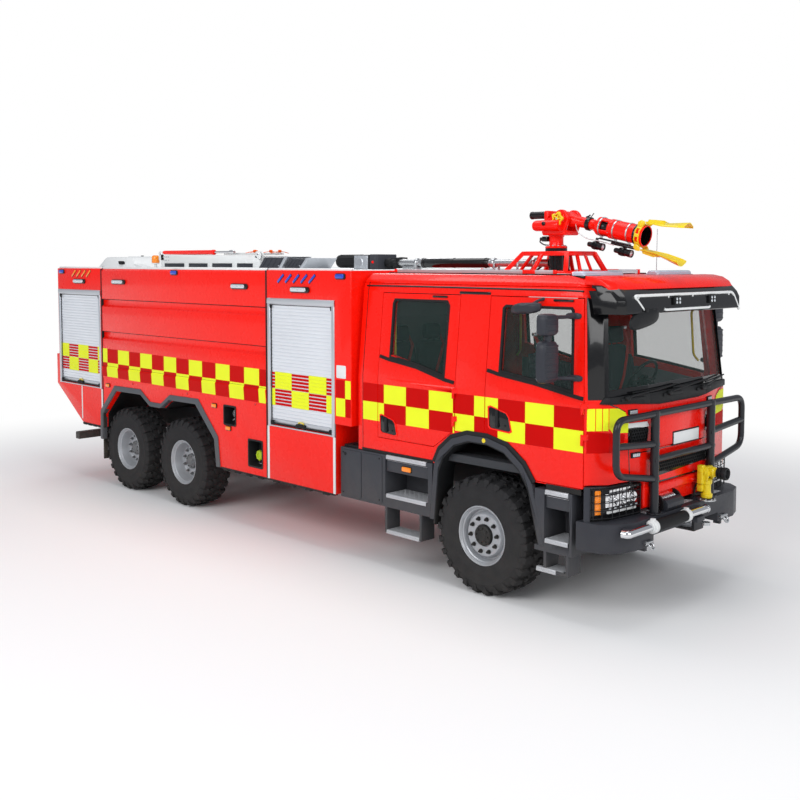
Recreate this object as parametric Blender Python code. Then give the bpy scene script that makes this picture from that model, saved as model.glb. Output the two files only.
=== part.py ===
"""Airport fire truck on three axles: crew cab, tank body, lockers, a roof monitor and a bumper monitor.

Metres, X forward, Y to the left, Z up from the ground. Pieces are laid out from the front axle, and the
root empty then moves the truck so that its box stands centred on the origin.
"""

import math

import bmesh
import bpy
from mathutils import Matrix, Vector

# Fits shared by all pieces
GAP = 0.0003
RUN = 0.008
CLEAR = 0.006
LAP = 0.004
OVERRUN = 0.06
FLAT_ANGLE = 0.2
SHARP_ANGLE = 35

# Sides of round pieces
ROUND_SIDES = 10
TUBE_SIDES = 8
SLIM_SIDES = 6
SWEEP_STEPS = 12
STEERING_STEPS = 12
BEND_STEPS = 2

# Widths that the rest of the truck follows
BODY_HALF = 1.275
CAB_INSET = 0.055
CAB_HALF = BODY_HALF - CAB_INSET
CAB_WALL = 0.07

# Wheels and tyres
TYRE_RADIUS = 0.59
TYRE_WIDTH = 0.40
TYRE_INSET = 0.245
TYRE_Y = BODY_HALF - TYRE_INSET
RIM_RADIUS = 0.2985
BARREL_RADIUS = 0.250
RIM_WIDTH = 0.350
RIM_WALL = 0.014
LUGS = 15
RIM_STEPS = 12
FRONT_DISC = 0.135
REAR_DISC = 0.030
DISC_THICKNESS = 0.020
HUB_RADIUS = 0.095
HUB_REACH = 0.050
HUB_BACK = 0.090
SPINDLE_RADIUS = 0.0593
# Section of the tyre: share of half the width, share of the section height, and how far the lug drops.
TYRE_SHARES = (
    (-0.66, 0.00, 0.00),
    (-1.00, 0.52, 0.00),
    (-0.88, 0.97, 0.10),
    (0.00, 1.00, 0.00),
    (0.88, 0.97, 0.10),
    (1.00, 0.52, 0.00),
    (0.66, 0.00, 0.00),
)
LUG_TURN_SHARES = (0.0, 0.45, 0.72)
LUG_NARROW_SHARE = 0.93

# Small sizes of the wheels, axles and springs
HUB_CAP_SHARE = 0.70
HUB_BACK_RADIUS = 0.100
HUB_CAP_WALL = 0.030
NUT_STEP = 0.012
DISC_EDGE_SHARE = 0.80
DISC_DISH = 0.035
FLANGE_SLOPE = 0.022
RIM_LIP = 0.010
DIFF_NECK_SHARE = 0.42
AXLE_STEPS = 8
SEAT_HALF_LENGTH = 0.07
SEAT_LIFT = 0.03
# Leaf spring, from its rear eye round under the axle seat, as shares of its length and rise.
SPRING_SHARES = (
    (0.0, 1.0), (0.0, 0.72), (0.42, 0.0), (0.58, 0.0), (1.0, 0.72), (1.0, 1.0), (0.93, 1.0),
    (0.58, 0.50), (0.42, 0.50), (0.07, 1.0)
)
# Bogie spring, with its ends on the axles and its middle on the trunnion.
BOGIE_SPRING_SHARES = (
    (0.0, 0.0), (0.10, 0.0), (0.42, 0.62), (0.58, 0.62), (0.90, 0.0), (1.0, 0.0), (1.0, 0.35),
    (0.58, 1.0), (0.42, 1.0), (0.0, 0.35)
)
BOGIE_SPRING_END = 0.08
TRUNNION_Z = 0.775
TRUNNION_HALF = 0.56
TUNNEL_CLEARANCE = 0.05
MOUNT_HALF = 0.035
MOUNT_END = 0.14
RAIL_STAY_INSET = 0.075
FLOOR_FRONT = 1.12
WINDSCREEN_TAPER = 0.09

# Axles
REAR_AXLES = (-5.25, -6.67)
AXLE_TUBE = 0.075
DIFF_RADIUS = 0.20
DIFF_WIDTH = 0.34
KINGPIN_INSET = 0.15
KINGPIN_Y = TYRE_Y - KINGPIN_INSET
KINGPIN_RADIUS = 0.045
YOKE_HALF_HEIGHT = 0.14
YOKE_PLATE = 0.03
YOKE_REACH = 0.05
YOKE_HALF_LENGTH = 0.065
KNUCKLE_PLATE = 0.09
KNUCKLE_PLATE_THICKNESS = 0.02
DRUM_RADIUS = 0.19
DRUM_INSET = 0.23
DRUM_Y = TYRE_Y - DRUM_INSET
DRUM_WIDTH = 0.10
SPRING_WIDTH = 0.08
SPRING_HALF_LENGTH = 0.74
SPRING_Y = 0.40
BOGIE_SPRING_Y = 0.50
TRUNNION_RADIUS = 0.06

# Chassis
RAIL_OUTER = 0.43
RAIL_FLANGE = 0.075
RAIL_WALL = 0.012
RAIL_BOTTOM = 0.86
RAIL_TOP = 1.16
RAIL_REAR = -8.30
CROSS_SHARES = (0.015, 0.33, 0.39, 0.60, 0.80, 0.90, 0.985)
CROSS_LENGTH = 0.10
CROSS_MARGIN = 0.03

# Engine and driveline
ENGINE_REAR = -1.02
ENGINE_LENGTH = 1.62
ENGINE_BOTTOM = 0.82
ENGINE_TOP = 1.48
GEARBOX_LENGTH = 0.72
GEARBOX_HALF = 0.20
GEARBOX_BOTTOM = 0.72
GEARBOX_TOP = 1.10
CASE_FRONT = -2.35
CASE_LENGTH = 0.42
CASE_HALF = 0.22
CASE_BOTTOM = 0.50
SHAFT_RADIUS = 0.05
INPUT_SHAFT_Z = 0.80

# Cab
CAB_REAR = -1.76
CAB_BOTTOM = 1.23
CAB_BELT = 2.045
CAB_HEADER = 2.975
CAB_SPLIT = 3.045
PANEL_TOP = 2.03
CAB_ROOF = 3.15
CAB_CORNER = 1.205
CAB_NOSE = 1.43
PANEL_BOTTOM = 1.00
PANEL_CORNER_BOTTOM = 1.28
NOSE_SHOULDER_SHARE = 0.64
NOSE_HALF_SHARE = 0.86
NOSE_INNER_SHARE = 0.42
FRONT_SPLIT = 1.150
PANEL_STEP = 0.005
SIDE_REACH = 0.35
# Lean of each level of the cab, from its foot to its roof: shares inwards and backwards.
CAB_LEAN_SHARES = ((0.0, 0.0), (0.0, 0.0), (1.0, 1.0), (1.35, 1.8), (2.3, 4.0))
CAB_LEAN = 0.09
ROOF_EDGE = 3.09
GLASS_THICKNESS = 0.010
GLASS_INSET = 0.020
FLOOR_TOP = 1.34
FLOOR_THICKNESS = 0.08
FLOOR_MARGIN = 0.012
TUNNEL_HALF = 0.46
TUNNEL_TOP = 1.56
TUNNEL_WALL = 0.03

# Cab doors: rear and front doors between these edges
DOOR_TOP = 2.945
REAR_DOOR_BACK = -1.45
REAR_DOOR_FRONT = -0.35
REAR_DOOR_BOTTOM = 1.40
FRONT_DOOR_BACK = 0.05
FRONT_DOOR_FRONT = 1.195
FRONT_DOOR_BOTTOM = 1.245
HINGE_OUT = 0.022
HINGE_RADIUS = 0.014
HINGE_LEAF = 0.035
HINGE_DEPTH = 0.060
HINGE_HEIGHT = 0.050
HINGE_LEVELS = (1.64, 1.92)
SWEEP_CLEARANCE = 0.015
# Outlines of the doors and windows as shares of the length and height of their box.
REAR_DOOR_SHARES = ((0.0, 0.0), (0.74, 0.0), (1.0, 0.13), (1.0, 1.0), (0.0, 1.0))
FRONT_DOOR_SHARES = (
    (0.0, 0.22), (0.14, 0.215), (0.34, 0.15), (0.54, 0.0), (1.0, 0.0), (1.0, 0.47), (0.935, 1.0), (0.0, 1.0)
)
REAR_WINDOW_SHARES = (
    (0.135, 0.58), (0.50, 0.52), (0.87, 0.46), (0.88, 0.93), (0.85, 0.965), (0.16, 0.965), (0.135, 0.93)
)
FRONT_WINDOW_SHARES = (
    (0.13, 0.575), (0.50, 0.54), (0.90, 0.50), (0.86, 0.94), (0.84, 0.955), (0.16, 0.955), (0.13, 0.93)
)

# Windscreen opening
SCREEN_PILLAR = 0.13
SCREEN_HALF = CAB_HALF - SCREEN_PILLAR
SCREEN_BOTTOM = 2.06
SCREEN_TOP = 2.93

# Front wheel arch and steps
ARCH_BACK = -0.67
ARCH_FRONT = 0.78
ARCH_BOTTOM = 0.65
ARCH_TOP = 1.575
ARCH_TRIM = 0.06
ARCH_TRIM_DEPTH = 0.04
ARCH_STAND_OUT = 0.02
# Outer edge of the arch trim from its rear foot to its front foot, as shares of its box.
ARCH_SHARES = (
    (0.0, 0.0), (0.04, 0.62), (0.09, 0.78), (0.20, 0.93), (0.34, 1.0), (0.52, 1.0), (0.68, 0.94),
    (0.82, 0.78), (0.90, 0.60), (1.0, 0.0)
)
STEP_TOP = 1.222
STEP_DEPTH = 0.37
STEP_STAND_OUT = 0.015
STEP_OUTER = CAB_HALF + STEP_STAND_OUT
STEP_BOTTOM = 0.66
STEP_BACK = -1.33
STEP_TREAD = 0.80
STEP_WALL = 0.03
SIDE_BOX_BACK = -2.04
FRONT_STEP_END = 1.09
FRONT_STEP_TREAD = 0.72
FRONT_STEP_BOTTOM = 0.60
FRONT_STEP_TOP = 1.18
STEP_FRONT_LAP = 0.11
RECESS_ROOF = 0.05
HANGER_WIDTH = 0.54
HANGER_DEPTH = 0.20
HANGER_BOTTOM = 0.38
FRONT_HANGER_WIDTH = 0.28
FRONT_HANGER_BOTTOM = 0.41
HANGER_PLATE = 0.03
STEP_BRACKET = 0.10

# Front bumper and its fittings
BUMPER_BACK = 1.14
BUMPER_FRONT = 1.55
BUMPER_STAND_OUT = 0.02
BUMPER_HALF = CAB_HALF + BUMPER_STAND_OUT
BUMPER_TOP = 0.95
BUMPER_BOTTOM = 0.69
BUMPER_LIFT = 0.09
BUMPER_SHARES = ((0.0, 1.0), (0.54, 0.985), (0.84, 0.90), (1.0, 0.74))
LAMP_TOP = 1.265
LAMP_BACK = 1.206
LAMP_FRONT = 1.405
LAMP_LENGTH = 0.62
LAMP_INNER = CAB_HALF - LAMP_LENGTH
LAMP_SHARES = ((0.0, 1.0), (0.25, 0.97), (0.72, 0.72), (1.0, 0.0), (0.0, 0.0))
PIPE_X = 1.60
PIPE_Z = 0.885
PIPE_RADIUS = 0.035
PIPE_RIGHT = -1.10
PIPE_LEFT = 0.27
COLLAR_RADIUS = 0.060
COLLAR_WIDTH = 0.045
COLLARS = (-0.70, -0.11)
SLEEVE_RADIUS = 0.052
TOW_Y = 0.14
TOW_HALF = 0.07
TOW_REACH = 0.07
TOW_RISE = 0.050
SHACKLE_Y = 0.70
SHACKLE_HALF = 0.02
SHACKLE_DROP = 0.09
WINCH_X = 1.498
WINCH_Y = -0.22
WINCH_RADIUS = 0.060
WINCH_HALF = 0.15
BAR_X = 1.50
BAR_INSET = 0.06
BAR_HALF = CAB_HALF - BAR_INSET
BAR_TOP = 1.885
BAR_LOW = 1.28
BAR_RADIUS = 0.032
POST_RADIUS = 0.040
POST_Y = 0.52
BAR_BEND = 0.12
WING_SHARE = 0.62
WING_DROP = 0.05
MIDDLE_SHARE = 0.30
CORNER_SHARE = 0.19

# Bumper monitor
SPRAY_X = 1.56
SPRAY_Y = 0.35
SPRAY_BASE = 0.062
SPRAY_PLATE = 0.022
SPRAY_COLUMN = 0.036
SPRAY_AXIS_Z = 1.235
SPRAY_HUB = 0.045
SPRAY_HUB_HALF = 0.040
SPRAY_CHEEK = 0.016
SPRAY_REACH = 0.215
SPRAY_NOZZLE = 0.062
SPRAY_BOX_BACK = 0.115

# Tank body and lockers
BODY_TOP = 3.18
BODY_BOTTOM = 0.67
BODY_EDGE = 0.03
TUNNEL_SIDE = 0.53
TANK_REAR = -7.235
TANK_FRONT = -3.325
JOINT_HALF = 0.005
GROOVE_DEPTH = 0.028
UPPER_GROOVE = 2.74
LOWER_GROOVE = 2.27
GROOVE_HEIGHT = 0.115
REAR_ARCH_BACK = -7.32
REAR_ARCH_FRONT = -4.29
REAR_ARCH_TOP = 1.50
# Rear wheel arch from its rear foot to its front foot: a hump over each wheel.
REAR_ARCH_SHARES = (
    (0.0, 0.0), (0.004, 0.54), (0.14, 0.99), (0.37, 1.0), (0.455, 0.83), (0.545, 0.83), (0.62, 0.99),
    (0.84, 1.0), (0.985, 0.50), (1.0, 0.0)
)
REAR_ARCH_TRIM = 0.075
POCKET_DEPTH = 0.16
UPPER_POCKET = (-4.20, -3.96, 1.24, 1.47)
LOWER_POCKET = (-3.69, -3.42, 0.78, 1.10)

LOCKER_FRONT = -1.82
LOCKER_STEP = -2.09
LOCKER_STEP_Z = 1.47
SHUTTER_DEPTH = 0.045
SHUTTER_THICKNESS = 0.030
SHUTTER_BACK = -3.27
SHUTTER_FRONT = -2.11
SHUTTER_BOTTOM = 1.34
SHUTTER_TOP = 2.82
SLATS = 8
SLAT_GROOVE = 0.010

REAR_END = -8.58
REAR_CORNER = -8.66
REAR_BOTTOM = 0.84
REAR_RAMP_Z = 1.39
REAR_CORNER_TOP = 1.85
REAR_RAMP_X = -7.87
REAR_SHUTTER_BACK = -8.53
REAR_SHUTTER_FRONT = -7.29
REAR_SHUTTER_BOTTOM = 1.43
REAR_SHUTTER_TOP = 2.83
TAIL_SHUTTER_HALF = 0.62
TAIL_SHUTTER_BOTTOM = 1.45
TAIL_SHUTTER_TOP = 2.80
FLAP_X = -7.35
FLAP_THICKNESS = 0.02
FLAP_BOTTOM = 0.36
FLAP_INNER = 0.84
FLAP_INSET = 0.055
FLAP_OUTER = BODY_HALF - FLAP_INSET
UNDERRUN_Z = 0.62
UNDERRUN_X = -8.42
UNDERRUN_INSET = 0.175
UNDERRUN_HALF = BODY_HALF - UNDERRUN_INSET
UNDERRUN_SIZE = 0.10

# Roof fittings of the body
RACK_BACK = -6.10
RACK_FRONT = -3.82
RACK_INSET = 0.555
RACK_Y = RACK_INSET - BODY_HALF
RACK_HEIGHT = 0.20
RACK_GAUGE = 0.48
RACK_POSTS = 4
ROOF_BOX_BACK = -7.90
ROOF_BOX_FRONT = -6.84
ROOF_BOX_HEIGHT = 0.17
ROOF_BOX_INSET = 0.325
ROOF_BOX_HALF = BODY_HALF - ROOF_BOX_INSET
PUMP_BACK = -3.43
PUMP_BOX_BACK = -2.99
PUMP_BOX_FRONT = -2.56
PUMP_TOP = 3.37
PUMP_HALF = 0.17
PUMP_RADIUS = 0.085

# Roof monitor
STAND_BACK = -0.43
STAND_FRONT = 0.36
STAND_HALF = 0.36
STAND_TOP_BACK = -0.27
STAND_TOP_FRONT = 0.29
STAND_TOP_HALF = 0.24
STAND_TOP_Z = 3.38
STAND_WALL = 0.045
COLUMN_X = -0.02
COLUMN_RADIUS = 0.075
COLUMN_TOP = 3.42
FLANGE_RADIUS = 0.115
FLANGE_HEIGHT = 0.022
AIM_X = 0.12
AIM_Z = 3.72
CHEEK_RADIUS = 0.095
CHEEK_INNER = 0.085
CHEEK_OUTER = 0.125
HUB_TURN = 0.080
MONITOR_REST = 11.7
NECK_RADIUS = 0.055
NECK_END = 0.36
BARREL_START = 0.44
BARREL_END = 0.86
BARREL_OUTER = 0.095
NOZZLE_RADIUS = 0.110
NOZZLE_START = 0.90
NOZZLE_END = 0.955
MOTOR_RADIUS = 0.042
MOTOR_BACK = -0.35
MOTOR_Z = 3.775
WHEEL_RADIUS = 0.075
WHEEL_THICKNESS = 0.016
JAW_OUT = 0.128
JAW_PIN = 0.010
JAW_REACH = 0.42
JAW_SPREAD = 0.075
JAW_THICKNESS = 0.014
JAW_WIDTH = 0.13
JAW_TIP_WIDTH = 0.25
LUG_HALF = 0.025

FEED_Z = 3.265
FEED_RADIUS = 0.042
FEED_SLEEVE = 0.055
FEED_BACK = -2.32
SLEEVE_BACK = -1.95
SLEEVE_FRONT = -0.93

# Lamps and mirrors
BEACON_X = 1.02
BEACON_LENGTH = 0.17
BEACON_INNER = 0.30
BEACON_INSET = 0.24
BEACON_OUTER = CAB_HALF - BEACON_INSET
BEACON_FOOT = 3.10
BEACON_TOP = 3.195
VISOR_REACH = 0.15
VISOR_DROP = 0.235
VISOR_FACE = 0.105
VISOR_INSET = 0.18
VISOR_HALF = CAB_HALF - VISOR_INSET
VISOR_THICKNESS = 0.025
MIRROR_STAND_OUT = 0.28
MIRROR_Y = CAB_HALF + MIRROR_STAND_OUT
MIRROR_X = 1.00
MIRROR_DEPTH = 0.10
MIRROR_WIDTH = 0.24
MIRROR_BOTTOM = 2.19
MIRROR_TOP = 2.83
MIRROR_ARM = 0.016
MIRROR_ROOT = 0.050
MIRROR_LEAN_SHARE = 0.62
RAIL_X = 1.50
RAIL_Z = 2.975
RAIL_INSET = 0.13
RAIL_HALF = VISOR_HALF - RAIL_INSET
RAIL_RADIUS = 0.013
RAIL_DROP = 0.071
RAIL_STAY_SHARE = 0.8
FRONT_MIRROR_Y = 0.74
FRONT_MIRROR_Z = 2.72
FRONT_MIRROR_RADIUS = 0.14

# Cab interior
DASH_DEPTH = 0.36
DASH_TOP = 2.00
DASH_BOTTOM = 1.62
DRIVER_INSET = 0.60
DRIVER_Y = CAB_HALF - DRIVER_INSET
SEAT_X = 0.26
SEAT_HALF = 0.25
SEAT_DEPTH = 0.48
SEAT_TOP = 1.76
SEAT_PAD = 0.14
SEAT_BACK_TOP = 2.62
SEAT_BASE_HALF = 0.16
WHEEL_TILT = 28.0
STEERING_RADIUS = 0.225
STEERING_TUBE = 0.016
STEERING_LIFT_SHARE = 0.18
BENCH_BACK = -1.64
BENCH_MARGIN = 0.13
BENCH_HALF = CAB_HALF - CAB_WALL - BENCH_MARGIN
BENCH_TOP = 1.78
BENCH_DEPTH = 0.50

# Shares of small forms
RECESS_TOP_SHARE = 0.88
SPRAY_CHEEK_SHARES = ((0.0, 0.0), (0.80, 0.0), (1.0, 0.30), (1.0, 0.70), (0.80, 1.0), (0.0, 1.0))
SPRAY_CHEEK_BACK = 0.075
SPRAY_CHEEK_FRONT = 0.040
SPRAY_NECK_SHARE = 0.52
SPRAY_CONE_SHARE = 0.58
STAND_WINDOW_SHARE = 0.62
STAND_FOOT = 0.03
CHEEK_FOOT_SHARE = 0.62
CHEEK_ARC = (-50.0, 115.0)
BRIDGE_Z = 3.60
BRIDGE_BACK = -0.075
BRIDGE_THICKNESS = 0.045
JAW_CURVE_SHARES = ((0.0, 0.0, 0.0), (0.45, 0.35, 0.55), (1.0, 1.0, 1.0))
JAW_ARCH = 0.035
RACK_PLATE = 0.03
RACK_SLOT_SHARE = 0.55
RACK_SLOT_HEIGHT_SHARE = 0.42
RACK_RUNG = 0.02
PUMP_Z = 3.285
BEACON_DEPTH_SHARES = ((0.0, 0.0), (1.0, 0.0), (0.82, 1.0), (0.18, 1.0))
MIRROR_EDGE_SHARE = 0.14
DASH_SHARES = ((0.0, 0.25), (0.30, 0.75), (0.62, 1.0), (1.0, 1.0), (1.0, 0.0), (0.30, 0.0))
SEAT_SHARES = (
    (0.0, 0.0), (0.92, 0.0), (1.0, 0.06), (1.0, 0.12), (0.92, 0.17), (0.26, 0.17), (0.14, 0.80),
    (0.10, 1.0), (-0.08, 1.0), (-0.10, 0.80)
)
COLUMN_TUBE = 0.03

# Worked out from the sizes above
TYRE_BORE = (BARREL_RADIUS + GAP) / math.cos(math.pi * max(
    LUG_TURN_SHARES[1], LUG_TURN_SHARES[2] - LUG_TURN_SHARES[1], 1 - LUG_TURN_SHARES[2]) / LUGS)
HUB_BORE = (SPINDLE_RADIUS + GAP) / math.cos(math.pi / RIM_STEPS)
RAIL_INNER = RAIL_OUTER - RAIL_FLANGE
BOGIE_X = sum(REAR_AXLES) / len(REAR_AXLES)
FRONT_REACH = SPRAY_X + SPRAY_REACH
SHIFT = -(FRONT_REACH + REAR_CORNER) / 2


def clear_scene():
    """Takes away whatever the scene holds."""
    for obj in list(bpy.data.objects):
        bpy.data.objects.remove(obj, do_unlink=True)


def arc(centre, radius, angles, steps):
    """Points round a centre, between two angles in degrees."""
    start, end = (math.radians(angle) for angle in angles)
    turns = [start + (end - start) * i / steps for i in range(steps + 1)]
    return [(centre[0] + radius * math.cos(turn), centre[1] + radius * math.sin(turn)) for turn in turns]


def outline(shares, start, size):
    """Points given as shares of a box that begins at start."""
    return [(start[0] + u * size[0], start[1] + v * size[1]) for u, v in shares]


def between(low, high):
    """Corner and size of the box between two plane points, for outline()."""
    return low, (high[0] - low[0], high[1] - low[1])


def shape(bm):
    """A helper object from a closed mesh, with its faces pointing out."""
    bmesh.ops.recalc_face_normals(bm, faces=bm.faces)
    if bm.calc_volume(signed=True) < 0:
        bmesh.ops.reverse_faces(bm, faces=bm.faces)
    mesh = bpy.data.meshes.new("shape")
    bm.to_mesh(mesh)
    bm.free()
    obj = bpy.data.objects.new("shape", mesh)
    bpy.context.scene.collection.objects.link(obj)
    return obj


def skinned(rings, wrap=False):
    """Solid through rings of points, closed by its two end faces, or joined end to end where wrap is set."""
    bm = bmesh.new()
    rows = [[bm.verts.new(point) for point in ring] for ring in rings]
    pairs = list(zip(rows, rows[1:]))
    if wrap:
        pairs.append((rows[-1], rows[0]))
    for first, second in pairs:
        count = max(len(first), len(second))
        for i in range(count):
            j = (i + 1) % count
            corners = [
                first[i % len(first)], first[j % len(first)], second[j % len(second)], second[i % len(second)]
            ]
            bm.faces.new(list(dict.fromkeys(corners)))
    if not wrap:
        for row in (rows[0], rows[-1]):
            if len(row) > 2:
                bm.faces.new(row)
    return shape(bm)


def block(low, high):
    """Box between two corners."""
    (x0, y0, z0), (x1, y1, z1) = low, high
    ring = ((x0, y0), (x1, y0), (x1, y1), (x0, y1))
    return skinned([[(x, y, z) for x, y in ring] for z in (z0, z1)])


def lifted(point, axis, along):
    """Space point of a plane point: (y, z) along X, (x, z) along Y or (x, y) along Z."""
    place = list(point)
    place.insert("XYZ".index(axis), along)
    return tuple(place)


def prism(points, axis, start, end):
    """Outline drawn out along an axis."""
    return skinned([[lifted(point, axis, along) for point in points] for along in (start, end)])


def turned(profile, centre, axis, steps, phase=0.0):
    """Solid turned about an axis from (along, radius) points: from axis to axis, or a ring that closes."""
    spin = "XYZ".index(axis)
    rings = []
    for along, radius in profile:
        ring = []
        for i in range(steps if radius > 0 else 1):
            angle = phase + math.tau * i / steps
            point = [radius * math.cos(angle), radius * math.sin(angle)]
            point.insert(spin, along)
            ring.append(Vector(centre) + Vector(point))
        rings.append(ring)
    return skinned(rings, wrap=profile[0][1] > 0)


def rod(start, end, radius, sides, end_radius=None):
    """Round bar, or a cone where end_radius is given."""
    start, end = Vector(start), Vector(end)
    turn = (end - start).to_track_quat("Z", "Y")
    rings = []
    for centre, size in ((start, radius), (end, radius if end_radius is None else end_radius)):
        rings.append([
            centre + turn @ Vector((size * math.cos(math.tau * (i + 0.5) / sides),
                                    size * math.sin(math.tau * (i + 0.5) / sides), 0))
            for i in range(sides)
        ])
    return skinned(rings)


def rounded(points, bend, steps):
    """The polyline with each inner corner turned into an arc of steps chords."""
    points = [Vector(point) for point in points]
    path = [points[0]]
    for before, corner, after in zip(points, points[1:], points[2:]):
        inward = (before - corner).normalized()
        onward = (after - corner).normalized()
        reach = min(bend, (before - corner).length / 2, (after - corner).length / 2)
        for i in range(steps + 1):
            t = i / steps
            path.append(corner + inward * reach * (1 - t) ** 2 + onward * reach * t ** 2)
    path.append(points[-1])
    return path


def tube(points, radius, sides, closed=False):
    """Round tube along a line of points, mitred where it turns."""
    points = [Vector(point) for point in points]
    if closed:
        points = points + points[:2]
    turn = (points[1] - points[0]).to_track_quat("Z", "Y")
    ring = [
        points[0] + turn @ Vector(
            (radius * math.cos(math.tau * i / sides), radius * math.sin(math.tau * i / sides), 0)
        )
        for i in range(sides)
    ]
    rings = [ring]
    for before, here, after in zip(points, points[1:], points[2:] + [None]):
        way = (here - before).normalized()
        normal = way if after is None else (way + (after - here).normalized()).normalized()
        ring = [point + way * ((here - point).dot(normal) / way.dot(normal)) for point in ring]
        rings.append(ring)
    if closed:
        return skinned(rings[1:-1], wrap=True)
    return skinned(rings)


def mirrored(obj):
    """Copy on the other side of the truck."""
    bm = bmesh.new()
    bm.from_mesh(obj.data)
    bmesh.ops.scale(bm, vec=(1, -1, 1), verts=bm.verts)
    return shape(bm)


def turned_about(obj, point, axis, degrees):
    """The helper rotated about an axis through a point."""
    turn = Matrix.Translation(point) @ Matrix.Rotation(
        math.radians(degrees), 4, axis
    ) @ Matrix.Translation(-Vector(point))
    obj.data.transform(turn)
    return obj


def combined(shapes, cuts=(), common=()):
    """One helper: the shapes fused, less the cuts, and only what lies in every one of common."""
    base = shapes[0]
    steps = [("UNION", other) for other in shapes[1:]]
    steps += [("INTERSECT", other) for other in common]
    steps += [("DIFFERENCE", other) for other in cuts]
    for operation, other in steps:
        modifier = base.modifiers.new(operation, "BOOLEAN")
        modifier.operation = operation
        modifier.solver = "MANIFOLD"
        modifier.object = other
    bpy.context.view_layer.update()
    graph = bpy.context.evaluated_depsgraph_get()
    bm = bmesh.new()
    bm.from_object(base, graph)
    bmesh.ops.dissolve_limit(bm, angle_limit=math.radians(FLAT_ANGLE), verts=bm.verts, edges=bm.edges)
    for used in [base] + [other for _, other in steps]:
        bpy.data.objects.remove(used, do_unlink=True)
    return shape(bm)


def copied(obj):
    """Another helper with the same mesh."""
    twin = bpy.data.objects.new("shape", obj.data.copy())
    bpy.context.scene.collection.objects.link(twin)
    return twin


def paint(name, colour, roughness, metallic=0.0):
    """Plain material from a colour, a roughness and a metallic value."""
    material = bpy.data.materials.new(name)
    material.use_nodes = True
    shader = material.node_tree.nodes["Principled BSDF"]
    shader.inputs["Base Color"].default_value = (*colour, 1.0)
    shader.inputs["Roughness"].default_value = roughness
    shader.inputs["Metallic"].default_value = metallic
    return material


RED = ((0.85, 0.03, 0.012), 0.25, 0.0)
ANTHRACITE = ((0.045, 0.048, 0.055), 0.5, 0.0)
BLACK = ((0.012, 0.012, 0.013), 0.5, 0.0)
RUBBER = ((0.018, 0.018, 0.019), 0.85, 0.0)
SILVER = ((0.62, 0.63, 0.65), 0.3, 1.0)
SHUTTER = ((0.72, 0.74, 0.76), 0.35, 0.7)
STEEL = ((0.22, 0.23, 0.24), 0.5, 0.8)
GLASS = ((0.10, 0.14, 0.13), 0.05, 0.0)
YELLOW = ((0.90, 0.75, 0.02), 0.35, 0.0)
WHITE = ((0.80, 0.80, 0.80), 0.4, 0.0)
CLOTH = ((0.05, 0.05, 0.06), 0.9, 0.0)
PLACES = {}


def pivot(name, point, carrier=None):
    """Empty on a joint axis, carried by another one."""
    empty = bpy.data.objects.new(name, None)
    bpy.context.scene.collection.objects.link(empty)
    empty.parent = carrier
    PLACES[name] = Vector(point)
    empty.location = PLACES[name] - (PLACES[carrier.name] if carrier else Vector())
    return empty


def node(name, finish, carrier, obj):
    """Names a helper as a piece, gives it its material and hangs it on its carrier."""
    mesh = obj.data
    mesh.transform(Matrix.Translation(-PLACES[carrier.name]))
    mesh.materials.clear()
    mesh.materials.append(paint(name, *finish))
    mesh.shade_smooth()
    mesh.set_sharp_from_angle(angle=math.radians(SHARP_ANGLE))
    obj.name = name
    mesh.name = name
    obj.parent = carrier
    return obj


def tyre(x, side):
    """Tyre whose two rows of lugs stand half a pitch apart."""
    half, height = TYRE_WIDTH / 2, TYRE_RADIUS - TYRE_BORE
    rings = []
    for lug in range(LUGS):
        for step, turn in enumerate(LUG_TURN_SHARES):
            angle = math.tau * (lug + turn) / LUGS - math.pi / 2
            ring = []
            for across, up, drop in TYRE_SHARES:
                gap = drop > 0 and step == (2 if across < 0 else 0)
                radius = TYRE_BORE + height * (up - drop * gap)
                y = side * TYRE_Y + across * half * (LUG_NARROW_SHARE if gap else 1)
                ring.append((x + radius * math.cos(angle), y, TYRE_RADIUS + radius * math.sin(angle)))
            rings.append(ring)
    return skinned(rings, wrap=True)


def wheel(x, side, disc):
    """Rim, disc and hub as one turned solid. disc is how far the disc's face lies outside the tyre's middle."""
    half, inner, hub_end = RIM_WIDTH / 2, BARREL_RADIUS - RIM_WALL, disc + HUB_REACH
    back = disc - DISC_THICKNESS
    profile = (
        (hub_end, 0),
        (hub_end, HUB_RADIUS * HUB_CAP_SHARE),
        (disc + NUT_STEP, HUB_RADIUS),
        (disc, inner * DISC_EDGE_SHARE),
        (disc - DISC_DISH, inner),
        (half - RIM_LIP, inner),
        (half, RIM_RADIUS),
        (half - FLANGE_SLOPE, BARREL_RADIUS),
        (FLANGE_SLOPE - half, BARREL_RADIUS),
        (-half, RIM_RADIUS),
        (back - DISC_DISH, inner),
        (back, inner * DISC_EDGE_SHARE),
        (back, HUB_BACK_RADIUS + NUT_STEP),
        (-HUB_BACK, HUB_BACK_RADIUS),
        (-HUB_BACK, HUB_BORE),
        (hub_end - HUB_CAP_WALL, HUB_BORE),
        (hub_end - HUB_CAP_WALL, 0),
    )
    return turned([(side * (TYRE_Y + s), r) for s, r in profile], (x, 0, TYRE_RADIUS), "Y", RIM_STEPS)


def spindle_end(disc):
    """How far out the spindle reaches inside the hub."""
    return TYRE_Y + disc + HUB_REACH - HUB_CAP_WALL - GAP


def housing_half():
    """Half of the axle housing's outline, from its middle out to its tube."""
    return [(DIFF_WIDTH * DIFF_NECK_SHARE, DIFF_RADIUS), (DIFF_WIDTH, AXLE_TUBE)]


def both_ways(half_profile):
    """A turned profile and its mirror image, joined in the middle."""
    return [(-along, radius) for along, radius in reversed(half_profile)] + list(half_profile)


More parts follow.
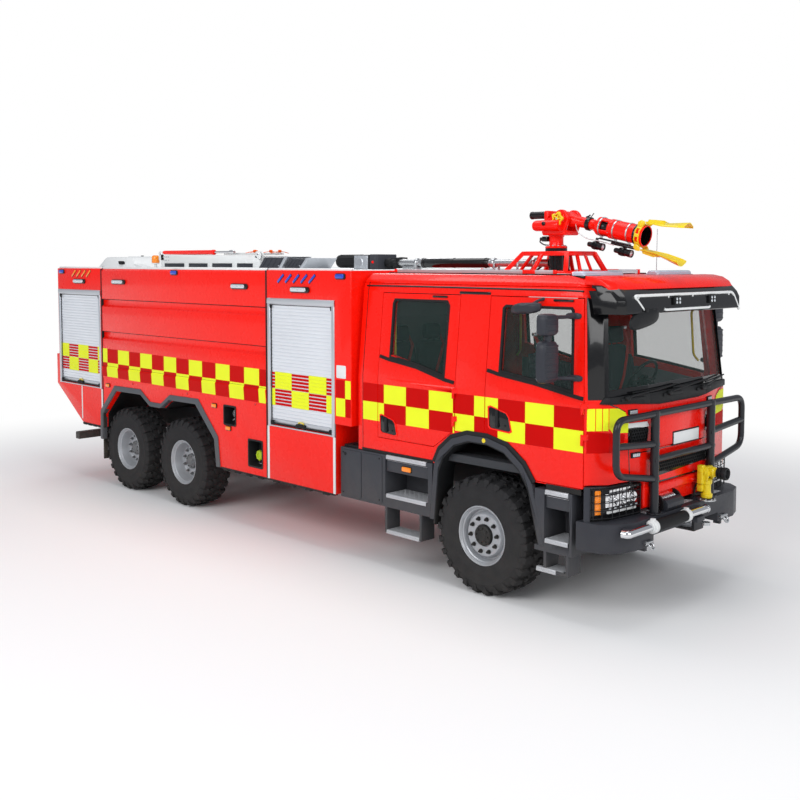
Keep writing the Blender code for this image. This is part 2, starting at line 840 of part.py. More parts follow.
def front_axle():
    """Driven beam axle with its two yokes and leaf springs."""
    end = KINGPIN_Y - YOKE_REACH - YOKE_PLATE
    profile = both_ways(housing_half() + [(end, AXLE_TUBE), (end, 0)])
    shapes = [turned(profile, (0, 0, TYRE_RADIUS), "Y", AXLE_STEPS)]
    low, high = TYRE_RADIUS - YOKE_HALF_HEIGHT, TYRE_RADIUS + YOKE_HALF_HEIGHT
    seat = TYRE_RADIUS + AXLE_TUBE - LAP
    for side in (-1, 1):
        reach = side * (KINGPIN_Y + YOKE_REACH)
        yoke = block((-YOKE_HALF_LENGTH, side * (end - LAP), low), (YOKE_HALF_LENGTH, reach, high))
        mouth = block(
            (-YOKE_HALF_LENGTH - OVERRUN, side * (end + YOKE_PLATE), low + YOKE_PLATE),
            (YOKE_HALF_LENGTH + OVERRUN, reach + side * OVERRUN, high - YOKE_PLATE),
        )
        shapes.append(combined([yoke], cuts=[mouth]))
        points = outline(
            SPRING_SHARES, (-SPRING_HALF_LENGTH, seat), (2 * SPRING_HALF_LENGTH, RAIL_BOTTOM - GAP - seat)
        )
        inner, outer = side * (SPRING_Y - SPRING_WIDTH / 2), side * (SPRING_Y + SPRING_WIDTH / 2)
        shapes.append(prism(points, "Y", inner, outer))
        shapes.append(block(
            (-SEAT_HALF_LENGTH, inner - side * LAP, TYRE_RADIUS),
            (SEAT_HALF_LENGTH, outer + side * LAP, seat + SEAT_LIFT)))
    return combined(shapes)


def knuckle(side):
    """Kingpin barrel, flange and spindle of one steered wheel."""
    plate = YOKE_HALF_HEIGHT - YOKE_PLATE - GAP
    y = side * KINGPIN_Y
    flange = side * (TYRE_Y - HUB_BACK - GAP)
    end = side * spindle_end(FRONT_DISC)
    z = TYRE_RADIUS
    barrel = rod((0, y, z - plate), (0, y, z + plate), KINGPIN_RADIUS, AXLE_STEPS)
    spindle = rod((0, y, z), (0, end, z), SPINDLE_RADIUS, RIM_STEPS)
    disc = rod((0, flange - side * KNUCKLE_PLATE_THICKNESS, z), (0, flange, z), KNUCKLE_PLATE, RIM_STEPS)
    return combined([barrel, spindle, disc])


def rear_bogie():
    """The two rear axles, joined by their springs, the trunnion tube and the shaft between them."""
    end = spindle_end(REAR_DISC)
    drum = DRUM_Y + DRUM_WIDTH
    profile = both_ways(housing_half() + [
        (DRUM_Y, AXLE_TUBE), (DRUM_Y, DRUM_RADIUS), (drum, DRUM_RADIUS),
        (drum, SPINDLE_RADIUS), (end, SPINDLE_RADIUS), (end, 0)])
    shapes = [turned(profile, (x, 0, TYRE_RADIUS), "Y", AXLE_STEPS) for x in REAR_AXLES]
    front, back = REAR_AXLES
    shapes.append(rod((front - DIFF_RADIUS * DISC_EDGE_SHARE, 0, TYRE_RADIUS),
                      (back + DIFF_RADIUS * DISC_EDGE_SHARE, 0, TYRE_RADIUS), SHAFT_RADIUS, TUBE_SIDES))
    shapes.append(
        rod(
            (BOGIE_X, -TRUNNION_HALF, TRUNNION_Z), (BOGIE_X, TRUNNION_HALF, TRUNNION_Z), TRUNNION_RADIUS,
            AXLE_STEPS
        )
    )
    seat = TYRE_RADIUS + AXLE_TUBE - LAP
    start = back - BOGIE_SPRING_END
    size = (front - back + 2 * BOGIE_SPRING_END, TRUNNION_Z + TRUNNION_RADIUS - seat)
    for side in (-1, 1):
        inner, outer = side * (BOGIE_SPRING_Y - SPRING_WIDTH / 2), side * (BOGIE_SPRING_Y + SPRING_WIDTH / 2)
        shapes.append(prism(outline(BOGIE_SPRING_SHARES, (start, seat), size), "Y", inner, outer))
        for x in REAR_AXLES:
            shapes.append(block((x - SEAT_HALF_LENGTH, inner - side * LAP, TYRE_RADIUS),
                                (x + SEAT_HALF_LENGTH, outer + side * LAP, seat + SEAT_LIFT)))
        shapes.append(block((BOGIE_X - SEAT_HALF_LENGTH, side * RAIL_INNER, TRUNNION_Z),
                            (BOGIE_X + SEAT_HALF_LENGTH, side * RAIL_OUTER, RAIL_BOTTOM - GAP)))
    return combined(shapes)


def chassis_frame():
    """Two channel rails that open inwards, with crossmembers."""
    front = BUMPER_BACK - GAP
    web, top, low = RAIL_OUTER - RAIL_WALL, RAIL_TOP - RAIL_WALL, RAIL_BOTTOM + RAIL_WALL
    channel = (
        (RAIL_OUTER, RAIL_BOTTOM), (RAIL_OUTER, RAIL_TOP), (RAIL_INNER, RAIL_TOP), (RAIL_INNER, top),
        (web, top), (web, low), (RAIL_INNER, low), (RAIL_INNER, RAIL_BOTTOM)
    )
    shapes = [prism([(side * y, z) for y, z in channel], "X", RAIL_REAR, front) for side in (-1, 1)]
    reach = RAIL_OUTER - RAIL_WALL / 2
    for share in CROSS_SHARES:
        x = front + (RAIL_REAR - front) * share
        shapes.append(block((x - CROSS_LENGTH / 2, -reach, RAIL_BOTTOM + CROSS_MARGIN),
                            (x + CROSS_LENGTH / 2, reach, RAIL_TOP - CROSS_MARGIN)))
    return combined(shapes)


def engine():
    """Engine as one plain block between the rails, with its gearbox behind it."""
    half = RAIL_INNER - GAP
    return combined([
        block((ENGINE_REAR, -half, ENGINE_BOTTOM), (ENGINE_REAR + ENGINE_LENGTH, half, ENGINE_TOP)),
        block(
            (ENGINE_REAR - GEARBOX_LENGTH, -GEARBOX_HALF, GEARBOX_BOTTOM),
            (ENGINE_REAR + LAP, GEARBOX_HALF, GEARBOX_TOP)
        ),
    ])


def driveline():
    """Transfer case under a crossmember, with the shafts to the gearbox and to both axles."""
    back = CASE_FRONT - CASE_LENGTH
    z = TYRE_RADIUS
    case = block((back, -CASE_HALF, CASE_BOTTOM), (CASE_FRONT, CASE_HALF, RAIL_BOTTOM + CROSS_MARGIN - GAP))
    runs = (
        ((CASE_FRONT - LAP, 0, INPUT_SHAFT_Z), (ENGINE_REAR - GEARBOX_LENGTH - GAP, 0, INPUT_SHAFT_Z)),
        ((CASE_FRONT - LAP, 0, z), (-DIFF_RADIUS - GAP, 0, z)),
        ((back + LAP, 0, z), (REAR_AXLES[0] + DIFF_RADIUS + GAP, 0, z)),
    )
    return combined([case] + [rod(start, end, SHAFT_RADIUS, TUBE_SIDES) for start, end in runs])


def grown(points, by):
    """The outline moved out by a distance, or in where it is negative."""
    count = len(points)
    area = sum(points[i - 1][0] * points[i][1] - points[i][0] * points[i - 1][1] for i in range(count))
    sign = 1 if area > 0 else -1
    result = []
    for i in range(count):
        before, here, after = (Vector(points[j % count]) for j in (i - 1, i, i + 1))
        first, second = (here - before).normalized(), (after - here).normalized()
        normals = [Vector((way.y, -way.x)) * sign for way in (first, second)]
        middle = (normals[0] + normals[1]).normalized()
        result.append(tuple(here + middle * (by / middle.dot(normals[0]))))
    return result


def cab_loft(inset=0.0):
    """The cab's outer form through its levels, or the form that lies inset inside it."""
    heights = (PANEL_BOTTOM - OVERRUN - inset, CAB_BELT, CAB_HEADER, ROOF_EDGE - inset, CAB_ROOF - inset)
    rings = []
    for z, (inwards, backwards) in zip(heights, CAB_LEAN_SHARES):
        half = CAB_HALF - CAB_LEAN * inwards - inset
        corner = CAB_CORNER - CAB_LEAN * backwards - inset
        nose = CAB_NOSE - CAB_LEAN * backwards - inset
        shoulder = corner + NOSE_SHOULDER_SHARE * (nose - corner)
        right = (
            (CAB_REAR + inset, half), (corner, half),
            (shoulder, half * NOSE_HALF_SHARE), (nose, half * NOSE_INNER_SHARE))
        rings.append([(x, -y, z) for x, y in right] + [(x, y, z) for x, y in reversed(right)])
    return skinned(rings)


def cab_shell():
    """The cab's walls and roof at their real thickness, open below."""
    return combined([cab_loft()], cuts=[cab_loft(CAB_WALL)])


def arch_outline():
    """Outer edge of the front arch trim."""
    return outline(ARCH_SHARES, (ARCH_BACK, ARCH_BOTTOM), (ARCH_FRONT - ARCH_BACK, ARCH_TOP - ARCH_BOTTOM))


def door_outline(front):
    """Outline of the front or the rear door in side view."""
    if front:
        low, high = (FRONT_DOOR_BACK, FRONT_DOOR_BOTTOM), (FRONT_DOOR_FRONT, DOOR_TOP)
        return outline(FRONT_DOOR_SHARES, *between(low, high))
    low, high = (REAR_DOOR_BACK, REAR_DOOR_BOTTOM), (REAR_DOOR_FRONT, DOOR_TOP)
    return outline(REAR_DOOR_SHARES, *between(low, high))


def window_outline(front):
    """Outline of the window in the front or the rear door."""
    if front:
        low, high = (FRONT_DOOR_BACK, FRONT_DOOR_BOTTOM), (FRONT_DOOR_FRONT, DOOR_TOP)
        return outline(FRONT_WINDOW_SHARES, *between(low, high))
    low, high = (REAR_DOOR_BACK, REAR_DOOR_BOTTOM), (REAR_DOOR_FRONT, DOOR_TOP)
    return outline(REAR_WINDOW_SHARES, *between(low, high))


def side_prism(points, side):
    """Outline in side view drawn through one side wall of the cab."""
    return prism(points, "Y", side * (CAB_HALF - SIDE_REACH), side * (CAB_HALF + OVERRUN))


def screen_outline(by=0.0):
    """Outline of the windscreen opening in front view."""
    top = SCREEN_HALF - WINDSCREEN_TAPER
    points = (
        (-SCREEN_HALF, SCREEN_BOTTOM), (SCREEN_HALF, SCREEN_BOTTOM), (top, SCREEN_TOP), (-top, SCREEN_TOP)
    )
    return grown(points, by)


def screen_prism(by=0.0):
    """The windscreen opening drawn through the front of the cab."""
    return prism(screen_outline(by), "X", CAB_CORNER - SIDE_REACH, CAB_NOSE + OVERRUN)


def whole_width(x0, x1, z0, z1):
    """Box across the whole truck."""
    return block((x0, -BODY_HALF - OVERRUN, z0), (x1, BODY_HALF + OVERRUN, z1))


def door_sweep(low, high):
    """Room through which the front doors' inner edges swing about their hinges."""
    half, corner = CAB_HALF - CAB_WALL, CAB_CORNER - CAB_WALL
    slope = half * (1 - NOSE_HALF_SHARE) / (NOSE_SHOULDER_SHARE * (CAB_NOSE - CAB_CORNER))
    inner = half - (FRONT_DOOR_FRONT - corner) * slope
    hinge = CAB_HALF + HINGE_OUT
    radius = hinge - inner + SWEEP_CLEARANCE
    return [
        rod(
            (FRONT_DOOR_FRONT, side * hinge, low), (FRONT_DOOR_FRONT, side * hinge, high), radius, SWEEP_STEPS
        ) for side in (-1, 1)
    ]


def hinges(x, side, way):
    """Knuckles and leaves of one door's hinges: way is -1 for those on the door and 1 for the others."""
    radius, root = HINGE_RADIUS, RUN if way > 0 else 0
    form = (
        (-radius, -radius / 2), (-radius, radius / 2), (-radius / 2, radius), (radius / 2, radius),
        (HINGE_LEAF, radius - HINGE_LEAF), (HINGE_LEAF, -HINGE_DEPTH),
        (root + GAP, -HINGE_DEPTH), (root + GAP, -radius / 2)
    )
    points = [(x + way * along, side * (CAB_HALF + HINGE_OUT + out)) for along, out in form]
    lift = HINGE_HEIGHT + GAP if way > 0 else 0
    return [prism(points, "Z", z + lift, z + lift + HINGE_HEIGHT) for z in HINGE_LEVELS]


def cab_frame():
    """Sides, pillars, rear wall and headers of the cab."""
    cuts = [screen_prism(), whole_width(FRONT_SPLIT, CAB_NOSE + OVERRUN, 0, PANEL_TOP)]
    cuts.append(prism(grown(arch_outline(), GAP), "Y", -BODY_HALF, BODY_HALF))
    for side in (-1, 1):
        cuts += [side_prism(grown(door_outline(front), RUN), side) for front in (False, True)]
    walls = whole_width(CAB_REAR - OVERRUN, CAB_NOSE + OVERRUN, CAB_BOTTOM, CAB_SPLIT)
    frame = combined([cab_shell()], cuts=cuts, common=[walls])
    return combined([frame] + hinges(REAR_DOOR_FRONT, -1, 1) + hinges(REAR_DOOR_FRONT, 1, 1))


def cab_front_panel():
    """Panel below the windscreen, with the corners that run back to the doors."""
    panel = whole_width(FRONT_SPLIT + GAP, CAB_NOSE + OVERRUN, PANEL_BOTTOM, PANEL_TOP - GAP)
    cuts = [
        block(
            (CAB_REAR, side * (LAMP_INNER - PANEL_STEP), 0),
            (CAB_NOSE + OVERRUN, side * BODY_HALF, PANEL_CORNER_BOTTOM)
        )
        for side in (-1, 1)
    ]
    cuts += [side_prism(grown(door_outline(True), RUN), side) for side in (-1, 1)]
    front = combined([cab_shell()], cuts=cuts, common=[panel])
    return combined([front] + hinges(FRONT_DOOR_FRONT, -1, 1) + hinges(FRONT_DOOR_FRONT, 1, 1))


def cab_roof():
    """Roof with the sun visor over the windscreen."""
    top = whole_width(CAB_REAR - OVERRUN, CAB_NOSE + OVERRUN, CAB_SPLIT + GAP, CAB_ROOF + OVERRUN)
    shell = combined([cab_loft()], cuts=[cab_loft(CAB_WALL)], common=[top])
    root = CAB_NOSE - CAB_LEAN * CAB_LEAN_SHARES[3][1] - CAB_WALL / 2
    low = CAB_SPLIT + 3 * LAP
    reach = CAB_NOSE + VISOR_REACH / 2
    points = (
        (root, low), (root, low + VISOR_THICKNESS), (reach, low - VISOR_DROP + VISOR_FACE),
        (reach, low - VISOR_DROP), (CAB_NOSE - CAB_LEAN + VISOR_THICKNESS, low)
    )
    return combined([shell, prism(points, "Y", -VISOR_HALF, VISOR_HALF)] + front_mirror() + light_bars())


def pane(opening):
    """Sheet of glass that follows the cab's skin inside an opening."""
    return combined([cab_loft(GLASS_INSET)], cuts=[cab_loft(GLASS_INSET + GLASS_THICKNESS)], common=[opening])


def cab_door(front, side):
    """Door cut out of the cab's side, less its window."""
    door = side_prism(door_outline(front), side)
    arch = side_prism(grown(arch_outline(), RUN), side)
    return combined([cab_shell()], cuts=[side_prism(window_outline(front), side), arch], common=[door])


def cab_floor():
    """Floor with the tunnel over the engine and its mounts on the rails."""
    low = FLOOR_TOP - FLOOR_THICKNESS
    half = CAB_HALF - CAB_WALL - FLOOR_MARGIN
    back, front = ENGINE_REAR - TUNNEL_CLEARANCE, ENGINE_REAR + ENGINE_LENGTH + TUNNEL_CLEARANCE
    slab = block((CAB_REAR + CAB_WALL + GAP, -half, low), (FLOOR_FRONT, half, FLOOR_TOP))
    tunnel = block((back - TUNNEL_WALL, -TUNNEL_HALF, low), (front + TUNNEL_WALL, TUNNEL_HALF, TUNNEL_TOP))
    shapes = [slab, tunnel]
    for x in (CAB_REAR + CAB_WALL + MOUNT_END, FLOOR_FRONT - MOUNT_END):
        for side in (-1, 1):
            y = side * (RAIL_OUTER - MOUNT_HALF)
            shapes.append(
                block(
                    (x - MOUNT_HALF, y - MOUNT_HALF, RAIL_TOP + GAP),
                    (x + MOUNT_HALF, y + MOUNT_HALF, low + LAP)
                )
            )
    inner = TUNNEL_HALF - TUNNEL_WALL
    room = block((back, -inner, low - OVERRUN), (front, inner, TUNNEL_TOP - TUNNEL_WALL))
    return combined(shapes, cuts=[room] + door_sweep(low - OVERRUN, TUNNEL_TOP))


def dashboard():
    """Dashboard across the cab, with the steering column and wheel on the left."""
    front = CAB_CORNER - CAB_WALL - FLOOR_MARGIN
    half = CAB_HALF - CAB_WALL - FLOOR_MARGIN
    points = outline(DASH_SHARES, *between((front - DASH_DEPTH, DASH_BOTTOM), (front, DASH_TOP)))
    shapes = [prism(points, "Y", -half, half)]
    stem = block(
        (front - DASH_DEPTH / 2, -TUNNEL_HALF, FLOOR_TOP + GAP), (front, TUNNEL_HALF, DASH_BOTTOM + LAP)
    )
    shapes.append(stem)
    middle = Vector(
        (front - DASH_DEPTH - STEERING_RADIUS / 2, DRIVER_Y, DASH_TOP + STEERING_RADIUS * STEERING_LIFT_SHARE)
    )
    lean = math.radians(WHEEL_TILT)
    way = Vector((math.cos(lean), 0, -math.sin(lean)))
    shapes.append(rod(middle - way * COLUMN_TUBE, middle + way * DASH_DEPTH, COLUMN_TUBE, TUBE_SIDES))
    upright, across = Vector((math.sin(lean), 0, math.cos(lean))), Vector((0, 1, 0))
    ring = [
        middle + (upright * math.cos(math.tau * share) + across * math.sin(math.tau * share)) * STEERING_RADIUS
        for share in (i / STEERING_STEPS for i in range(STEERING_STEPS))
    ]
    shapes.append(tube(ring, STEERING_TUBE, SLIM_SIDES, closed=True))
    shapes.append(
        rod(middle - across * STEERING_RADIUS, middle + across * STEERING_RADIUS, STEERING_TUBE, SLIM_SIDES)
    )
    return combined(shapes, cuts=door_sweep(FLOOR_TOP, DASH_TOP + OVERRUN))


def seat_form(x, y, half, depth, top):
    """Seat pad and back as one form in side view."""
    points = outline(SEAT_SHARES, (x, top - SEAT_PAD), (depth, SEAT_BACK_TOP - top + SEAT_PAD))
    return prism(points, "Y", y - half, y + half)


def front_seats():
    """Driver's and officer's seats on bases, joined by their floor rail over the tunnel."""
    shapes = []
    for side in (-1, 1):
        y = side * DRIVER_Y
        shapes.append(seat_form(SEAT_X, y, SEAT_HALF, SEAT_DEPTH, SEAT_TOP))
        shapes.append(block((SEAT_X + SEAT_PAD / 2, side * (TUNNEL_HALF + GAP), FLOOR_TOP + GAP),
                            (
                                SEAT_X + SEAT_DEPTH - SEAT_PAD / 2, y + side * SEAT_BASE_HALF,
                                SEAT_TOP - SEAT_PAD + LAP
                            )))
    shapes.append(block((SEAT_X + SEAT_PAD / 2, -TUNNEL_HALF - STEP_WALL, TUNNEL_TOP + GAP),
                        (
                            SEAT_X + SEAT_DEPTH - SEAT_PAD / 2, TUNNEL_HALF + STEP_WALL,
                            TUNNEL_TOP + STEP_WALL
                        )))
    return combined(shapes)


def rear_bench():
    """Crew bench along the rear wall."""
    base = block(
        (BENCH_BACK, -BENCH_HALF, FLOOR_TOP + GAP),
        (BENCH_BACK + BENCH_DEPTH - SEAT_PAD, BENCH_HALF, BENCH_TOP - SEAT_PAD + LAP)
    )
    return combined([seat_form(BENCH_BACK, 0, BENCH_HALF, BENCH_DEPTH, BENCH_TOP), base])


def cab_steps():
    """Right side steps: arch trim, step housings, side box and the hanging steps."""
    outer = arch_outline()
    inner = outline(ARCH_SHARES, (ARCH_BACK + ARCH_TRIM, ARCH_BOTTOM),
                    (ARCH_FRONT - ARCH_BACK - 2 * ARCH_TRIM, ARCH_TOP - ARCH_BOTTOM - ARCH_TRIM))
    trim = prism(outer + inner[::-1], "Y", -CAB_HALF + ARCH_TRIM_DEPTH, -CAB_HALF - ARCH_STAND_OUT)
    inside = -STEP_OUTER + STEP_DEPTH
    rear_end, front_start = ARCH_BACK - 2 * CLEAR, ARCH_FRONT - LAP
    shapes = [
        trim,
        block((SIDE_BOX_BACK, -STEP_OUTER, STEP_BOTTOM), (rear_end, inside, STEP_TOP)),
        block(
            (rear_end - LAP, -STEP_OUTER, STEP_BOTTOM),
            (ARCH_BACK + ARCH_TRIM / 2, -CAB_HALF + ARCH_TRIM_DEPTH, STEP_TOP)
        ),
        block(
            (ARCH_FRONT - STEP_FRONT_LAP, -STEP_OUTER, FRONT_STEP_BOTTOM),
            (FRONT_STEP_END, inside, FRONT_STEP_TOP)
        ),
        block((SIDE_BOX_BACK + STEP_BRACKET, inside - LAP, RAIL_BOTTOM + STEP_WALL),
              (SIDE_BOX_BACK + 2 * STEP_BRACKET, -RAIL_OUTER - GAP, RAIL_TOP - STEP_BRACKET)),
    ]
    hangers = (
        (STEP_BACK, HANGER_WIDTH, STEP_BOTTOM, HANGER_BOTTOM),
        (front_start, FRONT_HANGER_WIDTH, FRONT_STEP_BOTTOM, FRONT_HANGER_BOTTOM),
    )
    for start, width, top, low in hangers:
        frame = block((start, -STEP_OUTER, low), (start + width, -STEP_OUTER + HANGER_DEPTH, top + LAP))
        mouth = block((start + HANGER_PLATE, -STEP_OUTER - OVERRUN, low + HANGER_PLATE),
                      (start + width - HANGER_PLATE, -STEP_OUTER + HANGER_DEPTH + OVERRUN, top + OVERRUN))
        shapes.append(combined([frame], cuts=[mouth]))
    wheel_room = prism(inner, "Y", -STEP_OUTER - OVERRUN, inside + OVERRUN)
    recess = -STEP_OUTER + STEP_DEPTH - HANGER_PLATE
    cuts = [
        wheel_room,
        block((STEP_BACK, -STEP_OUTER - OVERRUN, STEP_TREAD),
              (ARCH_BACK - ARCH_TRIM / 2, recess, STEP_TOP - RECESS_ROOF)),
        block((ARCH_FRONT, -STEP_OUTER - OVERRUN, FRONT_STEP_TREAD),
              (FRONT_STEP_END - STEP_WALL, recess, FRONT_STEP_TOP - RECESS_ROOF)),
    ]
    return combined(shapes, cuts=cuts)


def bumper_outline():
    """Outline of the front bumper from above."""
    depth = BUMPER_FRONT - BUMPER_BACK
    left = [(BUMPER_BACK + along * depth, across * BUMPER_HALF) for along, across in BUMPER_SHARES]
    return left + [(x, -y) for x, y in reversed(left)]


def front_bumper():
    """Deep steel bumper with headlamp housings, foam pipe, winch, tow coupling and shackle eyes."""
    shapes = [prism(bumper_outline(), "Z", BUMPER_BOTTOM, BUMPER_TOP)]
    for side in (-1, 1):
        points = outline(
            LAMP_SHARES, (LAMP_BACK, side * LAMP_INNER),
            (LAMP_FRONT - LAMP_BACK, side * (CAB_HALF - LAMP_INNER))
        )
        shapes.append(prism(points, "Z", BUMPER_TOP - LAP, LAMP_TOP))
        y = side * SHACKLE_Y
        shapes.append(block((BUMPER_FRONT - SHACKLE_DROP, y - SHACKLE_HALF, BUMPER_BOTTOM - SHACKLE_DROP / 2),
                            (
                                BUMPER_FRONT - SHACKLE_HALF, y + SHACKLE_HALF,
                                BUMPER_BOTTOM + BUMPER_LIFT + LAP
                            )))
    run = (
        (BUMPER_FRONT - PIPE_RADIUS, PIPE_RIGHT + PIPE_RADIUS, PIPE_Z), (PIPE_X, PIPE_RIGHT + 2 * SLEEVE_RADIUS, PIPE_Z),
        (PIPE_X, PIPE_LEFT, PIPE_Z)
    )
    shapes.append(tube(run, PIPE_RADIUS, TUBE_SIDES))
    right, left = COLLARS
    shapes.append(rod((PIPE_X, right, PIPE_Z), (PIPE_X, left, PIPE_Z), SLEEVE_RADIUS, ROUND_SIDES))
    for y in COLLARS:
        shapes.append(
            rod(
                (PIPE_X, y - COLLAR_WIDTH / 2, PIPE_Z), (PIPE_X, y + COLLAR_WIDTH / 2, PIPE_Z), COLLAR_RADIUS,
                ROUND_SIDES
            )
        )
    hook = BUMPER_BOTTOM + BUMPER_LIFT
    shapes.append(block((BUMPER_FRONT - SHACKLE_HALF, TOW_Y - TOW_HALF, hook + LAP),
                        (BUMPER_FRONT + TOW_REACH, TOW_Y + TOW_HALF, hook + TOW_RISE)))
    shapes.append(rod((WINCH_X, WINCH_Y - WINCH_HALF, BUMPER_TOP + WINCH_RADIUS - LAP),
                      (WINCH_X, WINCH_Y + WINCH_HALF, BUMPER_TOP + WINCH_RADIUS - LAP), WINCH_RADIUS, ROUND_SIDES))
    shapes.append(block((SPRAY_X - 2 * SPRAY_BASE, SPRAY_Y - SPRAY_BASE, BUMPER_TOP - LAP),
                        (SPRAY_X + SPRAY_BASE, SPRAY_Y + SPRAY_BASE, BUMPER_TOP + SPRAY_PLATE)))
    lift = block(
        (BUMPER_BACK + BUMPER_LIFT, -LAMP_INNER, 0), (PIPE_X, LAMP_INNER, BUMPER_BOTTOM + BUMPER_LIFT)
    )
    shapes[0] = combined([shapes[0]], cuts=[lift])
    return combined(shapes)


def bull_bar():
    """Tube guard: outer loop, two posts and the bars between them."""
    height = BAR_TOP - BAR_LOW
    corner = BAR_LOW + height * CORNER_SHARE
    half = (
        (POST_Y, BAR_LOW), (BAR_HALF, corner), (BAR_HALF, BAR_TOP)
    )
    loop = [(BAR_X, y, z) for y, z in half] + [(BAR_X, -y, z) for y, z in reversed(half)]
    shapes = [tube(rounded(loop, BAR_BEND, BEND_STEPS), BAR_RADIUS, TUBE_SIDES)]
    wing = BAR_LOW + height * WING_SHARE
    middle = BAR_LOW + height * MIDDLE_SHARE
    shapes.append(tube(((BAR_X, -POST_Y, middle), (BAR_X, POST_Y, middle)), BAR_RADIUS, TUBE_SIDES))
    for side in (-1, 1):
        y = side * POST_Y
        shapes.append(rod((BAR_X, y, BUMPER_TOP + GAP), (BAR_X, y, BAR_TOP), POST_RADIUS, TUBE_SIDES))
        shapes.append(
            tube(((BAR_X, y, wing - WING_DROP), (BAR_X, side * BAR_HALF, wing)), BAR_RADIUS, TUBE_SIDES)
        )
    return combined(shapes)


def spray_turret():
    """Bumper monitor's turning base, with two cheeks for its nozzle and the drive behind them."""
    foot = BUMPER_TOP + SPRAY_PLATE + GAP
    bridge = SPRAY_AXIS_Z - SPRAY_HUB - 2 * CLEAR
    low, high = SPRAY_AXIS_Z - SPRAY_HUB - CLEAR, SPRAY_AXIS_Z + SPRAY_HUB + CLEAR
    shapes = [
        rod((SPRAY_X, SPRAY_Y, foot), (SPRAY_X, SPRAY_Y, foot + SPRAY_PLATE), SPRAY_BASE, ROUND_SIDES),
        rod((SPRAY_X, SPRAY_Y, foot), (SPRAY_X, SPRAY_Y, bridge - LAP), SPRAY_COLUMN, ROUND_SIDES),
    ]
    inner = SPRAY_HUB_HALF + GAP
    back, front = SPRAY_X - SPRAY_CHEEK_BACK, SPRAY_X + SPRAY_CHEEK_FRONT
    for side in (-1, 1):
        points = outline(
            SPRAY_CHEEK_SHARES, (back, low - SPRAY_PLATE), (front - back, high - low + SPRAY_PLATE)
        )
        shapes.append(prism(points, "Y", SPRAY_Y + side * inner, SPRAY_Y + side * (inner + SPRAY_CHEEK)))
    reach = inner + SPRAY_CHEEK / 2
    shapes.append(
        block(
            (back + LAP, SPRAY_Y - reach, bridge - SPRAY_PLATE),
            (front - SPRAY_PLATE, SPRAY_Y + reach, bridge)
        )
    )
    shapes.append(block((SPRAY_X - SPRAY_BOX_BACK, SPRAY_Y - reach, bridge - SPRAY_PLATE),
                        (SPRAY_X - SPRAY_HUB - CLEAR, SPRAY_Y + reach, high)))
    return combined(shapes)


def spray_nozzle():
    """Bumper monitor's hub, neck and nozzle."""
    axis = (0, SPRAY_Y, SPRAY_AXIS_Z)
    hub = rod(
        (SPRAY_X, SPRAY_Y - SPRAY_HUB_HALF, SPRAY_AXIS_Z), (SPRAY_X, SPRAY_Y + SPRAY_HUB_HALF, SPRAY_AXIS_Z),
        SPRAY_HUB, ROUND_SIDES
    )
    neck = SPRAY_HUB_HALF * RECESS_TOP_SHARE
    tip = SPRAY_X + SPRAY_REACH
    start, cone = SPRAY_X + SPRAY_REACH * SPRAY_NECK_SHARE, SPRAY_X + SPRAY_REACH * SPRAY_CONE_SHARE
    mouth = SPRAY_NOZZLE - SPRAY_CHEEK / 2
    barrel = turned([(SPRAY_X, 0), (SPRAY_X, neck), (start, neck), (cone, SPRAY_NOZZLE), (tip, SPRAY_NOZZLE),
                     (tip, mouth),
                     (cone + SPRAY_PLATE, neck / 2), (cone + SPRAY_PLATE, 0)], axis, "X", ROUND_SIDES)
    return combined([hub, barrel])


def tunnel_cut(back, front):
    """Room under a body for the rails, axles and driveline."""
    return block((back - OVERRUN, -TUNNEL_SIDE, 0), (front + OVERRUN, TUNNEL_SIDE, RAIL_TOP + GAP))


def rear_arch(trim=0.0):
    """Outline of the rear wheel arch, or of what lies inside its trim."""
    start = (REAR_ARCH_BACK + trim, BODY_BOTTOM - OVERRUN)
    size = (REAR_ARCH_FRONT - REAR_ARCH_BACK - 2 * trim, REAR_ARCH_TOP - trim - start[1])
    return outline(REAR_ARCH_SHARES, start, size)


def tank_body():
    """Tank body: grooved sides, a wheel arch over both rear axles and the filler pockets."""
    half, groove = BODY_HALF, BODY_HALF - GROOVE_DEPTH
    side = [(half, BODY_BOTTOM)]
    for top in (LOWER_GROOVE, UPPER_GROOVE):
        side += [
            (half, top - GROOVE_HEIGHT), (groove, top - GROOVE_HEIGHT + GROOVE_DEPTH), (groove, top),
            (half, top)
        ]
    side += [(half, BODY_TOP - BODY_EDGE), (half - BODY_EDGE, BODY_TOP)]
    section = side + [(-y, z) for y, z in reversed(side)]
    cuts = [
        tunnel_cut(TANK_REAR, TANK_FRONT),
        prism(rear_arch(REAR_ARCH_TRIM), "Y", -half - OVERRUN, half + OVERRUN)
    ]
    for x0, x1, z0, z1 in (UPPER_POCKET, LOWER_POCKET):
        cuts += [
            block((x0, way * (half - POCKET_DEPTH), z0), (x1, way * (half + OVERRUN), z1)) for way in (-1, 1)
        ]
    return combined([prism(section, "X", TANK_REAR, TANK_FRONT)], cuts=cuts)


def side_recess(x0, x1, z0, z1, side):
    """Recess in the side of a locker for its shutter."""
    return block((x0, side * (BODY_HALF - SHUTTER_DEPTH), z0), (x1, side * (BODY_HALF + OVERRUN), z1))


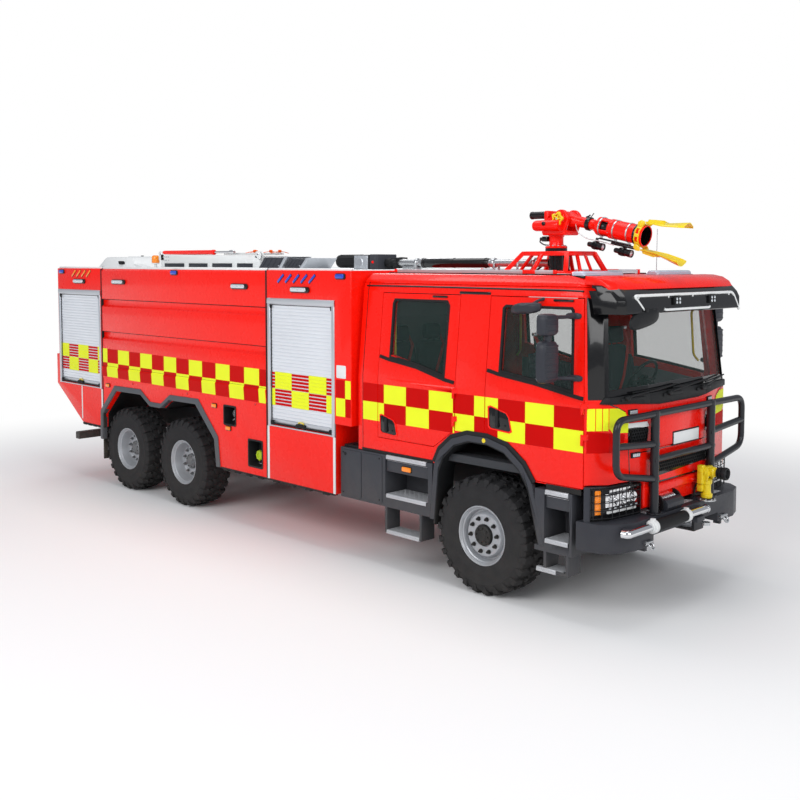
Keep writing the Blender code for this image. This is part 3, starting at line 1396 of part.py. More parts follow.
def front_locker():
    """Locker body between the cab and the tank."""
    back = TANK_FRONT + 2 * JOINT_HALF
    points = (
        (back, BODY_BOTTOM), (LOCKER_STEP, BODY_BOTTOM), (LOCKER_STEP, LOCKER_STEP_Z),
        (LOCKER_FRONT, LOCKER_STEP_Z),
        (LOCKER_FRONT, BODY_TOP), (back, BODY_TOP)
    )
    cuts = [tunnel_cut(back, LOCKER_STEP)]
    cuts += [side_recess(SHUTTER_BACK, SHUTTER_FRONT, SHUTTER_BOTTOM, SHUTTER_TOP, side) for side in (-1, 1)]
    return combined([prism(points, "Y", -BODY_HALF, BODY_HALF)], cuts=cuts)


def rear_locker():
    """Rear locker body with its ramp, mud flaps and underrun bar."""
    front = TANK_REAR - 2 * JOINT_HALF
    points = (
        (front, REAR_BOTTOM), (REAR_RAMP_X, REAR_BOTTOM + FLAP_THICKNESS), (REAR_CORNER, REAR_RAMP_Z),
        (REAR_CORNER, REAR_CORNER_TOP), (REAR_END, REAR_CORNER_TOP), (REAR_END, BODY_TOP), (front, BODY_TOP)
    )
    shapes = [prism(points, "Y", -BODY_HALF, BODY_HALF)]
    cuts = [tunnel_cut(RAIL_REAR, front)]
    for side in (-1, 1):
        cuts.append(
            side_recess(REAR_SHUTTER_BACK, REAR_SHUTTER_FRONT, REAR_SHUTTER_BOTTOM, REAR_SHUTTER_TOP, side)
        )
        shapes.append(
            block(
                (FLAP_X, side * FLAP_INNER, FLAP_BOTTOM),
                (FLAP_X + FLAP_THICKNESS, side * FLAP_OUTER, REAR_BOTTOM + LAP)
            )
        )
    cuts.append(block((REAR_CORNER - OVERRUN, -TAIL_SHUTTER_HALF, TAIL_SHUTTER_BOTTOM),
                      (REAR_END + SHUTTER_DEPTH, TAIL_SHUTTER_HALF, TAIL_SHUTTER_TOP)))
    shapes.append(block((UNDERRUN_X, -UNDERRUN_HALF, UNDERRUN_Z - UNDERRUN_SIZE),
                        (UNDERRUN_X + UNDERRUN_SIZE, UNDERRUN_HALF, UNDERRUN_Z)))
    for side in (-1, 1):
        shapes.append(block((UNDERRUN_X, side * TUNNEL_SIDE + side * OVERRUN, UNDERRUN_Z - LAP),
                            (UNDERRUN_X + UNDERRUN_SIZE, side * (TUNNEL_SIDE + 2 * OVERRUN), REAR_RAMP_Z)))
    return combined(shapes, cuts=cuts)


def shutter(width, height):
    """Roller shutter lying in the XY plane, its slats across, its outer face up."""
    count = SLATS
    points = []
    for i in range(count):
        low, high = height * i / count, height * (i + 1) / count
        points += [
            (low + SLAT_GROOVE, SHUTTER_THICKNESS), (high, SHUTTER_THICKNESS),
            (high, SHUTTER_THICKNESS - SLAT_GROOVE)
        ]
    section = [(0, 0), (0, SHUTTER_THICKNESS - SLAT_GROOVE)] + points[:-1] + [(height, 0)]
    return prism([(v, w) for v, w in section], "X", -width / 2, width / 2)


def placed_shutter(x0, x1, z0, z1, side):
    """Side shutter seated in its recess."""
    obj = shutter(x1 - x0 - 2 * GAP, z1 - z0 - 2 * GAP)
    foot = side * (BODY_HALF - SHUTTER_DEPTH + GAP)
    turn = Matrix(((1, 0, 0, (x0 + x1) / 2), (0, 0, side, foot), (0, 1, 0, z0 + GAP), (0, 0, 0, 1)))
    obj.data.transform(turn)
    if turn.determinant() < 0:
        obj.data.flip_normals()
    return obj


def tail_shutter():
    """Tail shutter seated in the rear face."""
    obj = shutter(2 * (TAIL_SHUTTER_HALF - GAP), TAIL_SHUTTER_TOP - TAIL_SHUTTER_BOTTOM - 2 * GAP)
    foot = REAR_END + SHUTTER_DEPTH - GAP
    turn = Matrix(((0, 0, -1, foot), (-1, 0, 0, 0), (0, 1, 0, TAIL_SHUTTER_BOTTOM + GAP), (0, 0, 0, 1)))
    obj.data.transform(turn)
    if turn.determinant() < 0:
        obj.data.flip_normals()
    return obj


def roof_rack():
    """Ladder gantry on the tank roof: two slotted side plates with rungs."""
    low = BODY_TOP + GAP
    length = RACK_FRONT - RACK_BACK
    pitch = length / RACK_POSTS
    shapes, slots = [], []
    for side in (-1, 1):
        y = RACK_Y + side * RACK_GAUGE / 2
        shapes.append(
            block((RACK_BACK, y - RACK_PLATE / 2, low), (RACK_FRONT, y + RACK_PLATE / 2, low + RACK_HEIGHT))
        )
    for i in range(RACK_POSTS):
        x = RACK_BACK + pitch * (i + 0.5)
        z = low + RACK_HEIGHT / 2
        reach = pitch * RACK_SLOT_SHARE / 2
        rise = RACK_HEIGHT * RACK_SLOT_HEIGHT_SHARE / 2
        slots.append(
            block((x - reach, RACK_Y - RACK_GAUGE, z - rise), (x + reach, RACK_Y + RACK_GAUGE, z + rise))
        )
    for i in range(RACK_POSTS + 1):
        x = RACK_BACK + RACK_RUNG + (length - 2 * RACK_RUNG) * i / RACK_POSTS
        shapes.append(
            rod(
                (x, RACK_Y - RACK_GAUGE / 2, low + RACK_HEIGHT - RACK_RUNG),
                (x, RACK_Y + RACK_GAUGE / 2, low + RACK_HEIGHT - RACK_RUNG), RACK_RUNG, SLIM_SIDES
            )
        )
    shapes[0] = combined([shapes[0]], cuts=[copied(slot) for slot in slots])
    shapes[1] = combined([shapes[1]], cuts=slots)
    return combined(shapes)


def roof_box():
    """Low box with sloped sides at the rear of the roof."""
    low, high = BODY_TOP + GAP, BODY_TOP + ROOF_BOX_HEIGHT
    slope = ROOF_BOX_HEIGHT / 2
    ends = ((low, 0.0), (high, slope))
    return skinned([[
        (ROOF_BOX_BACK + s, -ROOF_BOX_HALF + s, z), (ROOF_BOX_FRONT - s, -ROOF_BOX_HALF + s, z),
        (ROOF_BOX_FRONT - s, ROOF_BOX_HALF - s, z), (ROOF_BOX_BACK + s, ROOF_BOX_HALF - s, z)] for z, s in ends])


def monitor_feed():
    """Valve gear on the body's roof and the pipe from it to the roof monitor's column."""
    low = BODY_TOP + GAP
    end = COLUMN_X - COLUMN_RADIUS - GAP
    saddle = FEED_BACK + STEP_BRACKET
    return combined([
        block((PUMP_BOX_BACK, -PUMP_HALF, low), (PUMP_BOX_FRONT, PUMP_HALF, PUMP_TOP)),
        rod((PUMP_BACK, 0, PUMP_Z), (PUMP_BOX_BACK + LAP, 0, PUMP_Z), PUMP_RADIUS, ROUND_SIDES),
        rod((PUMP_BOX_FRONT - LAP, 0, FEED_Z), (FEED_BACK + LAP, 0, FEED_Z), FEED_SLEEVE, ROUND_SIDES),
        rod((FEED_BACK, 0, FEED_Z), (end, 0, FEED_Z), FEED_RADIUS, ROUND_SIDES),
        rod((SLEEVE_BACK, 0, FEED_Z), (SLEEVE_FRONT, 0, FEED_Z), FEED_SLEEVE, ROUND_SIDES),
        block((saddle, -FEED_RADIUS, low), (saddle + STEP_BRACKET, FEED_RADIUS, FEED_Z)),
    ])


def frustum(inset, low, high):
    """The stand's splayed form, or the one that lies inset inside it."""
    foot = (STAND_BACK + inset, STAND_FRONT - inset, STAND_HALF - inset)
    top = (STAND_TOP_BACK + inset, STAND_TOP_FRONT - inset, STAND_TOP_HALF - inset)
    return skinned(
        [[(x0, -y, z), (x1, -y, z), (x1, y, z), (x0, y, z)] for z, (x0, x1, y) in ((low, foot), (high, top))]
    )


def monitor_stand():
    """Splayed stand with a window in each side, and the fixed column with its flange."""
    low, high = CAB_ROOF + GAP, STAND_TOP_Z
    room = frustum(STAND_WALL, low - STAND_FOOT, high - STAND_WALL)
    sill, lintel = low + STAND_FOOT, high - STAND_WALL
    share = STAND_WINDOW_SHARE
    across = [
        (-STAND_HALF * share, sill), (STAND_HALF * share, sill), (STAND_TOP_HALF * share, lintel),
        (-STAND_TOP_HALF * share, lintel)
    ]
    middle = (STAND_BACK + STAND_FRONT) / 2
    along = [
        (middle + (STAND_BACK - middle) * share, sill), (middle + (STAND_FRONT - middle) * share, sill),
        (middle + (STAND_TOP_FRONT - middle) * share, lintel), (middle + (STAND_TOP_BACK - middle) * share, lintel)
    ]
    cuts = [room, prism(across, "X", STAND_BACK - OVERRUN, STAND_FRONT + OVERRUN),
            prism(along, "Y", -STAND_HALF - OVERRUN, STAND_HALF + OVERRUN)]
    stand = combined([frustum(0.0, low, high)], cuts=cuts)
    column = turned([(low, 0), (low, COLUMN_RADIUS), (COLUMN_TOP - FLANGE_HEIGHT, COLUMN_RADIUS),
                     (COLUMN_TOP - FLANGE_HEIGHT, FLANGE_RADIUS), (COLUMN_TOP, FLANGE_RADIUS), (COLUMN_TOP, 0)],
                    (COLUMN_X, 0, 0), "Z", ROUND_SIDES)
    return combined([stand, column])


def monitor_turret():
    """Roof monitor's turning base: column, bridge, two cheeks, drive motor and handwheel."""
    low = COLUMN_TOP + GAP
    shapes = [turned([(low, 0), (low, FLANGE_RADIUS), (low + FLANGE_HEIGHT, FLANGE_RADIUS),
                      (low + FLANGE_HEIGHT, COLUMN_RADIUS), (BRIDGE_Z, COLUMN_RADIUS), (BRIDGE_Z, 0)],
                     (COLUMN_X, 0, 0), "Z", ROUND_SIDES)]
    foot = BRIDGE_Z - BRIDGE_THICKNESS
    shapes.append(
        block(
            (BRIDGE_BACK, -CHEEK_OUTER, foot),
            (AIM_X + CHEEK_RADIUS * CHEEK_FOOT_SHARE, CHEEK_OUTER, BRIDGE_Z)
        )
    )
    shapes.append(block((BRIDGE_BACK - LAP, -CHEEK_OUTER, foot - LAP),
                        (BRIDGE_BACK + BRIDGE_THICKNESS, CHEEK_OUTER, MOTOR_Z + MOTOR_RADIUS)))
    cheek = arc((AIM_X, AIM_Z), CHEEK_RADIUS, CHEEK_ARC, ROUND_SIDES)
    cheek += [(BRIDGE_BACK + LAP, cheek[-1][1]), (BRIDGE_BACK + LAP, foot + LAP), (cheek[0][0], foot + LAP)]
    for side in (-1, 1):
        shapes.append(prism(cheek, "Y", side * CHEEK_INNER, side * (CHEEK_OUTER + LAP)))
    shapes.append(rod((MOTOR_BACK, 0, MOTOR_Z), (BRIDGE_BACK + LAP, 0, MOTOR_Z), MOTOR_RADIUS, ROUND_SIDES))
    wheel_y = -CHEEK_OUTER - WHEEL_RADIUS / 2
    shapes.append(
        rod((AIM_X, -CHEEK_OUTER + LAP, AIM_Z), (AIM_X, wheel_y, AIM_Z), WHEEL_THICKNESS, TUBE_SIDES)
    )
    shapes.append(
        rod((AIM_X, wheel_y, AIM_Z), (AIM_X, wheel_y - WHEEL_THICKNESS, AIM_Z), WHEEL_RADIUS, ROUND_SIDES)
    )
    return combined(shapes)


def aimed(obj):
    """Turns a shape built along X about the monitor's pitch axis to where it rests."""
    return turned_about(obj, Vector((AIM_X, 0, AIM_Z)), "Y", MONITOR_REST)


def monitor_barrel():
    """Hub, neck, barrel and nozzle ring of the roof monitor, with the lugs that hold its jaws."""
    half = CHEEK_INNER - GAP
    x, z = AIM_X, AIM_Z
    hub = rod((x, -half, z), (x, half, z), HUB_TURN, ROUND_SIDES)
    mouth = NOZZLE_RADIUS - WHEEL_THICKNESS
    profile = [
        (0, 0), (0, NECK_RADIUS), (NECK_END, NECK_RADIUS),
        (BARREL_START, BARREL_OUTER), (BARREL_END, BARREL_OUTER),
        (NOZZLE_START, NOZZLE_RADIUS), (NOZZLE_END, NOZZLE_RADIUS), (NOZZLE_END, mouth), (BARREL_END, NECK_RADIUS), (BARREL_END, 0)
    ]
    barrel = turned([(x + s, r) for s, r in profile], (0, 0, z), "X", ROUND_SIDES)
    shapes = [hub, barrel]
    pin = x + NOZZLE_END + JAW_PIN
    for side in (-1, 1):
        shapes.append(block((x + NOZZLE_START - LUG_HALF, -LUG_HALF, z + side * (BARREL_OUTER - LAP)),
                            (pin - JAW_PIN - GAP, LUG_HALF, z + side * (JAW_OUT + JAW_PIN))))
    return aimed(combined(shapes))


def monitor_jaw(side):
    """Spread-jet jaw above or below the nozzle: a bent blade on its pin."""
    x, z = AIM_X + NOZZLE_END + JAW_PIN, AIM_Z + side * JAW_OUT
    rings = []
    for along, out, wide in JAW_CURVE_SHARES:
        half = (JAW_WIDTH + (JAW_TIP_WIDTH - JAW_WIDTH) * wide) / 2
        rise = z + side * (JAW_SPREAD * out)
        edge = rise - side * JAW_ARCH * wide
        thick = side * JAW_THICKNESS
        at = x + JAW_REACH * along
        rings.append(
            [
                (at, -half, edge), (at, 0, rise), (at, half, edge), (at, half, edge + thick),
                (at, 0, rise + thick), (at, -half, edge + thick)
            ]
        )
    blade = skinned(rings)
    pin = rod(
        (x, -JAW_WIDTH / 2, z + side * JAW_THICKNESS / 2), (x, JAW_WIDTH / 2, z + side * JAW_THICKNESS / 2),
        JAW_PIN, ROUND_SIDES
    )
    return aimed(combined([blade, pin]))


def light_bars():
    """Two lamp bars on the front of the roof."""
    shapes = []
    for side in (-1, 1):
        points = outline(
            BEACON_DEPTH_SHARES, (BEACON_X - BEACON_LENGTH, BEACON_FOOT),
            (BEACON_LENGTH, BEACON_TOP - BEACON_FOOT)
        )
        shapes.append(prism(points, "Y", side * BEACON_INNER, side * BEACON_OUTER))
    return shapes


def front_mirror():
    """Rail ahead of the windscreen with the front mirror at its right end."""
    run = (
        (RAIL_X, -FRONT_MIRROR_Y, FRONT_MIRROR_Z), (RAIL_X, -RAIL_HALF, RAIL_Z), (RAIL_X, RAIL_HALF, RAIL_Z),
        (RAIL_X, RAIL_HALF + FRONT_MIRROR_RADIUS, FRONT_MIRROR_Z)
    )
    shapes = [tube(run, RAIL_RADIUS, SLIM_SIDES)]
    for side in (-1, 1):
        y = side * (RAIL_HALF - RAIL_STAY_INSET)
        shapes.append(
            rod(
                (RAIL_X - 2 * RAIL_RADIUS, y, RAIL_Z - RAIL_DROP), (RAIL_X, y, RAIL_Z),
                RAIL_RADIUS * RAIL_STAY_SHARE, SLIM_SIDES
            )
        )
    y = -FRONT_MIRROR_Y
    shapes.append(rod((RAIL_X - 2 * RAIL_RADIUS, y, FRONT_MIRROR_Z - FRONT_MIRROR_RADIUS / 2),
                      (RAIL_X + 2 * RAIL_RADIUS, y, FRONT_MIRROR_Z - FRONT_MIRROR_RADIUS / 2), FRONT_MIRROR_RADIUS, ROUND_SIDES))
    return shapes


def door_mirror(side):
    """Mirror housing and arms of a front door."""
    y = side * MIRROR_Y
    skin = side * (CAB_HALF - CAB_WALL / 2)
    x0, x1 = MIRROR_X - MIRROR_DEPTH / 2, MIRROR_X + MIRROR_DEPTH / 2
    edge = MIRROR_WIDTH * MIRROR_EDGE_SHARE
    half = MIRROR_WIDTH / 2
    face = ((-half, MIRROR_BOTTOM + edge), (edge - half, MIRROR_BOTTOM), (half - edge, MIRROR_BOTTOM), (half, MIRROR_BOTTOM + edge),
            (half, MIRROR_TOP - edge), (half - edge, MIRROR_TOP), (edge - half, MIRROR_TOP),
            (-half, MIRROR_TOP - edge))
    rings = [
        [(x, y + v * share, z) for v, z in face] for x,
        share in ((x0, 1.0), (MIRROR_X, 1.0), (x1, 1 - MIRROR_EDGE_SHARE))
    ]
    shapes = [skinned(rings)]
    for z, lean in ((MIRROR_BOTTOM + edge, 0.0), (MIRROR_TOP - edge, CAB_LEAN)):
        root = (FRONT_DOOR_FRONT - MIRROR_ROOT - lean * MIRROR_LEAN_SHARE, skin - side * lean, z)
        shapes.append(rod((MIRROR_X, y, z), root, MIRROR_ARM, SLIM_SIDES))
    return shapes


def build_cab(root):
    """Cab, its doors and what is inside it."""
    node("cab_frame", RED, root, cab_frame())
    node("cab_front_panel", RED, root, cab_front_panel())
    node("cab_roof", RED, root, cab_roof())
    node("windscreen", GLASS, root, pane(screen_prism(-GAP)))
    node("cab_floor", ANTHRACITE, root, cab_floor())
    node("dashboard", BLACK, root, dashboard())
    node("front_seats", CLOTH, root, front_seats())
    node("rear_bench", CLOTH, root, rear_bench())
    hinge = CAB_HALF + HINGE_OUT
    for side, hand in ((-1, "right"), (1, "left")):
        for front, row in ((True, "front"), (False, "rear")):
            x = FRONT_DOOR_FRONT if front else REAR_DOOR_FRONT
            carrier = pivot(f"hinge_{row}_{hand}", (x, side * hinge, CAB_BELT), root)
            fittings = hinges(x, side, -1) + (door_mirror(side) if front else [])
            door = combined([cab_door(front, side)] + fittings)
            node(f"door_{row}_{hand}", RED, carrier, door)
            glass = pane(side_prism(grown(window_outline(front), -GAP), side))
            node(f"door_glass_{row}_{hand}", GLASS, carrier, glass)


def build_running_gear(root):
    """Chassis, driveline, axles, knuckles, wheels and tyres."""
    node("chassis_frame", STEEL, root, chassis_frame())
    node("engine", STEEL, root, engine())
    node("driveline", STEEL, root, driveline())
    node("front_axle", STEEL, root, front_axle())
    node("rear_bogie", STEEL, root, rear_bogie())
    for side, hand in ((-1, "right"), (1, "left")):
        steer = pivot(f"kingpin_{hand}", (0, side * KINGPIN_Y, TYRE_RADIUS), root)
        node(f"knuckle_{hand}", STEEL, steer, knuckle(side))
        rows = [("front", 0.0, steer, FRONT_DISC)]
        rows += [(name, x, root, REAR_DISC) for name, x in zip(("middle", "rear"), REAR_AXLES)]
        for name, x, carrier, disc in rows:
            hub = pivot(f"hub_{name}_{hand}", (x, side * TYRE_Y, TYRE_RADIUS), carrier)
            node(f"wheel_{name}_{hand}", SILVER, hub, wheel(x, side, disc))
            node(f"tyre_{name}_{hand}", RUBBER, hub, tyre(x, side))


def build_body(root):
    """Bumper, steps, tank, lockers and what stands on their roofs."""
    node("front_bumper", ANTHRACITE, root, front_bumper())
    node("bull_bar", BLACK, root, bull_bar())
    steps = cab_steps()
    node("cab_steps_left", ANTHRACITE, root, mirrored(steps))
    node("cab_steps_right", ANTHRACITE, root, steps)
    node("tank_body", RED, root, tank_body())
    node("front_locker", RED, root, front_locker())
    node("rear_locker", RED, root, rear_locker())
    for side, hand in ((-1, "right"), (1, "left")):
        front = placed_shutter(SHUTTER_BACK, SHUTTER_FRONT, SHUTTER_BOTTOM, SHUTTER_TOP, side)
        rear = placed_shutter(
            REAR_SHUTTER_BACK, REAR_SHUTTER_FRONT, REAR_SHUTTER_BOTTOM, REAR_SHUTTER_TOP, side
        )
        node(f"shutter_front_{hand}", SHUTTER, root, front)
        node(f"shutter_rear_{hand}", SHUTTER, root, rear)
    node("shutter_tail", SHUTTER, root, tail_shutter())
    node("roof_rack", WHITE, root, roof_rack())
    node("roof_box", WHITE, root, roof_box())


def build_monitors(root):
    """Roof monitor on its stand and the monitor on the bumper."""
    node("monitor_stand", RED, root, monitor_stand())
    node("monitor_feed", STEEL, root, monitor_feed())
    turret = pivot("monitor_yaw", (COLUMN_X, 0, COLUMN_TOP), root)
    node("monitor_turret", RED, turret, monitor_turret())
    aim = pivot("monitor_pitch", (AIM_X, 0, AIM_Z), turret)
    node("monitor_barrel", RED, aim, monitor_barrel())
    lean = math.radians(MONITOR_REST)
    along, out = NOZZLE_END + JAW_PIN, JAW_OUT + JAW_THICKNESS / 2
    for side, name in ((1, "upper"), (-1, "lower")):
        x = AIM_X + along * math.cos(lean) + side * out * math.sin(lean)
        z = AIM_Z - along * math.sin(lean) + side * out * math.cos(lean)
        node(f"monitor_jaw_{name}", YELLOW, pivot(f"jaw_{name}", (x, 0, z), aim), monitor_jaw(side))
    base = pivot("spray_yaw", (SPRAY_X, SPRAY_Y, BUMPER_TOP), root)
    node("spray_turret", YELLOW, base, spray_turret())
    node("spray_nozzle", BLACK, pivot("spray_pitch", (SPRAY_X, SPRAY_Y, SPRAY_AXIS_Z), base), spray_nozzle())


clear_scene()
vehicle = pivot("vehicle", (0, 0, 0))
build_running_gear(vehicle)
build_cab(vehicle)
build_body(vehicle)
build_monitors(vehicle)
vehicle.location = (SHIFT, 0, 0)
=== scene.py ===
import math
import random

import bmesh
import bpy
from mathutils import Matrix, Vector


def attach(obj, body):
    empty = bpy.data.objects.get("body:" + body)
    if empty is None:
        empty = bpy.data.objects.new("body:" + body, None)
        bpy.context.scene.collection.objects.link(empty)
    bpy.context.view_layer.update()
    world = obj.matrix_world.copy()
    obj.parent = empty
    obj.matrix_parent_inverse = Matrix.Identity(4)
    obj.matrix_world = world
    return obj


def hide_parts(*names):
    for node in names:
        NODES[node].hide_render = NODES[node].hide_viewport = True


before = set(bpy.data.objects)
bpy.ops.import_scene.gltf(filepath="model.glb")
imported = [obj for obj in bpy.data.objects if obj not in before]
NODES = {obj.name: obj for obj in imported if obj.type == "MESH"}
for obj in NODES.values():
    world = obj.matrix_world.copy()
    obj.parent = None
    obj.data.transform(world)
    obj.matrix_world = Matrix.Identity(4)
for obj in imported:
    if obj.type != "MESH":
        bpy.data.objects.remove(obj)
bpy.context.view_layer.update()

# The pieces are placed from the front axle, as in the part's source. This is the axle's place.
FRONT_AXLE = 3.4425
SIDES = (-1, 1)
HANDS = {-1: "right", 1: "left"}
random.seed(7)


# Materials

def linear(red, green, blue):
    """Linear colour from sRGB values of 0 to 255."""
    return tuple(
        v / 255 / 12.92 if v / 255 <= 0.04045 else ((v / 255 + 0.055) / 1.055) ** 2.4
        for v in (red, green, blue)
    )


def material(name, colour, roughness, metallic=0.0, vary=0.12, scale=3.0, bump=0.0, bump_scale=200.0, coat=0.0,
             dust=0.0, dust_top=1.2, spread=0.1, kind="noise", bump_distance=0.001, specular=0.25):
    """Principled material: varied colour and gloss, fine relief, dust that thins out upwards."""
    made = bpy.data.materials.new(name)
    made.use_nodes = True
    tree = made.node_tree
    nodes, links = tree.nodes, tree.links
    shader = nodes["Principled BSDF"]
    shader.inputs["Metallic"].default_value = metallic
    shader.inputs["Coat Weight"].default_value = coat
    shader.inputs["Coat Roughness"].default_value = 0.04
    shader.inputs["Specular IOR Level"].default_value = specular
    place = nodes.new("ShaderNodeTexCoord")
    broad = nodes.new("ShaderNodeTexNoise")
    broad.inputs["Scale"].default_value = scale
    broad.inputs["Detail"].default_value = 6.0
    links.new(place.outputs["Object"], broad.inputs["Vector"])
    tint = nodes.new("ShaderNodeMix")
    tint.data_type = "RGBA"
    tint.inputs[6].default_value = (*[c * (1 - vary) for c in colour], 1)
    tint.inputs[7].default_value = (*[min(1.0, c * (1 + vary) + 0.004 * vary) for c in colour], 1)
    links.new(broad.outputs["Fac"], tint.inputs[0])
    last = tint.outputs[2]
    if dust:
        split = nodes.new("ShaderNodeSeparateXYZ")
        links.new(place.outputs["Object"], split.inputs[0])
        height = nodes.new("ShaderNodeMapRange")
        height.inputs["From Min"].default_value = dust_top
        height.inputs["From Max"].default_value = 0.1
        height.inputs["To Max"].default_value = dust
        links.new(split.outputs["Z"], height.inputs["Value"])
        spots = nodes.new("ShaderNodeTexNoise")
        spots.inputs["Scale"].default_value = 9.0
        spots.inputs["Detail"].default_value = 8.0
        links.new(place.outputs["Object"], spots.inputs["Vector"])
        amount = nodes.new("ShaderNodeMath")
        amount.operation = "MULTIPLY"
        links.new(height.outputs[0], amount.inputs[0])
        links.new(spots.outputs["Fac"], amount.inputs[1])
        soil = nodes.new("ShaderNodeMix")
        soil.data_type = "RGBA"
        soil.inputs[7].default_value = (0.23, 0.20, 0.16, 1)
        links.new(amount.outputs[0], soil.inputs[0])
        links.new(last, soil.inputs[6])
        last = soil.outputs[2]
    links.new(last, shader.inputs["Base Color"])
    gloss = nodes.new("ShaderNodeMapRange")
    gloss.inputs["To Min"].default_value = max(0.02, roughness - spread)
    gloss.inputs["To Max"].default_value = min(1.0, roughness + spread)
    fine = nodes.new("ShaderNodeTexNoise")
    fine.inputs["Scale"].default_value = scale * 7
    fine.inputs["Detail"].default_value = 5.0
    links.new(place.outputs["Object"], fine.inputs["Vector"])
    links.new(fine.outputs["Fac"], gloss.inputs["Value"])
    links.new(gloss.outputs[0], shader.inputs["Roughness"])
    if bump:
        relief = nodes.new("ShaderNodeBump")
        relief.inputs["Strength"].default_value = bump
        relief.inputs["Distance"].default_value = bump_distance
        if kind == "weave":
            source = nodes.new("ShaderNodeTexWave")
            source.inputs["Scale"].default_value = bump_scale
            source.inputs["Distortion"].default_value = 1.5
            source.bands_direction = "DIAGONAL"
        elif kind == "cells":
            source = nodes.new("ShaderNodeTexVoronoi")
            source.inputs["Scale"].default_value = bump_scale
        else:
            source = nodes.new("ShaderNodeTexNoise")
            source.inputs["Scale"].default_value = bump_scale
            source.inputs["Detail"].default_value = 4.0
        links.new(place.outputs["Object"], source.inputs["Vector"])
        links.new(source.outputs[0], relief.inputs["Height"])
        links.new(relief.outputs[0], shader.inputs["Normal"])
    return made


def slats_material(name, colour):
    """Anodised slats: metal with fine drawn lines along each slat."""
    made = material(name, colour, 0.36, metallic=0.55, vary=0.06, scale=2.0, bump=0.25, bump_scale=160.0)
    tree = made.node_tree
    wave = tree.nodes.new("ShaderNodeTexWave")
    wave.bands_direction = "Z"
    wave.inputs["Scale"].default_value = 60.0
    place = tree.nodes["Texture Coordinate"]
    tree.links.new(place.outputs["Object"], wave.inputs["Vector"])
    bump = next(n for n in tree.nodes if n.bl_idname == "ShaderNodeBump")
    tree.links.new(wave.outputs["Fac"], bump.inputs["Height"])
    return made


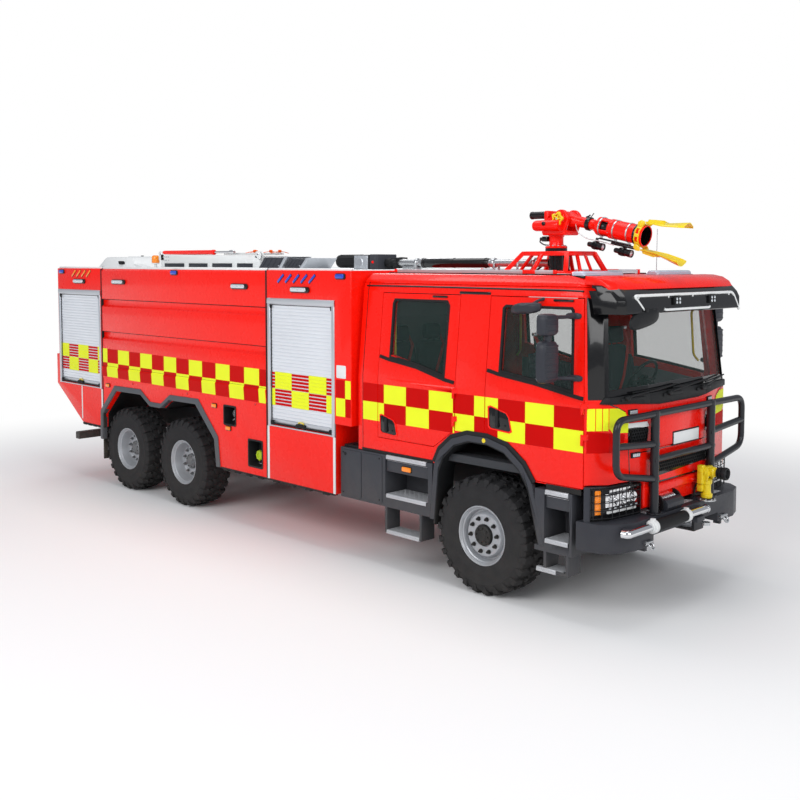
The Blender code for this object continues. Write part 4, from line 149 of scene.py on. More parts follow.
M = {
    "red": material(
        "paint_red", linear(244, 20, 4), 0.28, vary=0.05, scale=1.3, bump=0.03, bump_scale=2.0, coat=0.22,
        dust=0.16, dust_top=1.1, specular=0.2
    ),
    "dark_red": material(
        "film_dark_red", linear(196, 2, 0), 0.5, specular=0.08, vary=0.06, scale=4.0, bump=0.05,
        bump_scale=300.0, kind="cells"
    ),
    "yellow_film": material(
        "film_yellow", linear(232, 242, 40), 0.45, specular=0.15, vary=0.06, scale=4.0, bump=0.08,
        bump_scale=300.0, kind="cells"
    ),
    "anthracite": material(
        "paint_anthracite", linear(48, 50, 57), 0.42, vary=0.10, scale=4.0, bump=0.15, bump_scale=260.0,
        dust=0.22, dust_top=1.1
    ),
    "bar_black": material(
        "paint_bar_black", linear(33, 35, 40), 0.34, vary=0.10, scale=4.0, bump=0.10, bump_scale=260.0,
        dust=0.06, dust_top=1.1, coat=0.2
    ),
    "plastic": material(
        "plastic_black", linear(26, 27, 29), 0.55, vary=0.15, scale=5.0, bump=0.25, bump_scale=420.0,
        dust=0.3, dust_top=1.0
    ),
    "gloss_black": material(
        "plastic_gloss_black", linear(14, 14, 16), 0.18, vary=0.1, scale=5.0, bump=0.05, bump_scale=200.0,
        coat=0.4
    ),
    "rubber": material(
        "rubber_black", linear(30, 30, 31), 0.80, vary=0.2, scale=6.0, bump=0.35, bump_scale=300.0, dust=0.6,
        dust_top=1.3
    ),
    "tyre": material(
        "tyre_rubber", linear(40, 40, 42), 0.82, vary=0.22, scale=8.0, bump=0.4, bump_scale=180.0, dust=0.12,
        dust_top=1.3, specular=0.2
    ),
    "rim": material(
        "rim_silver", linear(176, 180, 186), 0.38, metallic=0.35, vary=0.07, scale=5.0, bump=0.1,
        bump_scale=120.0, coat=0.2, dust=0.5, dust_top=1.4
    ),
    "rim_dark": material(
        "rim_grey", linear(108, 111, 116), 0.45, metallic=0.3, vary=0.10, scale=5.0, bump=0.1,
        bump_scale=120.0, dust=0.6, dust_top=1.4
    ),
    "chassis": material(
        "paint_chassis", linear(44, 46, 50), 0.5, vary=0.2, scale=4.0, bump=0.25, bump_scale=150.0, dust=0.7,
        dust_top=1.2
    ),
    "casting": material(
        "engine_casting", linear(92, 94, 96), 0.6, metallic=0.4, vary=0.2, scale=5.0, bump=0.5,
        bump_scale=90.0
    ),
    "steel": material(
        "steel_bright", linear(196, 198, 200), 0.28, metallic=0.9, vary=0.05, scale=5.0, bump=0.08,
        bump_scale=200.0
    ),
    "chrome": material(
        "chrome", linear(225, 226, 228), 0.10, metallic=1.0, vary=0.03, scale=5.0, spread=0.04, bump=0.02,
        bump_scale=150.0
    ),
    "tread": material(
        "tread_plate", linear(196, 198, 202), 0.38, metallic=0.35, vary=0.08, scale=6.0, bump=0.2,
        bump_scale=200.0, dust=0.3, dust_top=1.2
    ),
    "shutter": slats_material("shutter_aluminium", linear(232, 236, 242)),
    "frame_silver": material(
        "frame_silver", linear(198, 202, 208), 0.32, metallic=0.6, vary=0.05, scale=4.0, bump=0.06,
        bump_scale=200.0
    ),
    "white": material(
        "paint_white", linear(224, 226, 226), 0.35, vary=0.05, scale=4.0, bump=0.08, bump_scale=200.0,
        coat=0.2
    ),
    "yellow": material(
        "paint_yellow", linear(232, 206, 34), 0.32, vary=0.06, scale=6.0, bump=0.10, bump_scale=150.0,
        coat=0.3
    ),
    "cloth": material(
        "seat_cloth", linear(48, 50, 56), 0.92, vary=0.25, scale=30.0, bump=0.6, bump_scale=700.0,
        kind="weave"
    ),
    "trim": material(
        "cab_plastic", linear(58, 60, 64), 0.6, vary=0.12, scale=6.0, bump=0.3, bump_scale=500.0, kind="cells"
    ),
    "amber": material(
        "lens_amber", linear(255, 140, 20), 0.15, vary=0.06, scale=12.0, bump=0.4, bump_scale=120.0, coat=0.8,
        kind="cells"
    ),
    "red_lens": material(
        "lens_red", linear(190, 14, 12), 0.15, vary=0.06, scale=12.0, bump=0.4, bump_scale=120.0, coat=0.8,
        kind="cells"
    ),
    "blue_lens": material(
        "lens_blue", linear(30, 70, 190), 0.12, vary=0.06, scale=12.0, bump=0.4, bump_scale=90.0, coat=0.8,
        kind="cells"
    ),
    "clear_lens": material(
        "lens_clear", linear(214, 220, 226), 0.10, metallic=0.4, vary=0.05, scale=20.0, bump=0.6,
        bump_scale=70.0, coat=0.8, kind="cells"
    ),
    "mirror": material(
        "mirror_glass", linear(214, 220, 226), 0.03, metallic=1.0, vary=0.01, scale=3.0, spread=0.01,
        bump=0.01, bump_scale=5.0
    ),
    "hose": material(
        "hose_rubber", linear(22, 22, 24), 0.6, vary=0.12, scale=20.0, bump=0.4, bump_scale=500.0
    ),
    "arch_grey": material(
        "arch_grey", linear(84, 87, 92), 0.5, vary=0.08, scale=4.0, bump=0.25, bump_scale=350.0, dust=0.35,
        dust_top=1.3
    ),
    "step_grey": material(
        "step_grey", linear(58, 60, 66), 0.5, vary=0.08, scale=4.0, bump=0.25, bump_scale=350.0, dust=0.35,
        dust_top=1.2
    ),
    "belt_red": material(
        "belt_red", linear(190, 24, 22), 0.75, vary=0.1, scale=20.0, bump=0.5, bump_scale=900.0, kind="weave"
    ),
    "lining": material(
        "cab_lining", linear(120, 124, 128), 0.75, vary=0.08, scale=10.0, bump=0.35, bump_scale=500.0,
        kind="cells"
    ),
    "bar_lens": material(
        "bar_lens", linear(186, 196, 214), 0.14, vary=0.10, scale=9.0, bump=0.5, bump_scale=60.0, coat=0.8,
        kind="cells"
    ),
    "orange": material(
        "strap_orange", linear(235, 96, 20), 0.7, vary=0.12, scale=20.0, bump=0.6, bump_scale=600.0,
        kind="weave"
    ),
    "cap": material(
        "cap_green_yellow", linear(170, 196, 30), 0.35, vary=0.06, scale=12.0, bump=0.1, bump_scale=120.0
    ),
}


def glass_material():
    """Green-tinted glass that lets the cab's inside show."""
    made = bpy.data.materials.new("glass_tinted")
    made.use_nodes = True
    tree = made.node_tree
    shader = tree.nodes["Principled BSDF"]
    shader.inputs["Base Color"].default_value = (0.030, 0.060, 0.052, 1)
    shader.inputs["Roughness"].default_value = 0.03
    shader.inputs["Alpha"].default_value = 0.20
    shader.inputs["Coat Weight"].default_value = 0.3
    place = tree.nodes.new("ShaderNodeTexCoord")
    noise = tree.nodes.new("ShaderNodeTexNoise")
    noise.inputs["Scale"].default_value = 1.6
    bump = tree.nodes.new("ShaderNodeBump")
    bump.inputs["Strength"].default_value = 0.03
    bump.inputs["Distance"].default_value = 0.002
    tree.links.new(place.outputs["Object"], noise.inputs["Vector"])
    tree.links.new(noise.outputs["Fac"], bump.inputs["Height"])
    tree.links.new(bump.outputs[0], shader.inputs["Normal"])
    return made


M["glass"] = glass_material()

CARRIED = {
    "red": ("cab_frame", "cab_front_panel", "cab_roof", "door_front_left", "door_front_right",
            "door_rear_left", "door_rear_right",
            "tank_body", "front_locker", "rear_locker", "monitor_feed"),
    "anthracite": ("front_bumper", "bull_bar", "cab_steps_left", "cab_steps_right", "monitor_stand"),
    "chassis": ("chassis_frame", "front_axle", "rear_bogie", "knuckle_left", "knuckle_right", "driveline"),
    "plastic": ("monitor_turret", "monitor_barrel", "spray_turret"),
    "casting": ("engine",),
    "trim": ("cab_floor", "dashboard"),
    "cloth": ("front_seats", "rear_bench"),
    "glass": (
        "windscreen", "door_glass_front_left", "door_glass_front_right", "door_glass_rear_left",
        "door_glass_rear_right"
    ),
    "yellow": ("monitor_jaw_upper", "monitor_jaw_lower", "spray_nozzle"),
    "white": ("roof_box", "roof_rack"),
    "shutter": (
        "shutter_front_left", "shutter_front_right", "shutter_rear_left", "shutter_rear_right", "shutter_tail"
    ),
    "tyre": tuple(f"tyre_{row}_{hand}" for row in ("front", "middle", "rear") for hand in ("left", "right")),
    "rim": tuple(f"wheel_{row}_{hand}" for row in ("front", "middle", "rear") for hand in ("left", "right")),
}
for key, names in CARRIED.items():
    for name in names:
        NODES[name].data.materials.clear()
        NODES[name].data.materials.append(M[key])


# Shapes

def on_circle(radius, step, steps):
    """Point on a circle that is cut into even steps."""
    angle = math.tau * step / steps
    return (radius * math.cos(angle), radius * math.sin(angle))


def squared(wave, angle, power):
    """Sine or cosine of an angle, squared off by a power below 1."""
    return math.copysign(abs(wave(angle)) ** power, wave(angle))


def rectangle(a0, a1, b0, b1):
    """Outline of a rectangle from a0 to a1 one way and from b0 to b1 the other."""
    return [(a0, b0), (a1, b0), (a1, b1), (a0, b1)]


def across(side, far, near):
    """Lower and higher y of a stretch that is measured outwards on one side."""
    return sorted((side * far, side * near))


def handed(side, *points):
    """Outline whose first coordinate is measured outwards on one side of the truck."""
    return [(side * a, b) for a, b in points]


class Piece:
    """Shapes in metres from the front axle, gathered into one object with one material."""

    def __init__(self, name, body, finish, slot, sharp=32):
        self.name, self.body, self.finish, self.slot, self.sharp = name, body, finish, slot, sharp
        self.bm = bmesh.new()

    def add(self, points, faces, bevel=0.0, segments=2):
        """Adds one closed shape and softens its sharp edges."""
        bm = bmesh.new()
        verts = [bm.verts.new(p) for p in points]
        for face in faces:
            corners = list(dict.fromkeys(face))
            if len(corners) > 2:
                bm.faces.new([verts[i] for i in corners])
        bmesh.ops.recalc_face_normals(bm, faces=bm.faces)
        if bevel:
            edges = [
                e for e in bm.edges if len(e.link_faces) == 2 and e.calc_face_angle(0) > math.radians(28)
            ]
            bmesh.ops.bevel(
                bm, geom=edges, offset=bevel, segments=segments, affect="EDGES", profile=0.5,
                clamp_overlap=True
            )
        if bm.calc_volume(signed=True) < 0:
            bmesh.ops.reverse_faces(bm, faces=bm.faces)
        mesh = bpy.data.meshes.new("shape")
        bm.to_mesh(mesh)
        bm.free()
        self.bm.from_mesh(mesh)
        bpy.data.meshes.remove(mesh)
        return self

    def skin(self, rings, wrap=False, bevel=0.0, closed=True, segments=2):
        """Rings of points joined in order, with end faces unless they wrap round or stay open."""
        points, faces = [p for ring in rings for p in ring], []
        starts = [sum(len(r) for r in rings[:i]) for i in range(len(rings))]
        pairs = list(zip(range(len(rings)), range(1, len(rings)))) + ([(len(rings) - 1, 0)] if wrap else [])
        for a, b in pairs:
            na, nb = len(rings[a]), len(rings[b])
            count = max(na, nb)
            for i in range(count):
                j = (i + 1) % count
                faces.append([starts[a] + i % na, starts[a] + j % na, starts[b] + j % nb, starts[b] + i % nb])
        if not wrap and closed:
            for k in (0, len(rings) - 1):
                if len(rings[k]) > 2:
                    faces.append([starts[k] + i for i in range(len(rings[k]))])
        return self.add(points, faces, bevel, segments)

    def box(self, low, high, bevel=0.0, turn=None, segments=2):
        """Box between two corners, turned by a matrix if one is given."""
        (x0, y0, z0), (x1, y1, z1) = low, high
        rings = [[(x0, y0, z), (x1, y0, z), (x1, y1, z), (x0, y1, z)] for z in (z0, z1)]
        if turn:
            rings = [[tuple(turn @ Vector(p)) for p in ring] for ring in rings]
        return self.skin(rings, bevel=bevel, segments=segments)

    def prism(self, points, axis, start, end, bevel=0.0, segments=2):
        """Outline drawn out along an axis: (y, z) along X, (x, z) along Y, (x, y) along Z."""
        rings = []
        for along in (start, end):
            ring = []
            for p in points:
                place = list(p)
                place.insert("XYZ".index(axis), along)
                ring.append(tuple(place))
            rings.append(ring)
        return self.skin(rings, bevel=bevel, segments=segments)

    def rod(self, a, b, r, sides=20, r2=None, bevel=0.0):
        """Rod from a to b, whose radius runs from r to r2 if that is given."""
        a, b = Vector(a), Vector(b)
        turn = (b - a).to_track_quat("Z", "Y")
        rings = [[tuple(c + turn @ Vector((*on_circle(s, i, sides), 0)))
                  for i in range(sides)] for c, s in ((a, r), (b, r if r2 is None else r2))]
        return self.skin(rings, bevel=bevel)

    def turned(self, profile, centre, axis="Y", steps=48, start=0.0):
        """Solid turned about an axis from (along, radius) points."""
        rings, spin = [], "XYZ".index(axis)
        for along, radius in profile:
            ring = []
            for i in range(steps if radius > 1e-6 else 1):
                angle = start + math.tau * i / steps
                p = [radius * math.cos(angle), radius * math.sin(angle)]
                p.insert(spin, along)
                ring.append(tuple(Vector(centre) + Vector(p)))
            rings.append(ring)
        return self.skin(rings, wrap=profile[0][1] > 1e-6)

    def tube(self, points, r, sides=12, bend=0.0, steps=5, loop=False):
        """Round tube along points, its corners rounded by bend."""
        points = [Vector(p) for p in points]
        if bend:
            path = [points[0]]
            for p, q, s in zip(points, points[1:], points[2:]):
                u, w = (p - q).normalized(), (s - q).normalized()
                reach = min(bend, (p - q).length / 2.01, (s - q).length / 2.01)
                for i in range(steps + 1):
                    t = i / steps
                    path.append(q + u * reach * (1 - t) ** 2 + w * reach * t ** 2)
            path.append(points[-1])
            points = path
        if loop:
            points = points + points[:2]
        turn = (points[1] - points[0]).to_track_quat("Z", "Y")
        ring = [points[0] + turn @ Vector((*on_circle(r, i, sides), 0))
                for i in range(sides)]
        rings = [ring]
        for before, here, after in zip(points, points[1:], points[2:] + [None]):
            way = (here - before).normalized()
            normal = way if after is None else (way + (after - here).normalized()).normalized()
            ring = [q + way * ((here - q).dot(normal) / way.dot(normal)) for q in ring]
            rings.append(ring)
        if loop:
            rings = rings[1:-1]
        return self.skin([[tuple(q) for q in g] for g in rings], wrap=loop)

    def done(self, *nodes, subdivide=0):
        """Makes the object, gives it its finish and lets it ride on its body."""
        mesh = bpy.data.meshes.new(self.name)
        self.bm.to_mesh(mesh)
        self.bm.free()
        mesh.transform(Matrix.Translation((FRONT_AXLE, 0, 0)))
        obj = bpy.data.objects.new(self.name, mesh)
        bpy.context.scene.collection.objects.link(obj)
        mesh.materials.append(M[self.finish])
        mesh.shade_smooth()
        mesh.set_sharp_from_angle(angle=math.radians(self.sharp))
        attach(obj, self.body)
        if nodes:
            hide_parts(*nodes)
        return obj


# Wheels and tyres

TYRE_RADIUS, TYRE_Y = 0.59, 1.03
# Half section of the tyre: distance from its middle, and radius.
TYRE_SECTION = ((0.150, 0.2996), (0.174, 0.2996), (0.183, 0.3045), (0.190, 0.330), (0.1975, 0.365),
                (0.1990, 0.372), (0.1990, 0.380),
                (
                    0.1975, 0.387
                ), (0.1985, 0.430), (0.1960, 0.470), (0.1975, 0.474), (0.1975, 0.482), (0.1950, 0.486),
                (0.190, 0.515), (0.183, 0.538), (0.170, 0.552), (0.120, 0.560), (0.060, 0.564))
LUG_COUNT = 26
# Where the tread starts to fall away towards the shoulder, and by how much.
SHOULDER_START, SHOULDER_DROP = 0.150, 0.42


def on_tyre(angle, y, radius):
    """Point on the tyre at an angle, a distance from its middle and a radius."""
    return (radius * math.cos(angle), y, TYRE_RADIUS + radius * math.sin(angle))


def lug(piece, angle, plan, top, foot):
    """One tread block from its plan in (turn, y) points, with sides that spread towards its foot."""
    turn_middle = sum(t for t, _ in plan) / len(plan)
    y_middle = sum(y for _, y in plan) / len(plan)
    rings = []
    for share, radius in ((1.12, foot), (1.0, top - 0.004), (0.94, top)):
        ring = []
        for t, plan_y in plan:
            turn = turn_middle + (t - turn_middle) * share
            y = y_middle + (plan_y - y_middle) * share
            edge = max(0.0, abs(y) - SHOULDER_START)
            ring.append(on_tyre(angle + turn, y, radius - edge * SHOULDER_DROP))
        rings.append(ring)
    piece.skin(rings)


def build_tyre(name, body):
    """Lugged tyre: carcass, two rows of stepped blocks, a centre zigzag and shoulder bars."""
    piece = Piece(name, body, "tyre", "tyre", sharp=28)
    profile = [(-y, r) for y, r in TYRE_SECTION] + [(y, r) for y, r in reversed(TYRE_SECTION)]
    piece.turned(profile, (0, 0, TYRE_RADIUS), "Y", 88)
    pitch = math.tau / LUG_COUNT
    for k in range(LUG_COUNT):
        for side in SIDES:
            at = pitch * (k + (0.5 if side > 0 else 0.0))
            s = side
            outer = [(-0.30 * pitch, s * 0.090), (-0.16 * pitch, s * 0.125), (-0.24 * pitch, s * 0.150),
                     (-0.24 * pitch, s * 0.190),
                     (
                         0.20 * pitch, s * 0.190
                     ), (0.20 * pitch, s * 0.140), (0.30 * pitch, s * 0.118), (0.16 * pitch, s * 0.086)]
            lug(piece, at, outer, 0.589, 0.556)
            inner = [(-0.40 * pitch, s * 0.018), (-0.30 * pitch, s * 0.062), (-0.06 * pitch, s * 0.074),
                     (0.10 * pitch, s * 0.070),
                     (0.06 * pitch, s * 0.030), (-0.12 * pitch, s * 0.010)]
            lug(piece, at + 0.30 * pitch, inner, 0.590, 0.560)
            # bar that runs from each shoulder block down the sidewall
            bar = []
            for across, radius, half in (
                (0.186, 0.560, 0.20), (0.1965, 0.540, 0.17), (0.1990, 0.515, 0.14), (0.1985, 0.500, 0.10)
            ):
                depth = 0.016
                bar.append([on_tyre(at - half * pitch, s * across, radius),
                            on_tyre(at + half * pitch, s * across, radius),
                            on_tyre(
                                at + half * pitch, s * (across - depth), radius
                            ), on_tyre(at - half * pitch, s * (across - depth), radius)])
            piece.skin(bar)
    return piece


def build_rim(name, body, front):
    """Disc wheel in its tyre: outset disc at the front, deep dish at the rear."""
    piece = Piece(name, body, "rim", "rim", sharp=34)
    disc = 0.135 if front else 0.030
    outer = [
        (0.168, 0.2985), (0.1745, 0.2985), (0.1785, 0.2950), (0.1785, 0.2890), (0.174, 0.2840),
        (0.156, 0.2790), (0.146, 0.2700), (0.140, 0.2600), (0.118, 0.2530)
    ]
    if front:
        face = [
            (0.086, 0.2470), (0.086, 0.2350), (0.124, 0.2180), (0.136, 0.2060), (0.136, 0.1120),
            (0.120, 0.1080), (0.118, 0.0)
        ]
    else:
        face = [
            (0.060, 0.2380), (0.030, 0.2300), (0.012, 0.2160), (0.020, 0.2010), (0.031, 0.1900),
            (0.031, 0.1000), (0.020, 0.0950), (0.020, 0.0)
        ]
    back = [(-0.04, 0.0), (-0.04, 0.120), (disc - 0.035, 0.200), (disc - 0.040, 0.236), (-0.100, 0.240),
            (-0.160, 0.262),
            (-0.170, 0.284), (
                -0.175, 0.2985
            ), (-0.165, 0.2960), (-0.150, 0.2580), (0.110, 0.2560), (0.158, 0.2760)]
    profile = [(y, r) for y, r in reversed(face)] + [(y, r) for y, r in reversed(outer)]
    profile = profile + list(reversed(back[1:])) + [back[0]]
    piece.turned([(y, r) for y, r in profile], (0, 0, TYRE_RADIUS), "Y", 72)
    return piece, disc


# Front and rear wheels, from the wheel's middle: faces of the disc and the hub's flange, end of its cap.
WHEEL_FACES = {True: (0.136, 0.118, 0.180), False: (0.031, 0.020, 0.080)}
NUT_CIRCLE, NUT_COUNT = 0.1675, 10
HUB_BOLT_CIRCLE, HUB_BOLT_COUNT = 0.074, 8
# Rod stages of a wheel nut: start and end from the disc's face, radius, sides and bevel.
NUT_STAGES = (
    (-0.004, 0.006, 0.022, 18, 0.0), (0.005, 0.030, 0.0165, 6, 0.002), (0.028, 0.040, 0.0105, 12, 0.002)
)


def wheel_fittings(name, body, front):
    """Nuts, hub and hub cap of one wheel."""
    disc, hub, end = WHEEL_FACES[front]
    dark = Piece(name, body, "plastic" if front else "rim_dark", "rim", sharp=30)
    for k in range(NUT_COUNT):
        x, up = on_circle(NUT_CIRCLE, k + 0.5, NUT_COUNT)
        z = TYRE_RADIUS + up
        for start, stop, radius, sides, bevel in NUT_STAGES:
            dark.rod((x, disc + start, z), (x, disc + stop, z), radius, sides, bevel=bevel)
    cap = [(end - 0.002, 0.0), (end - 0.002, 0.030), (end, 0.034), (end, 0.050), (end - 0.008, 0.060),
           (end - 0.010, 0.088), (end - 0.020, 0.100), (hub - 0.004, 0.104), (hub - 0.004, 0.0)]
    dark.turned(cap, (0, 0, TYRE_RADIUS), "Y", 40)
    for k in range(HUB_BOLT_COUNT):
        x, up = on_circle(HUB_BOLT_CIRCLE, k, HUB_BOLT_COUNT)
        z = TYRE_RADIUS + up
        dark.rod((x, end - 0.014, z), (x, end + 0.003, z), 0.0095, 6, bevel=0.0015)
    return dark


WHEEL_PLACES = (("front", 0.0), ("middle", -5.25), ("rear", -6.67))
for row, x in WHEEL_PLACES:
    for side in SIDES:
        hand = HANDS[side]
        body = f"{row}_wheel_{hand}"
        parts = [
            (build_tyre(f"tyre_dressed_{row}_{hand}", body), (f"tyre_{row}_{hand}",)),
            (build_rim(f"rim_dressed_{row}_{hand}", body, row == "front")[0], (f"wheel_{row}_{hand}",)),
            (wheel_fittings(f"nuts_{row}_{hand}", body, row == "front"), ()),
        ]
        for piece, nodes in parts:
            turn = 0.37 * len(row) + side
            hub = Matrix.Translation((0, 0, TYRE_RADIUS))
            spin = hub @ Matrix.Rotation(turn, 4, "Y") @ hub.inverted()
            bmesh.ops.transform(piece.bm, matrix=spin, verts=piece.bm.verts)
            if side < 0:
                bmesh.ops.scale(piece.bm, vec=(1, -1, 1), verts=piece.bm.verts)
                bmesh.ops.reverse_faces(piece.bm, faces=piece.bm.faces)
            bmesh.ops.translate(piece.bm, vec=(x, side * TYRE_Y, 0), verts=piece.bm.verts)
            piece.done(*nodes)


# Cab: skin

CAB_LEVELS = ((0.9, 0.0, 0.0), (2.045, 0.0, 0.0), (2.975, 1.0, 1.0), (3.09, 1.35, 1.8), (3.15, 2.3, 4.0))
CAB_LEAN, CAB_HALF, CAB_CORNER, CAB_NOSE = 0.09, 1.22, 1.205, 1.43
SHOULDER_SHARE, SHOULDER_HALF_SHARE, NOSE_HALF_SHARE = 0.64, 0.86, 0.42


def cab_plan(z, out=0.0):
    """Corner, shoulder and nose of the cab's plan at a height, as (x, half width)."""
    for (z0, a0, b0), (z1, a1, b1) in zip(CAB_LEVELS, CAB_LEVELS[1:]):
        if z <= z1:
            break
    t = min(1.0, max(0.0, (z - z0) / (z1 - z0)))
    inwards, backwards = a0 + t * (a1 - a0), b0 + t * (b1 - b0)
    half = CAB_HALF - CAB_LEAN * inwards + out
    corner = CAB_CORNER - CAB_LEAN * backwards + out
    nose = CAB_NOSE - CAB_LEAN * backwards + out
    return (corner, half), (
        corner + SHOULDER_SHARE * (nose - corner), half * SHOULDER_HALF_SHARE
    ), (nose, half * NOSE_HALF_SHARE)


def cab_front(y, z, out=0.0):
    """Place on the front of the cab that lies straight ahead of y."""
    corner, shoulder, nose = cab_plan(z, out)
    for (x0, y0), (x1, y1) in ((nose, shoulder), (shoulder, corner)):
        if abs(y) <= y1 + 1e-9 and abs(y) >= y0:
            return (x0 + (x1 - x0) * (abs(y) - y0) / (y1 - y0), y, z)
    return (nose[0] if abs(y) < nose[1] else corner[0], y, z)


def clipped(points, low, high):
    """The part of an outline whose first coordinate lies between low and high."""
    for limit, sign in ((low, 1), (high, -1)):
        kept = []
        for p, q in zip(points, points[1:] + points[:1]):
            a, b = sign * (p[0] - limit), sign * (q[0] - limit)
            if a >= 0:
                kept.append(p)
            if a * b < 0:
                t = a / (a - b)
                kept.append(tuple(u + (v - u) * t for u, v in zip(p, q)))
        points = kept
        if len(points) < 3:
            return []
    return points


def on_front(piece, points, out=0.002, depth=0.010, bevel=0.0):
    """Panel on the cab's front from its outline in (y, z), bent where the front bends."""
    _, shoulder, nose = cab_plan(sum(z for _, z in points) / len(points))
    bends = (-2.0, -shoulder[1], -nose[1], nose[1], shoulder[1], 2.0)
    for low, high in zip(bends, bends[1:]):
        part = clipped([tuple(p) for p in points], low, high)
        if part:
            piece.skin(
                [[cab_front(y, z, out) for y, z in part], [cab_front(y, z, out - depth) for y, z in part]],
                bevel=bevel
            )


def on_side(piece, points, side, surface, out=0.002, depth=0.006, bevel=0.0):
    """Panel on a flat side from its outline in (x, z)."""
    return piece.prism(points, "Y", side * (surface + out), side * (surface + out - depth), bevel=bevel)


def band(*points, width):
    """Outline of a band of even width along (a, b) points."""
    left, right = [], []
    for i, p in enumerate(points):
        before, after = points[max(0, i - 1)], points[min(len(points) - 1, i + 1)]
        way = Vector((after[0] - before[0], after[1] - before[1])).normalized()
        left.append((p[0] - way.y * width / 2, p[1] + way.x * width / 2))
        right.append((p[0] + way.y * width / 2, p[1] - way.x * width / 2))
    return left + right[::-1]


def softened(name, body, finish, slot, *nodes, bevel=0.006, segments=2, sharp=34, drop=None):
    """The CAD solid with its edges rounded, as a finished skin of the same size."""
    piece = Piece(name, body, finish, slot, sharp=40)
    for node in nodes:
        source = NODES[node]
        bm = bmesh.new()
        bm.from_mesh(source.data)
        bmesh.ops.transform(
            bm, matrix=Matrix.Translation((-FRONT_AXLE, 0, 0)) @ source.matrix_world, verts=bm.verts
        )
        bmesh.ops.remove_doubles(bm, verts=bm.verts, dist=1e-5)
        if drop:
            bmesh.ops.delete(bm, geom=[v for v in bm.verts if drop(v.co)], context="VERTS")
        edges = [
            e
            for e in bm.edges if len(
                e.link_faces
            ) == 2 and e.calc_face_angle(0) > math.radians(sharp) and e.calc_length() > 2.2 * bevel
        ]
        bmesh.ops.bevel(
            bm, geom=edges, offset=bevel, segments=segments, affect="EDGES", profile=0.6, clamp_overlap=True
        )
        mesh = bpy.data.meshes.new("shape")
        bm.to_mesh(mesh)
        bm.free()
        piece.bm.from_mesh(mesh)
        bpy.data.meshes.remove(mesh)
    return piece


softened("cab_shell", "chassis", "red", "red_paint", "cab_frame", bevel=0.010).done("cab_frame")
softened(
    "cab_nose_panel", "chassis", "red", "red_paint", "cab_front_panel", bevel=0.010
).done("cab_front_panel")
for side in SIDES:
    for row in ("front", "rear"):
        hand = HANDS[side]
        softened(f"door_skin_{row}_{hand}", f"{row}_door_{hand}", "red", "red_paint", f"door_{row}_{hand}",
                 bevel=0.005,
                 drop=lambda p: abs(p.y) > 1.262 and p.z > 2.1).done(f"door_{row}_{hand}")

# Cab: check band, handles, window trim

BAND_TOP, BAND_MIDDLE, BAND_FOOT = 1.97, 1.77, 1.57
CAB_CELLS = (-1.69, -1.36, -1.03, -0.70, -0.37, -0.09, 0.21, 0.54, 0.87, 1.198)
# What carries each stretch of the cab's band, from where to where along the side.
CAB_SPANS = (
    ("chassis", -1.69, -1.4585), ("rear", -1.449, -0.352), ("chassis", -0.3415, 0.0415),
    ("front", 0.052, 1.193)
)
# Upper edge of the front wheel arch, which the band stops above by ARCH_CLEAR.
FRONT_ARCH_EDGE = ((-0.67, 0.65), (-0.612, 1.22), (-0.54, 1.37), (-0.38, 1.51), (-0.177, 1.575),
                   (0.084, 1.575),
                   (0.316, 1.52), (0.519, 1.37), (0.635, 1.20), (0.78, 0.65))
ARCH_CLEAR, LEAST_CELL = 0.022, 0.003
FILM_OUT, FILM_DEPTH = 0.0016, 0.004


def arch_top(x):
    """Height of the front wheel arch's outer edge at x, for what must stop above it."""
    for (x0, z0), (x1, z1) in zip(FRONT_ARCH_EDGE, FRONT_ARCH_EDGE[1:]):
        if x0 <= x <= x1:
            return z0 + (z1 - z0) * (x - x0) / (x1 - x0)
    return 0.0


def band_cell(piece, side, surface, x0, x1, z0, z1, out=FILM_OUT):
    """One cell of a check band, left out where it is too narrow to see."""
    if x1 - x0 > LEAST_CELL:
        on_side(piece, rectangle(x0, x1, z0, z1), side, surface, out=out, depth=FILM_DEPTH)


for side in SIDES:
    hand = HANDS[side]
    for carrier, low, high in CAB_SPANS:
        body = "chassis" if carrier == "chassis" else f"{carrier}_door_{hand}"
        for finish in ("yellow_film", "dark_red"):
            slot = "yellow_paint" if finish == "yellow_film" else "red_paint"
            piece = Piece(f"band_{finish}_{carrier}_{hand}_{int(low * -100)}", body, finish, slot)
            for k, (x0, x1) in enumerate(zip(CAB_CELLS, CAB_CELLS[1:])):
                for row, (z0, z1) in enumerate(((BAND_MIDDLE, BAND_TOP), (BAND_FOOT, BAND_MIDDLE))):
                    yellow = (k + row) % 2 == 1
                    if yellow == (finish == "yellow_film"):
                        foot = z0
                        if row == 1:
                            ends = (arch_top(max(x0, low)), arch_top(min(x1, high)))
                            foot = max(z0, max(ends) + ARCH_CLEAR) if x0 < 0.35 else z0
                        band_cell(
                            piece, side, CAB_HALF, max(x0, low), min(x1, high), min(foot, z1 - 0.01), z1
                        )
            if len(piece.bm.verts):
                piece.done()

